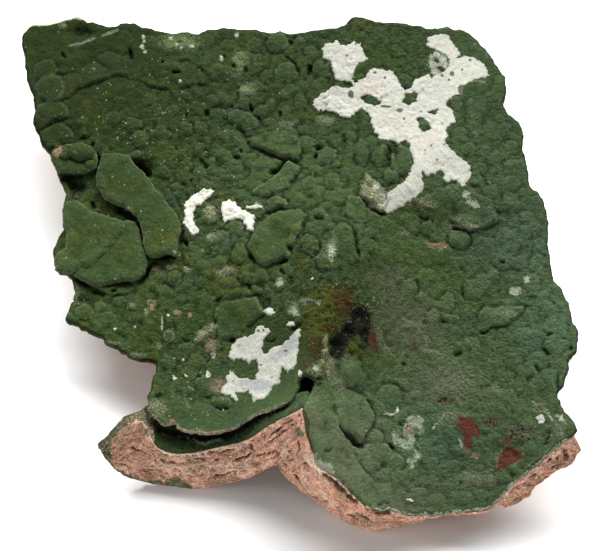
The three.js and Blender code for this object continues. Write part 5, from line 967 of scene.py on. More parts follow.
def merge(parts):
    """Joins (points, triangles, attributes) lists into one."""
    verts, faces, keys = [], [], {}
    n = 0
    for v, f, a in parts:
        verts.append(v)
        faces.append(f + n)
        n += len(v)
        for k, w in a.items():
            keys.setdefault(k, []).append(w)
    return np.vstack(verts), np.vstack(faces), {k: np.concatenate(w) for k, w in keys.items()}


# ---------------------------------------------------------------------------------------------
# Materials
# ---------------------------------------------------------------------------------------------
class Finish:
    """Small helper for procedural materials measured in millimetres."""

    def __init__(self, name):
        self.mat = bpy.data.materials.new(name)
        self.mat.use_nodes = True
        self.t = self.mat.node_tree
        self.t.nodes.clear()
        self.out = self.t.nodes.new("ShaderNodeOutputMaterial")
        self.bsdf = self.t.nodes.new("ShaderNodeBsdfPrincipled")
        self.t.links.new(self.bsdf.outputs[0], self.out.inputs[0])
        co = self.t.nodes.new("ShaderNodeTexCoord")
        sc = self.t.nodes.new("ShaderNodeVectorMath")
        sc.operation = "SCALE"
        sc.inputs["Scale"].default_value = 1000.0
        self.t.links.new(co.outputs["Object"], sc.inputs[0])
        self.mm = sc.outputs[0]

    def put(self, sock, value):
        if hasattr(value, "links") or isinstance(value, bpy.types.NodeSocket):
            self.t.links.new(value, sock)
        elif isinstance(value, (tuple, list)):
            sock.default_value = (*value, 1.0) if len(value) == 3 and len(sock.default_value) == 4 else value
        else:
            sock.default_value = value

    def attr(self, name):
        n = self.t.nodes.new("ShaderNodeAttribute")
        n.attribute_name = name
        return n.outputs["Fac"]

    def at(self, size, stretch=None):
        n = self.t.nodes.new("ShaderNodeVectorMath")
        n.operation = "MULTIPLY"
        s = (stretch or (1, 1, 1))
        n.inputs[1].default_value = tuple(c / size for c in s)
        self.t.links.new(self.mm, n.inputs[0])
        return n.outputs[0]

    def noise(self, size, detail=3.0, rough=0.55, distort=0.0, stretch=None):
        n = self.t.nodes.new("ShaderNodeTexNoise")
        n.inputs["Scale"].default_value = 1.0
        n.inputs["Detail"].default_value = detail
        n.inputs["Roughness"].default_value = rough
        n.inputs["Distortion"].default_value = distort
        self.t.links.new(self.at(size, stretch), n.inputs["Vector"])
        return n.outputs[0]

    def cells(self, size, feature="F1", what="Distance", randomness=1.0):
        n = self.t.nodes.new("ShaderNodeTexVoronoi")
        n.feature = feature
        n.inputs["Scale"].default_value = 1.0
        n.inputs["Randomness"].default_value = randomness
        self.t.links.new(self.at(size), n.inputs["Vector"])
        return n.outputs[what]

    def m(self, op, a, b=0.0, clamp=False, c=None):
        n = self.t.nodes.new("ShaderNodeMath")
        n.operation = op
        n.use_clamp = clamp
        self.put(n.inputs[0], a)
        self.put(n.inputs[1], b)
        if c is not None:
            self.put(n.inputs[2], c)
        return n.outputs[0]

    def step(self, value, lo, hi, to_lo=0.0, to_hi=1.0):
        n = self.t.nodes.new("ShaderNodeMapRange")
        n.interpolation_type = "SMOOTHSTEP"
        self.put(n.inputs[0], value)
        n.inputs[1].default_value = lo
        n.inputs[2].default_value = hi
        n.inputs[3].default_value = to_lo
        n.inputs[4].default_value = to_hi
        return n.outputs[0]

    def mix(self, fac, a, b, mode="MIX"):
        n = self.t.nodes.new("ShaderNodeMix")
        n.data_type = "RGBA"
        n.blend_type = mode
        n.clamp_factor = True
        self.put(n.inputs[0], fac)
        self.put(n.inputs[6], a)
        self.put(n.inputs[7], b)
        return n.outputs[2]

    def ramp(self, fac, stops):
        n = self.t.nodes.new("ShaderNodeValToRGB")
        e = n.color_ramp.elements
        while len(e) < len(stops):
            e.new(0.5)
        for k, (pos, col) in enumerate(stops):
            e[k].position = pos
            e[k].color = (*col, 1)
        self.put(n.inputs[0], fac)
        return n.outputs[0]

    def grey(self, value):
        n = self.t.nodes.new("ShaderNodeCombineColor")
        for k in range(3):
            self.put(n.inputs[k], value)
        return n.outputs[0]

    def bump(self, height_mm, strength=1.0, after=None):
        n = self.t.nodes.new("ShaderNodeBump")
        n.inputs["Strength"].default_value = strength
        n.inputs["Distance"].default_value = 0.001
        self.put(n.inputs["Height"], height_mm)
        if after is not None:
            self.t.links.new(after, n.inputs["Normal"])
        return n.outputs[0]

    def finish(self, color, rough, normal=None, specular=0.4, sheen=0.0):
        self.put(self.bsdf.inputs["Base Color"], color)
        self.put(self.bsdf.inputs["Roughness"], rough)
        self.bsdf.inputs["Specular IOR Level"].default_value = specular
        if sheen:
            self.bsdf.inputs["Sheen Weight"].default_value = sheen
            self.bsdf.inputs["Sheen Roughness"].default_value = 0.5
        if normal is not None:
            self.t.links.new(normal, self.bsdf.inputs["Normal"])
        return self.mat


def dimmed(f, color, k):
    n = f.t.nodes.new("ShaderNodeVectorMath")
    n.operation = "SCALE"
    n.inputs["Scale"].default_value = k
    f.t.links.new(color, n.inputs[0])
    return n.outputs[0]


def scaled(f, value, k, offset=0.0):
    return f.m("ADD", f.m("MULTIPLY", value, k), offset)


def mottramite_finish(name, dark=1.0):
    f = Finish(name)
    broad = f.noise(9.0, 3, 0.6)
    mid = f.noise(2.2, 4, 0.6)
    fine = f.noise(0.45, 4, 0.65)
    grain = f.noise(0.16, 3, 0.7)
    cav = f.attr("cavity")
    tone_and_light = f.attr("tone_and_light")
    warm = f.attr("warm")
    roughness = f.attr("rough")

    def shade_of(r, g, b):
        return (r * dark, g * dark, b * dark)

    color = f.mix(f.m("ADD", warm, scaled(f, mid, 0.6, -0.3), True), shade_of(0.066, 0.108, 0.048), shade_of(0.036, 0.063, 0.013))
    color = f.mix(f.step(broad, 0.42, 0.66, 0.0, 0.45), color, shade_of(0.052, 0.086, 0.031))
    color = f.mix(f.m("MULTIPLY", f.step(f.noise(5.5, 3, 0.62, 0.6), 0.50, 0.68), scaled(f, warm, 0.85, 0.05)), color, shade_of(0.061, 0.079, 0.012))
    color = f.mix(f.step(f.noise(3.8, 3, 0.6, 0.8), 0.54, 0.72, 0.0, 0.6), color, shade_of(0.030, 0.059, 0.029))
    # Broad changes of hue.
    for kind, shade in (("lime", (0.064, 0.108, 0.030)), ("teal", (0.060, 0.104, 0.060)), ("drab", (0.088, 0.095, 0.056))):
        part = f.m("MULTIPLY", f.step(f.m("ADD", f.attr(kind), scaled(f, f.m("ADD", broad, mid), 0.4, -0.4)), 0.1, 0.85), f.step(f.attr(kind), 0.0, 0.1))
        color = f.mix(f.m("MULTIPLY", part, 0.62), color, shade_of(*shade))
    # Paler tops of the grains, part frost and part painted sheen, and painted shade in the hollows between them, scaled
    # by random mottling and the broad tone and light field.
    tops = f.m("MULTIPLY", f.step(cav, 0.0, 0.12), f.step(fine, 0.42, 0.66))
    color = f.mix(f.m("MULTIPLY", tops, 0.22), color, shade_of(0.125, 0.175, 0.082))
    # Pale rims round the domes and along the plates' crests: painted highlight.
    color = f.mix(f.m("MULTIPLY", f.m("MULTIPLY", f.attr("rim"), f.step(fine, 0.30, 0.60, 0.3, 1.0)), 0.62), color, shade_of(0.160, 0.215, 0.125))
    shade = f.m("MULTIPLY", f.step(cav, -0.28, 0.05, 0.40, 1.0), f.step(fine, 0.25, 0.75, 0.86, 1.16))
    shade = f.m("MULTIPLY", shade, f.step(grain, 0.25, 0.75, 0.84, 1.18))
    shade = f.m("MULTIPLY", shade, tone_and_light)
    color = f.mix(1.0, color, f.grey(shade), "MULTIPLY")
    # Frost and painted sheen on the crests.
    frost_and_sheen = f.m("MULTIPLY", f.m("MULTIPLY", f.step(f.noise(1.3, 4, 0.65), 0.48, 0.66), f.step(cav, -0.04, 0.10)), f.attr("frost_and_sheen"))
    color = f.mix(f.m("MULTIPLY", frost_and_sheen, 0.5), color, shade_of(0.150, 0.205, 0.130))
    # Fine mottling.
    salt = f.noise(0.24, 2, 0.6)
    loose = scaled(f, roughness, 1.5, -0.1)
    color = f.mix(f.m("MULTIPLY", f.step(salt, 0.57, 0.70, 0.0, 0.36), loose), color, shade_of(0.160, 0.205, 0.105))
    color = f.mix(f.m("MULTIPLY", f.step(salt, 0.43, 0.30, 0.0, 0.52), loose), color, (0.010, 0.018, 0.008))
    # Listed stains, and painted shade in holes and hollows, their borders broken up by the noise.
    wob = scaled(f, f.m("ADD", mid, fine), 0.5, -0.5)
    crumb = scaled(f, f.m("ADD", f.noise(0.26, 2, 0.65), f.noise(0.75, 3, 0.65)), 0.75, -0.75)

    def stain(attribute, soft, grainy, col_a, col_b, amount=1.0):
        nonlocal color
        a = f.attr(attribute)
        lift = f.m("MULTIPLY", f.m("ADD", wob, scaled(f, crumb, grainy)), f.step(a, 0.0, 0.15))
        k = f.m("MULTIPLY", f.step(f.m("ADD", a, lift), 0.5 - soft, 0.5 + soft), amount)
        color = f.mix(k, color, f.mix(f.step(salt, 0.36, 0.64), col_b, col_a))

    stain("olive", 0.45, 1.0, (0.094, 0.106, 0.014), (0.036, 0.048, 0.010), 0.86)
    stain("redox", 0.45, 1.3, (0.092, 0.050, 0.015), (0.022, 0.017, 0.008), 0.85)
    stain("umber", 0.25, 0.9, (0.100, 0.074, 0.044), (0.036, 0.028, 0.016), 0.8)
    stain("brick", 0.2, 0.6, (0.160, 0.042, 0.024), (0.085, 0.028, 0.016), 0.90)
    stain("rust", 0.2, 0.6, (0.30, 0.16, 0.06), (0.15, 0.08, 0.035), 0.8)
    stain("flesh", 0.25, 0.9, (0.44, 0.30, 0.20), (0.18, 0.130, 0.075), 0.88)
    stain("stone", 0.4, 1.3, (0.36, 0.37, 0.215), (0.075, 0.080, 0.038), 0.88)
    stain("pale", 0.4, 1.2, (0.20, 0.26, 0.125), (0.085, 0.120, 0.052), 0.75)
    stain("mint", 0.22, 0.8, (0.47, 0.53, 0.38), (0.23, 0.30, 0.195), 0.92)
    stain("blush", 0.3, 1.1, (0.33, 0.235, 0.16), (0.12, 0.095, 0.058), 0.8)
    stain("shell", 0.3, 0.9, (0.52, 0.41, 0.30), (0.18, 0.15, 0.10), 0.9)
    stain("chalk", 0.25, 1.8, (0.54, 0.57, 0.43), (0.30, 0.35, 0.24), 0.9)
    stain("seam", 0.35, 1.5, (0.74, 0.78, 0.60), (0.24, 0.29, 0.18), 0.9)
    stain("edge", 0.3, 1.5, (0.22, 0.25, 0.155), (0.085, 0.11, 0.055), 0.7)
    # Painted shade: near black in the holes, the hollows of the druse and the opening behind the peak.
    stain("painted_hole_shade", 0.42, 1.7, (0.022, 0.023, 0.016), (0.002, 0.003, 0.001), 0.96)
    # Round dark dots, each with a paler ring.
    drop = f.cells(0.62)
    spot = f.step(f.m("ADD", f.attr("dots"), scaled(f, mid, 0.5, -0.25)), 0.28, 0.52)
    color = f.mix(f.m("MULTIPLY", spot, f.m("MULTIPLY", f.step(drop, 0.66, 0.46), 0.6)), color, (0.16, 0.155, 0.105))
    color = f.mix(f.m("MULTIPLY", spot, f.step(drop, 0.48, 0.36)), color, (0.034, 0.020, 0.014))
    # Tiny pale specks.
    pick = f.noise(3.0, 3, 0.6)
    for size, gain in ((1.25, 0.0), (0.8, -0.04)):
        specks = f.m("MULTIPLY", f.step(f.cells(size), 0.17, 0.10), f.step(f.m("ADD", f.m("ADD", pick, gain), scaled(f, f.attr("speck"), 0.16)), 0.60, 0.68))
        color = f.mix(f.m("MULTIPLY", specks, 0.7), color, (0.33, 0.37, 0.24))
    glint = f.m("MULTIPLY", f.step(f.cells(0.55), 0.22, 0.14), f.step(f.m("ADD", f.noise(1.1, 3, 0.6), scaled(f, f.attr("glint"), 0.20)), 0.63, 0.69))
    color = f.mix(f.m("MULTIPLY", glint, f.m("MULTIPLY", f.step(f.attr("glint"), 0.1, 0.4), 0.75)), color, (0.60, 0.60, 0.44))
    bump = f.m("ADD", scaled(f, f.noise(0.32, 4, 0.65), 0.26), scaled(f, f.noise(0.10, 3, 0.7), 0.05))
    bump = f.m("SUBTRACT", bump, scaled(f, f.m("POWER", f.cells(0.45), 2.0), 0.16))
    bump = f.m("SUBTRACT", bump, scaled(f, f.m("POWER", f.cells(0.85), 2.0), 0.16))
    bump = f.m("MULTIPLY", bump, scaled(f, roughness, 1.5, 0.2))
    rough = f.step(fine, 0.3, 0.7, 0.68, 0.85)
    return f.finish(dimmed(f, color, 0.64), rough, f.bump(bump, 0.9), 0.04)


def dolomite_finish(name):
    f = Finish(name)
    broad = f.noise(5.0, 3, 0.6)
    mid = f.noise(1.1, 4, 0.6)
    fine = f.noise(0.28, 4, 0.65)
    cell = f.cells(0.5, what="Color")
    sep = f.t.nodes.new("ShaderNodeSeparateColor")
    f.t.links.new(cell, sep.inputs[0])
    cav = f.attr("cavity")
    color = f.ramp(f.m("ADD", scaled(f, mid, 0.7), scaled(f, sep.outputs[0], 0.35), True),
                   [(0.0, (0.36, 0.150, 0.090)), (0.35, (0.54, 0.270, 0.175)), (0.6, (0.62, 0.350, 0.240)), (0.85, (0.70, 0.46, 0.34)), (1.0, (0.78, 0.62, 0.47))])
    color = f.mix(f.step(broad, 0.5, 0.72, 0.0, 0.35), color, (0.64, 0.45, 0.34))
    color = f.mix(f.m("MULTIPLY", f.step(fine, 0.60, 0.74), f.step(cav, -0.02, 0.10)), color, (0.80, 0.68, 0.54))
    pale = f.attr("pale")
    color = f.mix(f.m("MULTIPLY", pale, f.step(mid, 0.3, 0.6, 0.45, 1.0)), color, (0.68, 0.57, 0.43))
    # Thin layers that follow the crust above: pale bands, and dark bands that are partly painted shade under the steps
    # of the layers.
    layer = f.t.nodes.new("ShaderNodeCombineXYZ")
    f.put(layer.inputs[0], f.m("MULTIPLY", f.attr("along"), 1 / 2.6))
    f.put(layer.inputs[1], f.m("ADD", f.m("MULTIPLY", f.attr("depth"), 1 / 0.42), scaled(f, broad, 2.0)))
    f.put(layer.inputs[2], f.m("MULTIPLY", broad, 2.0))
    bands = f.t.nodes.new("ShaderNodeTexNoise")
    bands.inputs["Scale"].default_value = 1.0
    bands.inputs["Detail"].default_value = 4.0
    bands.inputs["Roughness"].default_value = 0.62
    f.t.links.new(layer.outputs[0], bands.inputs["Vector"])
    bands = bands.outputs[0]
    color = f.mix(f.step(bands, 0.56, 0.66, 0.0, 0.60), color, (0.76, 0.62, 0.47))
    color = f.mix(f.step(bands, 0.44, 0.34, 0.0, 0.60), color, (0.28, 0.125, 0.075))
    clots = f.noise(0.62, 4, 0.68)
    color = f.mix(f.step(clots, 0.57, 0.66, 0.0, 0.65), color, (0.80, 0.69, 0.55))
    color = f.mix(f.step(clots, 0.42, 0.32, 0.0, 0.55), color, (0.30, 0.135, 0.085))
    # Painted shade in the hollows of the broken face, with random mottling.
    shade = f.m("MULTIPLY", f.step(cav, -0.26, 0.05, 0.30, 1.0), f.step(fine, 0.25, 0.75, 0.80, 1.14))
    color = f.mix(1.0, color, f.grey(shade), "MULTIPLY")
    wob = scaled(f, f.m("ADD", f.m("ADD", mid, fine), f.noise(0.35, 3, 0.65)), 0.8, -1.2)

    def stain(attribute, soft, col_a, col_b, amount):
        nonlocal color
        a = f.m("ADD", f.attr(attribute), f.m("MULTIPLY", wob, f.step(f.attr(attribute), 0.0, 0.12)))
        k = f.m("MULTIPLY", f.step(a, 0.5 - soft, 0.5 + soft), amount)
        color = f.mix(k, color, f.mix(f.step(fine, 0.35, 0.65), col_a, col_b))

    stain("brown", 0.35, (0.24, 0.165, 0.085), (0.33, 0.22, 0.12), 0.6)
    stain("green", 0.25, (0.046, 0.068, 0.028), (0.135, 0.160, 0.085), 0.95)
    stain("soil", 0.35, (0.20, 0.14, 0.09), (0.30, 0.21, 0.15), 0.7)
    salt = f.noise(0.26, 2, 0.6)
    color = f.mix(f.step(salt, 0.60, 0.70, 0.0, 0.75), color, (0.88, 0.74, 0.60))
    color = f.mix(f.step(salt, 0.40, 0.28, 0.0, 0.75), color, (0.11, 0.060, 0.035))
    # Painted shade in the cracks and in the wide undercut below the crust's edge.
    hollow = f.mix(f.step(f.m("ADD", f.attr("crack"), scaled(f, mid, 0.8, -0.4)), 0.55, 1.05), (0.15, 0.055, 0.030), (0.026, 0.012, 0.008))
    color = f.mix(f.m("MULTIPLY", f.step(f.m("ADD", f.attr("crack"), scaled(f, f.m("ADD", fine, salt), 0.7, -0.7)), 0.28, 0.78), 0.88), color, hollow)
    color = f.mix(1.0, color, f.mix(f.step(f.noise(1.9, 3, 0.62), 0.36, 0.64), (0.84, 0.76, 0.74), (1.12, 1.06, 1.04)), "MULTIPLY")
    bump = f.m("ADD", scaled(f, f.noise(0.26, 4, 0.65), 0.34), scaled(f, f.noise(0.08, 3, 0.7), 0.06))
    bump = f.m("SUBTRACT", f.m("ADD", bump, scaled(f, bands, 0.34)), scaled(f, f.cells(0.36), 0.34))
    return f.finish(dimmed(f, color, 1.21), f.step(fine, 0.3, 0.7, 0.55, 0.8), f.bump(bump, 0.9), 0.30)


def calcite_finish(name):
    f = Finish(name)
    mid = f.noise(1.6, 4, 0.6)
    fine = f.noise(0.35, 4, 0.65)
    cav = f.attr("cavity")
    hue = f.m("ADD", f.attr("hue"), scaled(f, mid, 0.5, -0.25))
    color = f.ramp(mid, [(0.25, (0.50, 0.50, 0.42)), (0.5, (0.60, 0.60, 0.52)), (0.75, (0.68, 0.68, 0.61))])
    color = f.mix(f.step(hue, 0.1, 0.8, 0.0, 0.75), color, (0.60, 0.54, 0.47))
    # Negative hue greys the coat: partly painted shade in the front coat's hollows.
    color = f.mix(f.step(hue, -0.15, -0.9, 0.0, 0.85), color, (0.40, 0.41, 0.42))
    color = f.mix(f.m("MULTIPLY", f.attr("grey"), f.step(mid, 0.35, 0.6, 0.2, 0.7)), color, (0.42, 0.44, 0.38))
    # Painted shade in the hollows of the coat, with random mottling.
    shade = f.m("MULTIPLY", f.step(cav, -0.14, 0.03, 0.62, 1.0), f.step(fine, 0.25, 0.75, 0.82, 1.10))
    color = f.mix(1.0, color, f.grey(shade), "MULTIPLY")
    color = f.mix(1.0, color, f.grey(scaled(f, f.attr("clean"), 0.5, 1.0)), "MULTIPLY")
    # Fine dirt in the pores.
    salt = f.noise(0.30, 3, 0.65)
    color = f.mix(f.step(salt, 0.44, 0.30, 0.0, 0.65), color, (0.26, 0.27, 0.21))
    color = f.mix(f.m("MULTIPLY", f.attr("thin"), f.step(fine, 0.42, 0.60, 0.15, 0.95)), color, (0.19, 0.23, 0.14))
    pits = f.m("MULTIPLY", f.step(f.cells(1.5), 0.10, 0.05), f.step(f.noise(4.0, 2, 0.5), 0.48, 0.60))
    color = f.mix(f.m("MULTIPLY", pits, 0.8), color, (0.14, 0.15, 0.09))
    bare = f.m("ADD", f.attr("bare"), f.m("MULTIPLY", scaled(f, f.m("ADD", salt, fine), 0.5, -0.5), f.step(f.attr("bare"), 0.0, 0.1)))
    color = f.mix(f.m("MULTIPLY", f.step(bare, 0.35, 0.6), 0.92), color, (0.060, 0.078, 0.036))
    bump = f.m("ADD", scaled(f, f.noise(0.30, 4, 0.65), 0.14), scaled(f, f.noise(0.10, 3, 0.7), 0.04))
    return f.finish(dimmed(f, color, 0.67), 0.82, f.bump(bump, 0.8), 0.2)


CRUST = mottramite_finish("mottramite_green")
LINING_DARK = mottramite_finish("dark_mottramite_green", 1.1)
ROCK = dolomite_finish("pink_dolomite")
CHALK = calcite_finish("white_calcite")

# ---------------------------------------------------------------------------------------------
# Colour fields of the crust, in picture coordinates
# ---------------------------------------------------------------------------------------------
TONE_AND_LIGHT = [  # u, v, brightness, warmth, and frost and sheen of the broad regions: yellower and darker at the upper left, greyer to the right. The brightness is partly painted light, raised on the ridge flank and in the bowl where light falls on them.
    (90, 70, 0.54, 1.0, 0.05), (230, 80, 0.72, 0.85, 0.25), (130, 180, 0.90, 0.85, 0.2), (110, 290, 1.12, 0.8, 0.3), (260, 200, 1.13, 0.6, 0.35),
    (180, 350, 1.02, 1.0, 0.3), (350, 60, 0.74, 0.7, 0.3), (480, 100, 0.78, 0.3, 0.5), (520, 220, 0.88, 0.1, 0.9), (420, 270, 1.13, 0.5, 0.3),
    (430, 360, 1.5, 0.3, 0.5), (540, 350, 1.22, 0.2, 0.5), (430, 470, 1.02, 0.1, 0.5), (345, 450, 2.0, 0.1, 0.6), (215, 415, 1.05, 0.3, 0.4),
    (320, 300, 0.85, 0.9, 0.1), (500, 180, 0.94, 0.2, 0.9),
]
# Stains, and painted shade in holes and hollows: kind, then either an outline or u, v, half width, half height.
STAINS = [
    ("lime", (425, 258, 56, 48)), ("lime", (375, 60, 40, 24)), ("teal", (508, 241, 46, 38)), ("teal", (545, 330, 30, 40)), ("teal", (440, 435, 40, 30)),
    ("drab", (352, 452, 36, 42)), ("drab", (312, 424, 12, 24)), ("drab", (405, 496, 40, 16)), ("drab", (405, 322, 34, 32)), ("drab", (440, 385, 34, 22)), ("drab", (392, 282, 22, 16)),
    # The two small dark spots in this patch are painted shade in holes.
    ("chalk", [(429, 66), (431, 56), (437, 50), (445, 54), (449, 60), (448, 68), (442, 74), (434, 76)]), ("painted_hole_shade", (437, 60, 4, 4)), ("painted_hole_shade", (441, 68, 3, 3)),
    ("chalk", (143, 36, 1.5, 2)), ("chalk", (144.5, 42, 1.5, 2)), ("chalk", (143, 48, 2, 2.2)), ("chalk", (145.5, 52, 1.8, 1.2)), ("chalk", (190, 47, 2, 1.6)),
    ("chalk", (171, 38, 2, 1.5)), ("chalk", (237, 34, 1.5, 1.5)), ("chalk", (221, 56, 1.6, 2.6)), ("chalk", (180, 81, 1.5, 1.5)), ("pale", (61, 26, 4, 3.4)),
    ("chalk", (181, 49, 1.2, 1.2)), ("chalk", (176, 44, 1.4, 1.2)), ("pale", (180, 42, 18, 7)), ("pale", (240, 60, 7, 10)), ("pale", (248, 88, 8, 6)),
    ("olive", [(302, 300), (309, 291), (322, 286), (338, 285), (350, 290), (354, 300), (350, 314), (342, 324), (334, 333), (326, 341), (316, 341), (307, 334), (302, 318)]),
    ("redox", [(334, 291), (344, 289), (352, 293), (357, 303), (352, 315), (345, 320), (338, 318), (336, 306)]),
    ("redox", [(309, 339), (318, 337), (324, 342), (322, 354), (318, 362), (312, 361), (308, 352)]),
    ("olive", (352, 348, 11, 9)), ("redox", [(365, 326), (372, 326), (379, 332), (382, 344), (378, 351), (371, 350), (365, 342)]), ("brick", (374, 339, 3.5, 6)),
    ("redox", (386, 332, 3, 4)), ("redox", (414, 347, 3, 4)), ("redox", (330, 327, 7, 6)),
    # Painted shade, near black, in the hollows of the druse and in the opening behind the peak.
    ("painted_hole_shade", [(350, 310), (356, 304), (364, 306), (370, 314), (373, 324), (369, 333), (362, 337), (355, 337), (349, 341), (345, 348), (341, 356), (335, 359),
               (329, 354), (329, 343), (336, 334), (343, 327), (350, 319)]), ("painted_hole_shade", (307, 381, 6, 4.5)), ("painted_hole_shade", (366, 342, 3.5, 7)), ("painted_hole_shade", (319, 384, 5, 1.6)),
    ("glint", (359, 309, 9, 8)), ("glint", (347, 321, 9, 6)), ("glint", (337, 331, 9, 6)), ("glint", (366, 318, 8, 7)), ("glint", (312, 344, 7, 8)), ("glint", (373, 306, 10, 10)), ("glint", (320, 354, 6, 10)),
    ("glint", (358, 357, 13, 4)), ("glint", (330, 287, 20, 5)), ("glint", (345, 333, 6, 4)), ("glint", (376, 200, 10, 12)), ("glint", (407, 437, 16, 16)),
    ("pale", (350, 329, 5, 4)), ("stone", (331, 359, 4, 4)), ("stone", (316, 370, 6, 5.5)), ("stone", (320.7, 362, 3, 3)), ("chalk", (315, 368, 3, 3)), ("chalk", (358, 307, 3, 1.6)),
    ("pale", (296, 307, 7, 8)), ("chalk", (295.2, 310.5, 4, 3.6)), ("umber", (306, 368, 7, 7)),
    ("stone", [(323.5, 336), (327.5, 335), (328.5, 350), (329.5, 360), (333, 366), (337, 375), (341, 385), (344, 394), (338, 397), (333, 390), (328.5, 380), (324.5, 370),
               (322.5, 360), (323, 348)]), ("pale", (336, 388, 9, 12)), ("pale", (322, 402, 14, 8)), ("pale", (347, 376, 9, 14)),
    ("stone", (149.4, 303.5, 3.4, 2.6)), ("stone", (145.7, 313.7, 2.5, 4.2)), ("stone", (159, 345.5, 2.6, 2.6)), ("stone", (177.8, 253.5, 3, 4)), ("blush", (156, 268.4, 4.2, 3.4)),
    ("stone", (171.4, 266, 4, 2.8)), ("stone", (186.7, 268.4, 3, 3.2)), ("stone", (226.5, 270.8, 7, 4)), ("stone", (157, 408, 6.5, 6)), ("stone", (156.5, 423, 3.6, 4)),
    ("stone", (129.7, 208.5, 4.4, 3)), ("stone", [(195, 338), (199, 331), (207, 326), (214, 323), (217.5, 326), (212, 331), (206, 336), (199, 342)]), ("blush", (211.2, 344, 4.5, 7.5)),
    ("blush", (218.5, 384.5, 7, 6.5)), ("stone", (131, 306, 3.6, 2.4)),
    ("stone", [(366, 173), (377, 183), (387, 193), (388, 204), (384, 211), (371, 210), (362, 200), (361, 185)]), ("chalk", (382, 199, 5, 8)), ("chalk", (376, 188, 4, 5)),
    ("umber", (445, 400.5, 9, 5)), ("umber", (464, 427, 10, 5)), ("umber", (493, 422, 9, 5)), ("dots", (521, 434, 11, 8)), ("dots", (494, 421.5, 8, 4.5)), ("dots", (445, 400.5, 8, 5)), ("drab", (518, 432, 13, 9)),
    ("brick", [(456.4, 418.6), (460.7, 415.7), (471.4, 418.6), (480, 429.3), (479.3, 435), (470, 434.3), (470.7, 442.1), (466.4, 449.3), (462.9, 445), (462.9, 435), (460, 429.3), (456.4, 422.9)]),
    ("brick", [(500, 452.1), (505.7, 446.4), (512.9, 445.7), (524.3, 455.7), (520, 460.7), (511.4, 463.6), (504.3, 468.6), (499.3, 472.1), (495.7, 467.9), (499.3, 462.1)]),
    ("brick", (506.4, 440, 4, 3)), ("blush", (476.4, 455.7, 3.4, 3.8)), ("rust", (464.5, 450, 3, 2.5)), ("rust", (490.5, 484, 3, 5)), ("blush", (466, 416.5, 7, 1.8)),
    ("flesh", (59, 150.5, 5, 5.5)), ("stone", (211, 213, 7, 7)), ("umber", (213, 238, 8, 5)), ("flesh", (436.7, 245.7, 9, 4.2)), ("flesh", (151.8, 307.6, 2.6, 3.4)), ("flesh", (178, 312.4, 3.6, 2.4)), ("flesh", (190.4, 315.5, 2.2, 2.2)),
    ("flesh", (172, 422, 3.4, 2.2)),
    ("pale", (330, 247, 6, 12)), ("chalk", (331, 251, 3, 7)), ("pale", (318, 252, 6, 5)),
    ("pale", [(412, 415.7), (417, 413), (425, 421), (422.5, 431), (415, 433.5), (415, 442), (412, 451), (405, 449), (399, 446), (393, 433.5), (402, 427),
              (408, 419.5)]),
    ("mint", [(408, 419), (413, 414.5), (416, 417), (419, 416), (424, 421), (423, 428), (425, 431), (421, 434), (414, 434), (416, 439), (414, 447), (417, 452),
               (410, 451), (405, 448), (399, 446), (400, 442), (395, 439), (393, 432), (397, 433), (402, 438), (405, 436), (403, 429)]),
    ("shell", [(406, 426), (411, 423.5), (415, 425.5), (413, 429), (410, 431), (410, 436), (407, 438), (405, 433)]),
    ("mint", (417, 456, 4.5, 4)), ("mint", (396, 437, 4, 6)), ("chalk", (412, 461, 3, 3)), ("mint", (412, 466, 2.4, 3)),
    ("stone", (424, 204, 11, 4)), ("umber", (426, 207, 9, 2)), ("pale", (464, 220, 13, 4)), ("stone", (466, 226, 12, 2)), ("edge", (312, 302, 12, 2.5)), ("chalk", (467, 196, 4, 3)),
    ("chalk", (473, 204, 5, 4)), ("pale", (492.6, 402, 10, 4)), ("edge", (492, 389, 10, 3)), ("edge", (405, 231, 5, 6)), ("chalk", (515, 291, 5, 4)),
    ("chalk", (527, 280, 3.5, 3.5)), ("edge", (505, 313, 14, 4)), ("pale", (562, 428, 8, 8)), ("edge", (556, 428, 10, 8)), ("edge", (541, 410, 8, 8)),
    ("edge", (380, 337, 3, 10)), ("edge", (414, 325, 12, 2.5)), ("edge", (426, 338, 2.5, 6)), ("edge", (435, 351, 12, 2.5)), ("edge", (450, 417, 6, 8)),
    ("edge", (439, 422, 3, 9)), ("edge", (243, 92, 6, 4)), ("edge", (288, 124, 8, 3)), ("edge", (327, 121, 9, 4)), ("edge", (148, 405, 6, 5)),
    ("edge", (160, 411, 9, 4)), ("edge", (213, 237, 9, 5)), ("chalk", (210, 236, 3, 2)), ("edge", (222, 270, 7, 4)), ("chalk", (279, 282, 4, 3)),
    ("edge", (75, 292, 3, 12)), ("edge", (107, 343, 14, 2.5)), ("edge", (135, 355, 12, 3)), ("edge", (476, 478, 20, 9)), ("edge", (455, 380, 22, 12)),
]
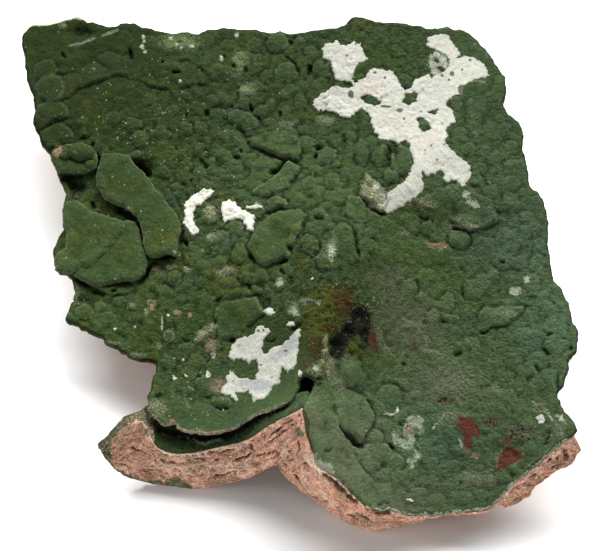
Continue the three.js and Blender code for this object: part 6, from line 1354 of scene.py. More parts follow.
PALE_LINES = [  # thin pale edges and veins: kind, line, half width in px
    ("edge", [(174.3, 335.7), (172.7, 339.5), (169, 341), (165.3, 339.5), (163.7, 335.7), (165.3, 332), (169, 330.4), (172.7, 332), (174.3, 335.7)], 0.9),
    ("chalk", [(215.2, 355.3), (213, 358), (210.8, 355.3), (213, 352.6), (215.2, 355.3)], 0.7), ("edge", [(127.5, 307), (131, 303.5), (135, 307.5)], 0.9),
    ("edge", [(186, 385), (189, 386.5), (192, 388.5)], 0.8), ("edge", [(170.5, 397), (172.6, 396), (174.6, 398)], 0.8), ("edge", [(183.5, 279), (185.5, 277), (188, 277)], 0.8),
    ("chalk", [(299, 301), (306, 299.5), (313, 301), (319, 304)], 0.9), ("edge", [(379, 333), (384, 343), (386, 356)], 0.8), ("edge", [(184, 397.5), (186, 402), (190, 409)], 0.8),
    ("edge", [(69.7, 45.5), (81, 43.4), (94, 38.3)], 1.3), ("edge", [(102, 35.7), (118, 30)], 1.3), ("chalk", [(432.7, 428.4), (439, 422), (444, 414.4)], 0.9),
    ("edge", [(380, 331), (385, 344.5), (391, 354), (398, 361)], 0.8), ("edge", [(401, 317), (414.3, 323.4), (420.9, 331.3), (426, 338), (427.4, 344.5)], 0.8),
    ("edge", [(422.4, 346.8), (435, 351), (446.7, 355.7)], 0.8), ("chalk", [(162, 317), (162, 329)], 0.9), ("edge", [(500, 449), (512, 444), (524, 455)], 0.9),
    ("edge", [(294, 304), (308, 300.3), (320, 304)], 1.2), ("edge", [(359, 197), (372, 204), (384, 212)], 0.9), ("chalk", [(459, 439), (462, 446)], 0.8),
    ("edge", [(365, 173), (376, 183), (386, 192)], 1.0), ("redox", [(305, 412), (309, 424), (308, 436), (312, 447), (316, 456)], 0.9), ("edge", [(472, 82), (478, 80.5), (485, 82)], 0.9), ("chalk", [(256, 203), (262, 208)], 1.4),
    ("chalk", [(28, 26), (34, 24.5), (46, 24.5), (56, 22), (64, 20), (74, 17.5), (82, 19)], 1.2), ("edge", [(436, 27.5), (448, 26.5), (458, 29.5)], 1.6),
    ("chalk", [(545, 411), (549, 415), (553, 420.5)], 1.1), ("chalk", [(556, 415.5), (561, 417), (566, 424)], 1.2), ("chalk", [(557, 423), (561, 429), (563, 435)], 1.0),
    ("chalk", [(533, 401), (537, 405.5)], 0.9), ("pale", [(488, 506), (497, 499), (505, 490), (513, 481), (522, 472), (531, 463), (541, 456), (552, 448)], 0.8),
    ("pale", [(497, 469), (496.5, 460), (502, 450), (509, 445), (517, 448), (523, 456.5), (518, 462), (512, 466), (505, 469)], 0.7),
    ("pale", [(544, 448), (548, 441), (553, 434)], 0.7), ("chalk", [(393, 430), (398, 440), (405, 448)], 1.0),
    ("chalk", [(385, 412), (390, 414.5), (396, 413)], 0.8),
    ("edge", [(540, 437), (549, 431)], 0.8), ("edge", [(371, 416), (371, 430), (363, 445)], 0.8), ("edge", [(91, 285), (99, 288), (109, 292.5)], 1.0),
]
PEAK_FOOT = [(311, 452), (317, 457), (326, 462), (333, 468), (334, 475), (328, 474), (318, 468), (311, 461)]
LIP_EDGE = [(152, 415), (158, 421), (164, 425), (171, 423.5), (178, 428), (184.3, 431.3), (194.5, 432.9), (209.8, 434), (222.6, 431.8), (235.3, 427),
            (248, 418.5), (260.8, 411.5), (273.6, 407.5), (284, 402)]


STAIN_KINDS = ("olive", "redox", "umber", "brick", "rust", "flesh", "stone", "pale", "chalk", "edge", "painted_hole_shade", "blush", "shell", "lime", "teal", "drab", "glint", "seam", "dots", "mint")


def masks_at(r):
    """Material masks for relief points."""
    u, v = r["u"], r["v"]
    out = {k: np.zeros(len(u)) for k in STAIN_KINDS}
    for kind, shape in STAINS:
        if isinstance(shape, tuple):
            a, b, ru, rv = shape
            k = near(u, v, [(a, b)], 2 * max(ru, rv))
            d = np.hypot((u[k] - a) / ru, (v[k] - b) / rv)
            w = np.clip(1.15 - 0.65 * d, 0, 1)
        else:
            k = near(u, v, shape, 7)
            w = np.clip(0.5 + area_field(u[k], v[k], shape) / {"olive": 12.0, "redox": 12.0, "painted_hole_shade": 7.0}.get(kind, 5.0), 0, 1)
        out[kind][k] = np.maximum(out[kind][k], w)
    for kind, line, width in PALE_LINES:
        k = near(r["u0"], r["v0"], line, 5)
        d, _, _ = line_field(r["u0"][k], r["v0"][k], line)
        out[kind][k] = np.maximum(out[kind][k], np.clip(1.1 - 0.6 * d / width, 0, 1))
    k = near(r["u0"], r["v0"], LIP_EDGE, 6)
    d, _, _ = line_field(r["u0"][k], r["v0"][k], LIP_EDGE)
    out["edge"][k] = np.maximum(out["edge"][k], np.clip(1.1 - 0.5 * d / 1.2, 0, 1))
    k = near(r["u0"], r["v0"], PEAK_FOOT, 8)
    w = np.clip(0.45 + (area_field(r["u0"][k], r["v0"][k], PEAK_FOOT) + 6.0 * fbm(r["p"][k] / 1.0, 3, 56)) / 4.0, 0, 1)
    out["chalk"][k] = np.maximum(out["chalk"][k], 1.15 * w)
    out["shell"][k] = np.maximum(out["shell"][k], 0.9 * w)
    out["rim"] = r["rim"]
    t = by_region(u, v, TONE_AND_LIGHT, 42)
    out["tone_and_light"] = t[:, 0]
    out["warm"] = t[:, 1]
    out["frost_and_sheen"] = t[:, 2]
    out["rough"] = np.clip(1 - 0.45 * r["calm"], 0, 1) * np.clip(r["grow"][:, 3], 0.15, 1.2)
    out["speck"] = np.exp(-((u - 170) / 110) ** 2 - ((v - 150) / 130) ** 2) + 1.1 * np.exp(-((u - 200) / 55) ** 2 - ((v - 405) / 45) ** 2)
    return out


# ---------------------------------------------------------------------------------------------
# Pieces
# ---------------------------------------------------------------------------------------------
DETAIL = 1.0


def draped(points, lift=0.0):
    p = np.array(points, float)
    x, y, z = drape(p[:, 0], p[:, 1], lift)
    return np.c_[x, y, z]


def placed(points):
    p = np.array(points, float)
    x, y = at_height(p[:, 0], p[:, 1], p[:, 2])
    return np.c_[x, y, p[:, 2]]


CRUST_RING = np.vstack([draped(SILHOUETTE), placed(FRONT_RIM), draped(HOLE_EDGE), placed(FREE_LIP), draped(LEFT_EDGE)])[:, :2]


def sheet_thickness(x, y):
    u, v = to_plane(x, y, crust_base(x, y))
    d = np.minimum(line_field(u, v, RIM_LINE)[0], line_field(u, v, LIP_LINE)[0])
    return 0.48 + 0.75 * smooth((d - 4) / 34)


def finish_attributes(verts, faces, part, masks, h, top_count, edge_pale=0.55):
    """Spreads the top's masks to the edge and underside and adds the cavity mask, which the finishes use for painted
    shade in the hollows.
    """
    n = len(verts)
    out = {}
    for k, w in masks.items():
        a = np.zeros(n)
        a[:top_count] = w
        out[k] = a
    rest = slice(top_count, n)
    out["tone_and_light"][rest] = 0.8
    out["warm"][rest] = 0.5
    out["frost_and_sheen"][rest] = 0.2
    out["rough"][rest] = 1.0
    out["edge"][rest] = edge_pale
    height = np.zeros(n)
    height[:top_count] = h
    low = smoothed(height, faces, n, 10)
    cav = height - low
    cav[rest] = 0
    wide = smoothed(height, faces, n, 45)
    out["cavity"] = np.clip(cav * 1.0 + 0.35 * np.where(np.arange(n) < top_count, height - wide, 0), -0.6, 0.5)
    return out


def build_crust():
    ring = settled(resample(CRUST_RING, 0.30 * DETAIL, jitter=0.16, seed=1))
    kept = {}

    def top(x, y):
        r = relief(x, y)
        d = edge_distance(x, y, ring[:, :2])
        r["h"] = r["h"] * smooth(0.35 + d / 1.6) - 0.30 * np.maximum(0, 1 - d / 0.6) ** 2
        kept.update(r)
        return r["p"] + r["n"] * r["h"][:, None]

    def bottom(x, y):
        r = relief(x, y)
        z = crust_base(x, y)
        return np.c_[x, y, z - np.maximum(sheet_thickness(x, y), 0.45 - r["h"])]

    verts, faces, part = closed_sheet([ring], 0.285 * DETAIL, top, bottom, 4, 5, bulge=0.05, rough=0.12)
    att = finish_attributes(verts, faces, part, masks_at(kept), kept["h"], len(kept["h"]), 0.42)
    pu, pv = to_plane(verts[:, 0], verts[:, 1], verts[:, 2])
    lip = [(q[0], q[1]) for q in FREE_LIP]
    k = near(pu, pv, lip, 8)
    k = k[part[k] < 1.5]
    d, _, _ = line_field(pu[k], pv[k], lip)
    d += 0.8 * fbm(verts[k] / 0.9, 3, 57)
    broad_lip = 1 + 0.9 * np.exp(-((pu[k] - 205) / 22) ** 2)
    w = np.where(part[k] > 0.5, np.clip(1.6 - d / 4.0, 0, 1), np.clip(1.3 - d / (1.6 * broad_lip), 0, 1))
    w = w * smooth((293 - pu[k]) / 14)
    att["shell"][k] = np.maximum(att["shell"][k], w)
    att["edge"][k] *= 1 - w
    # The broken edge along the front shows paler.
    line = [(q[0], q[1]) for q in FRONT_RIM]
    k = near(pu, pv, line, 7)
    k = k[part[k] < 1.5]
    d, _, _ = line_field(pu[k], pv[k], line)
    d += 0.9 * fbm(verts[k] / 0.9, 3, 58)
    w = np.where(part[k] > 0.5, np.clip(1.6 - d / 3.5, 0, 1), np.clip(1.25 - d / 1.6, 0, 1))
    left = smooth((372 - pu[k]) / 12)
    att["shell"][k] = np.maximum(att["shell"][k], 0.8 * w * left * smooth((pv[k] - 440) / 16))
    att["seam"][k] = np.maximum(att["seam"][k], w * (1 - left))
    return make_object("botryoidal_crust", verts, faces, att, "mottramite_crust", CRUST)


def plate_piece(outline, lift, thick, tilt, seed, attach, crown=0.35, domes=()):
    """One raised sheet with a rounded lip; it grows out of the crust at its middle."""
    ring_px = np.array(outline, float)
    xyz = draped(outline, lift)
    ring = settled(resample(xyz[:, :2], 0.26 * DETAIL, jitter=0.18, seed=seed))
    kept = {}

    def surface(x, y):
        p, n = base_frame(x, y)
        u, v = to_plane(x, y, p[:, 2] + lift)
        gu, gv = ring_px.mean(0)
        return p, n, u, v, lift + tilt[0] * (u - gu) + tilt[1] * (v - gv)

    def top(x, y):
        p, n, u, v, level = surface(x, y)
        d = edge_distance(x, y, ring[:, :2])
        e = 1 - np.clip(d / 1.3, 0, 1)
        mid, mid_id = caps3((p + 0.3 * np.c_[fbm(p / 1.5, 2, 61), fbm(p / 1.5, 2, 62), fbm(p / 1.5, 2, 63)]) / 1.3, 400 + seed)
        big, _ = caps3(p / 3.6, 430 + seed)
        h = level + crown * np.sqrt(np.maximum(1 - e ** 2.2, 0)) + 0.10 * (mid - 0.4) + 0.22 * (big - 0.4) + 0.16 * fbm(p / 3.2, 3, 70 + seed)
        h += 0.05 * fbm(p / 0.5, 3, 71)
        for a, b, ru, rv, amount in domes:
            q = np.hypot((u - a) / ru, (v - b) / rv)
            h += amount * np.sqrt(np.maximum(1 - q * q, 0)) - 0.15 * np.exp(-((q - 1.1) / 0.13) ** 2)
        kept.update({"p": p, "n": n, "h": h, "u": u, "v": v, "u0": u, "v0": v, "calm": np.full(len(u), 0.55),
                     "grow": np.tile([0.1, 0.1, 0.1, 0.35], (len(u), 1)), "d": d, "rim": np.zeros(len(u))})
        return p + n * h[:, None]

    def bottom(x, y):
        p, n, u, v, level = surface(x, y)
        d = edge_distance(x, y, ring[:, :2])
        down = level + crown * 0.3 - thick
        return p + n * (down - attach * smooth((d - 0.6) / 1.6))[:, None]

    verts, faces, part = closed_sheet([ring], 0.26 * DETAIL, top, bottom, 4, seed, coarse=1.2, bulge=0.08, rough=0.14)
    masks = masks_at(kept)
    masks["edge"] = np.maximum(masks["edge"], 0.62 * np.clip(1.2 - kept["d"] / 0.35, 0, 1))
    att = finish_attributes(verts, faces, part, masks, kept["h"], len(kept["h"]), 0.3)
    return verts, faces, att


def build_plates():
    v, f, a = plate_piece(PLATE_UPPER, 1.25, 0.9, (0.0, 0.004), 11, 1.7, 0.45)
    make_object("upper_left_plate", v, f, a, "upper_left_crust_plate", CRUST)
    low = plate_piece(PLATE_LOWER_BASE, 0.75, 0.8, (0.0, 0.004), 12, 1.4, 0.5)
    high = plate_piece(PLATE_LOWER_TOP, 1.35, 0.85, (0.004, 0.0), 13, 1.8, 0.4)
    v, f, a = merge([low, high])
    make_object("lower_left_plate", v, f, a, "lower_left_crust_plate", CRUST)
    v, f, a = plate_piece(SHELF, 1.0, 0.9, (0.0, 0.0), 14, 1.6, 0.35, [(82.5, 151, 12, 10, 0.9), (67, 153, 7, 6, 0.45), (91, 163, 5, 4, 0.3)])
    make_object("left_shelf", v, f, a, "left_crust_shelf", CRUST)


def lining_height(x, y):
    """Height of the lining of the left trough, and how far a point is from it."""
    e = placed([p[:3] for p in LINING] + [(297, 410.5, 19.2), (303, 407.8, 20.4)])
    depth = np.array([p[3] for p in LINING] + [1.6, 1.6])
    ex, ey, ez = e.T
    order = np.argsort(ex)
    ex, ey, ez, depth = ex[order], ey[order], ez[order], depth[order]
    fy = np.interp(x, ex, ey)
    z = np.interp(x, ex, ez)
    d = y - fy
    side = np.maximum(0, ex[0] - 0.6 - x) + np.maximum(0, x - ex[-1] - 3.0)
    low = z + 0.10 * d + 0.35 * np.maximum(0, d - 7.5) + 1.1 * side
    u, v = to_plane(x, y, low)
    h = crust_base(x, y)
    over = smooth((u - 288) / 18)
    hole = np.exp(-((u - 307) / 11) ** 2 - ((v - 381) / 9) ** 2)
    sink = over * np.maximum(smooth((u - 307) / 5) * smooth((d - 0.5) / 0.8), smooth((d - 3.2) / 1.0))
    roof = h - 0.10 - 1.05 * (1 - over) - 1.4 * sink - 3.6 * hole * smooth((d - 3.0) / 1.0)
    return np.minimum(low, np.where(d > 0.2, np.maximum(roof, z - 0.4 - 6.0 * sink), 1e3)), d


def build_lining():
    front = placed([p[:3] for p in LINING] + [(297, 410.5, 19.2), (303, 407.8, 20.4)])[:, :2]
    front[:, 1] += 0.12
    back = []
    reach = [6.5, 6.8, 7, 7, 7, 6.8, 6.3, 5.8, 5.4, 5.2, 5.0, 5.2, 5.2, 5.0, 4.8, 4.6, 4.2, 3.6, 2.8, 2.4]
    for (x, y), d in zip(front, reach):
        back.append((x + 0.06 * d, y + d))
    right = [tuple(q) for q in draped([(307.5, 404), (312.5, 397), (318.5, 390), (320.5, 382), (317, 374.5), (309, 371), (300, 371.5), (294, 376),
                                       (292, 383), (290.5, 390)])[:, :2]]
    ring = settled(resample(np.array(list(front) + right + back[:-3][::-1]), 0.28 * DETAIL, jitter=0.05, seed=3))
    kept = {}

    def top(x, y):
        z, _ = lining_height(x, y)
        p = np.c_[x, y, z]
        u, v = to_plane(x, y, z)
        h = 0.10 * fbm(p / np.array([3.0, 1.2, 1.5]), 3, 81) + 0.03 * fbm(p / 0.4, 3, 82) - 0.10 * np.maximum(0, 1 - edge_distance(x, y, ring) / 0.4)
        # A small curled flake lies on it below the lip.
        k = near(u, v, [(197, 441), (222, 439)], 5)
        d, _, t = line_field(u[k], v[k], [(196.5, 440.5), (200, 443), (206, 444), (213, 440.5), (222, 439)])
        h[k] += 0.5 * np.exp(-(d / 1.3) ** 2)
        kept.update({"p": p, "h": h, "u": u, "v": v, "u0": u, "v0": v, "calm": np.full(len(u), 0.8), "grow": np.tile([0.05, 0.05, 0.05, 0.4], (len(u), 1)), "rim": np.zeros(len(u))})
        flake = np.zeros(len(u))
        flake[k] = np.clip(1.1 - 0.5 * d / 1.2, 0, 1)
        kept["flake"] = flake
        return p + np.c_[np.zeros(len(u)), np.zeros(len(u)), h]

    def bottom(x, y):
        z, _ = lining_height(x, y)
        return np.c_[x, y, z - 0.42]

    verts, faces, part = closed_sheet([ring], 0.26 * DETAIL, top, bottom, 2, 21, coarse=1.5, bulge=0.03, rough=0.05)
    masks = masks_at(kept)
    for k in STAIN_KINDS:
        masks[k][:] = 0
    masks["chalk"] = 0.35 * kept["flake"]
    masks["pale"] = 0.9 * kept["flake"]
    masks["rough"][:] = 0.8
    masks["speck"][:] = 1.0
    # Painted shadow under the lip and painted shade in the hollow at the trough's end: the lining is darkened there.
    gap, _, _ = line_field(kept["u"], kept["v"], [(158, 430), (170, 433), (185, 437), (200, 438), (214, 438), (227, 436), (240, 429), (254, 420.5), (270, 413), (284, 406)])
    hollow = np.hypot((kept["u"] - 307) / 10.0, (kept["v"] - 381) / 6.5)
    masks["painted_hole_shade"] = np.clip(np.maximum(1.25 - gap / 4.0, 2.0 - 1.3 * hollow) + 0.5 * fbm(kept["p"] / 1.5, 3, 83), 0, 1)
    masks["edge"] = 0.35 * np.clip(1.2 - edge_distance(kept["p"][:, 0], kept["p"][:, 1], ring) / 0.3, 0, 1)
    # Darker to the left, brighter to the right.
    masks["tone_and_light"] = 0.75 + 0.45 * smooth((kept["u"] - 235) / 40)
    att = finish_attributes(verts, faces, part, masks, kept["h"], len(kept["h"]), 0.2)
    return make_object("trough_lining", verts, faces, att, "trough_lining_crust", LINING_DARK)


# ---------------------------------------------------------------------------------------------
# Dolomite matrix
# ---------------------------------------------------------------------------------------------
GREEN_WALL = [  # green and dark green on the broken face: outline in the picture and strength
    ([(138, 484.5), (150, 484.5), (162, 484), (166, 480.5), (172, 477.5), (180, 479.5), (187, 485), (195, 489), (205, 490.5), (205, 495), (180, 496), (150, 492)], 1.0),
    ([(95, 440), (99, 444), (103, 449), (108, 458), (114, 465), (120, 471), (117, 476), (108, 469), (100, 458), (94, 446)], 0.9),
    ([(96, 441), (104, 434), (112, 430), (116, 434), (112, 442), (109, 450), (113, 458), (109, 463), (100, 453)], 1.0),
    ([(111, 465), (120, 471.5), (130, 476), (145, 479), (160, 480), (162, 484.5), (148, 484.5), (130, 482), (114, 475)], 0.85),
    ([(293, 428), (299, 427), (304, 432), (302, 439), (296, 438)], 0.75),
    ([(239, 445), (246, 443), (249, 448), (246, 455), (240, 454)], 0.55),
    ([(143, 425), (148, 428), (152, 437), (149, 441), (144, 434)], 0.5),
    ([(303, 407), (309, 410), (309, 424), (306, 430), (303, 420)], 0.35),
]
BROWN_WALL = [(122, 443, 13, 8), (138, 433, 9, 8), (111, 452, 6, 8), (163, 458, 9, 5), (196, 462, 12, 5), (230, 457, 10, 5), (219, 480, 16, 5), (287, 422, 9, 3),
              (279, 431, 9, 3), (300, 455, 6, 9), (341, 492, 7, 8), (372, 520, 20, 6), (392, 522, 12, 4), (556, 463, 10, 5), (512, 500, 14, 4), (538, 486, 8, 4),
              (150, 474, 12, 6), (258, 463, 8, 4)]
PALE_WALL = [([(237, 441.5), (245.5, 439), (258, 431), (268.5, 426), (277, 421), (286, 414.7), (296.6, 409.6), (304, 408.3)], 2.6, 0.8),
             ([(303, 457), (311, 462), (319, 468), (328, 476)], 4.5, 1.0), ([(145, 426), (150, 438), (156, 447), (165, 453), (178, 456.3), (190, 456.5), (204, 453), (218, 450.5), (232, 449), (244, 446)], 2.2, 1.0),
             ([(330, 474), (340, 483), (352, 494), (366, 505)], 2.2, 0.7), ([(113, 441), (122, 432), (131, 425.5), (141, 422), (147, 431)], 1.5, 0.5),
             ([(572, 438), (556, 449), (540, 463), (526, 475), (511, 487), (500, 498)], 3.0, 0.7), ([(160, 466), (190, 468), (225, 466), (250, 468)], 5.0, 0.6),
             ([(283, 445), (286, 455), (281, 464)], 3.5, 0.6), ([(302, 475), (315, 490), (330, 505)], 4.0, 0.5)]


def inward(ring, reach):
    n = len(ring)
    t = np.zeros((n, 2))
    for k in range(1, reach + 1):
        d = np.roll(ring[:, :2], -k, axis=0) - np.roll(ring[:, :2], k, axis=0)
        t += d / (np.linalg.norm(d, axis=1)[:, None] + 1e-9) / math.sqrt(k)
    t /= np.linalg.norm(t, axis=1)[:, None] + 1e-9
    return np.c_[-t[:, 1], t[:, 0]]


def averaged(ring, times):
    for _ in range(times):
        ring = 0.5 * ring + 0.25 * np.roll(ring, 1, axis=0) + 0.25 * np.roll(ring, -1, axis=0)
    return ring


def wall_columns():
    """Upper and lower points of the matrix's side, counter-clockwise, and how many belong to the visible front."""
    w = np.array(FRONT_WALL, float)
    front = np.c_[placed(w[:, 0:3]), placed(w[:, 3:6])]
    x, y = front[:, 0], front[:, 1]
    under_crust = w[:, 0] > 302.5
    room = crust_base(x, y) - sheet_thickness(x, y) - 0.05
    front[:, 2] = np.where(under_crust, np.minimum(front[:, 2], room), front[:, 2] - np.where(w[:, 0] > 150, 0.16, 0.0))
    front = resample(front, 0.21 * DETAIL, closed=False)
    hid = np.vstack([draped(SILHOUETTE)[::-1][1:], draped(LEFT_EDGE)[::-1]])[:, :2]
    rim = placed(OUTER_RIM)
    keep = np.hypot(*(hid - hid[-1]).T)
    path = resample(np.vstack([hid, rim[:1, :2]]), 0.55 * DETAIL, closed=False)
    path = np.vstack([path[:1], averaged(path, 3)[1:-1], path[-1:]])
    full = np.vstack([front[:, :2], path, rim[1:, :2]])
    nrm = inward(full, 6)[len(front):len(front) + len(path)]
    fade = np.minimum(1, np.arange(len(path))[::-1] / 6.0)
    path = path + nrm * (0.42 * fade)[:, None]
    z = crust_base(path[:, 0], path[:, 1]) - sheet_thickness(path[:, 0], path[:, 1]) + 0.12
    z = np.where(fade < 1, np.minimum(z, 10.1), z)
    side_t = np.c_[path, z]
    rim = resample(rim, 0.35 * DETAIL, closed=False)[1:]
    hidden_t = np.vstack([side_t[2:], rim])
    full = np.vstack([front[:, :3], hidden_t])
    nrm = inward(full, 16)[len(front):]
    x, y = hidden_t[:, 0], hidden_t[:, 1]
    lobe = np.arange(len(hidden_t)) >= len(side_t) - 2
    notch = (x > -32.5) & (x < -22) & (y < 0)
    ins = np.select([lobe, notch, (x < -22) & (y < 8), x < -30, y > 33, x > 20], [1.6, 1.9, 2.4, 3.0, 3.2, 3.0], 3.0)
    th = np.select([lobe, notch, (x < -22) & (y < 8), x < -30, y > 33, x > 20], [3.6, 4.0, 3.4, 6.5, 11 + 2.5 * np.sin(0.21 * x), 7.5 + 1.5 * np.sin(0.3 * y)], 8.0)
    wob = np.c_[hidden_t[:, :2] / 4.0, np.zeros(len(x))]
    th = th * (1 + 0.2 * fbm(wob, 2, 610))
    ins = ins * (1 + 0.3 * fbm(wob, 2, 611))
    ends = np.minimum(1, np.arange(len(x)) / 14.0)
    low = np.c_[hidden_t[:, :2] + nrm * (ins * (0.35 + 0.65 * ends))[:, None], np.maximum(hidden_t[:, 2] - th * (0.25 + 0.75 * ends), 1.6)]
    ring_b = np.vstack([front[:, 3:6], low])
    soft = averaged(ring_b, 16)
    a = len(front)
    ring_b[a:] = soft[a:]
    ring_t = np.vstack([front[:, :3], hidden_t])
    return ring_t, ring_b, a


def build_matrix():
    ring_t, ring_b, n_front = wall_columns()
    n = len(ring_t)
    rows = 48
    jit = np.c_[ring_t[:, :2] / 0.9, np.zeros(n)]
    soft = np.minimum(1, np.minimum(np.arange(n), n - np.arange(n)) / 8.0)
    ring_t[:, 0] += 0.10 * fbm(jit, 2, 620)
    ring_t[:, 1] += 0.10 * fbm(jit, 2, 621)
    ring_b[:, 0] += 0.16 * fbm(jit * 1.1, 2, 622) * soft
    ring_b[:, 1] += 0.16 * fbm(jit * 1.1, 2, 623) * soft
    ring_b[:, 2] = np.maximum(ring_b[:, 2] + np.where(ring_b[:, 2] > 0.3, 0.25 * fbm(jit * 0.7, 2, 624), 0), 0)
    t = (np.arange(rows + 1) / rows)[:, None, None]
    grid = ring_t[None] * (1 - t) + ring_b[None] * t
    hidden = (np.arange(n) >= n_front).astype(float)
    out2 = -inward(ring_t, 10)
    slim = (ring_t[:, 0] < -22) & (ring_t[:, 1] < 8)
    swell = np.sin(math.pi * t[:, :, 0]) * (0.15 + np.where(slim, 0.12, 0.75) * hidden)[None]
    grid[:, :, 0] += out2[None, :, 0] * swell
    grid[:, :, 1] += out2[None, :, 1] * swell
    di = np.roll(grid, -2, axis=1) - np.roll(grid, 2, axis=1)
    dr = np.gradient(grid, axis=0)
    nrm = np.cross(di, -dr)
    nrm /= np.linalg.norm(nrm, axis=2)[:, :, None] + 1e-9
    flat = grid.reshape(-1, 3)
    tt = np.broadcast_to(t[:, :, 0], (rows + 1, n)).ravel()
    col = np.tile(np.arange(n), rows + 1)
    p = flat
    warp = p + 0.25 * np.c_[fbm(p / 1.0, 2, 631), fbm(p / 1.0, 2, 632), fbm(p / 1.0, 2, 633)]
    disp = 0.42 * fbm(p / 2.4, 3, 641)
    f1, f2, own = cells3(warp / 1.05, 651)
    disp += 0.34 * (own - 0.5) - 0.10 * np.exp(-(f2 - f1) / 0.07)
    g1, g2, own2 = cells3(warp / 0.52, 655)
    disp += 0.17 * (own2 - 0.5) - 0.07 * np.exp(-(g2 - g1) / 0.1)
    disp += 0.09 * fbm(p / 0.3, 2, 661)
    # Bedding: low steps that follow the crust above.
    depth = np.broadcast_to(np.linalg.norm(ring_b - ring_t, axis=1)[None], (rows + 1, n)).ravel() * tt
    bed = depth / 1.35 + 0.5 * fbm(p / 6.0, 2, 671)
    disp += 0.20 * (smooth((bed - np.floor(bed)) * 1.6) - 0.5)
    u, v = to_plane(p[:, 0], p[:, 1], p[:, 2])
    uw, vw = u + 0.8 * fbm(p / 1.5, 2, 681), v + 0.8 * fbm(p / 1.5, 2, 682) + 1.6 * fbm(p / 0.7, 3, 683)
    shown = col < n_front
    cut = np.zeros(len(p))
    slit = np.zeros(len(p))
    broken = np.clip(1.0 + 2.2 * fbm(p / 1.1, 2, 684), 0.1, 1.5)
    # Cracks cut into the face; slit marks where the finish paints shade in them, as a wide band below the crust's
    # undercut edge.
    for line, width, deep in WALL_CRACKS:
        k = near(uw, vw, line, 9)
        k = k[shown[k]]
        if len(k):
            d, _, s = line_field(uw[k], vw[k], line)
            ends = smooth(np.minimum(s, 1 - s) / 0.2 + 0.1)
            thin = 0.62 * width * (0.5 + 0.5 * ends) * (broken[k] if width < 2.5 else np.clip(broken[k], 0.7, 1.1))
            cut[k] = np.maximum(cut[k], deep * ends * np.exp(-(d / (thin + 0.25)) ** 2))
            if width < 2.5:
                slit[k] = np.maximum(slit[k], (1.0 if width < 2.0 else 0.95) * ends * np.exp(-(d / (thin + 0.1)) ** 2))
            else:
                slit[k] = np.maximum(slit[k], 1.15 * ends * smooth((width * (0.55 + 0.5 * ends) + 0.9 - d) / 3.2))
    for a, b, ru, rv, deep in WALL_PITS:
        k = near(uw, vw, [(a, b)], 3 * max(ru, rv))
        k = k[shown[k]]
        cut[k] = np.maximum(cut[k], deep * np.exp(-((uw[k] - a) / ru) ** 2 - ((vw[k] - b) / rv) ** 2))
    fade = smooth(tt / 0.05) * smooth((1 - tt) / 0.05)
    top_fade = smooth(tt / 0.03)
    disp = disp * fade - cut * top_fade * smooth((1 - tt) / 0.03)
    moved = flat + nrm.reshape(-1, 3) * disp[:, None]
    moved[:, 2] = np.maximum(moved[:, 2], 0)
    moved[:n] = ring_t
    moved[-n:] = ring_b

    # Upper face: hidden below the crust, open at the left lobe.
    loop_t = moved[:n, :2]
    coarse = grid_inside(loop_t, [], 1.5, 31, 0.5)
    cu, cv = to_plane(coarse[:, 0], coarse[:, 1], crust_base(coarse[:, 0], coarse[:, 1]))
    coarse = coarse[~((cu < 175) & (cv > 395))]
    fine = grid_inside(loop_t, [], 0.32 * DETAIL, 32, 0.5)
    fu, fv = to_plane(fine[:, 0], fine[:, 1], crust_base(fine[:, 0], fine[:, 1]))
    fine = fine[(fu < 172) & (fv > 398)]
    pts, ft = fill([loop_t], np.vstack([coarse, fine]))
    x, y = pts[n:, 0], pts[n:, 1]
    z = crust_base(x, y) - 1.7 - 1.4 * smooth((edge_distance(x, y, loop_t) - 0.8) / 2.0)
    lin, d_front = lining_height(x, y)
    z = np.where(d_front < 16, np.minimum(z, lin - 0.5), z)
    floor_of_crust = np.full(len(x), 1e9)
    for dx, dy in ((0, 0), (1.0, 0), (-1.0, 0), (0, 1.0), (0, -1.0), (0.7, 0.7), (-0.7, 0.7), (0.7, -0.7), (-0.7, -0.7)):
        r = relief(x + dx, y + dy)
        floor_of_crust = np.minimum(floor_of_crust, crust_base(x, y) + r["h"])
    hu, hv = to_plane(x, y, crust_base(x, y))
    z = np.where((hu < 165) & (hv > 395), z, np.minimum(z, floor_of_crust - 0.8))
    z -= 4.2 * np.exp(-((hu - 307) / 18) ** 2 - ((hv - 381) / 14) ** 2)
    sample = np.arange(0, n, 3)
    rt = moved[:n][sample]
    dist = np.hypot(x[:, None] - rt[:, 0], y[:, None] - rt[:, 1])
    wgt = 1 / (dist ** 3 + 1e-3)
    ring_z = (wgt @ rt[:, 2]) / wgt.sum(1)
    near_ring = np.exp(-dist.min(1) / 0.9)
    pu, pv = to_plane(x, y, z)
    lobe = smooth((151 - pu) / 10) * smooth((pv - 398) / 8)
    k = np.maximum(near_ring, lobe)
    z = z * (1 - k) + (ring_z - 0.04) * k
    q = np.c_[x, y, z]
    z += 0.10 * lobe * fbm(q / 0.8, 3, 691) * smooth(dist.min(1) / 0.3)
    upper = np.c_[x, y, z]

    # Underside.
    loop_b = moved[-n:, :2]
    step = 0.85 * DETAIL
    inner = grid_inside(loop_b, [], step, 33, 0.6)
    pts_b, fb = fill([loop_b], inner)
    thin = ring_b[::4]
    floor = Surface(np.vstack([np.array(UNDERSIDE, float), thin]), 0.05)
    x, y = inner[:, 0], inner[:, 1]
    z = floor(x, y)
    d = edge_distance(x, y, loop_b)
    q = np.c_[x, y, z]
    g1, g2, own = cells3(q / 1.9, 701)
    z += smooth(d / 1.5) * (0.5 * fbm(q / 3.5, 3, 702) + 0.35 * (own - 0.5) + 0.22 * fbm(q / 1.0, 2, 703))
    z = np.maximum(z, 0)
    roof = crust_base(x, y) - 4.2
    under = np.c_[x, y, np.minimum(z, np.maximum(roof, 0))]

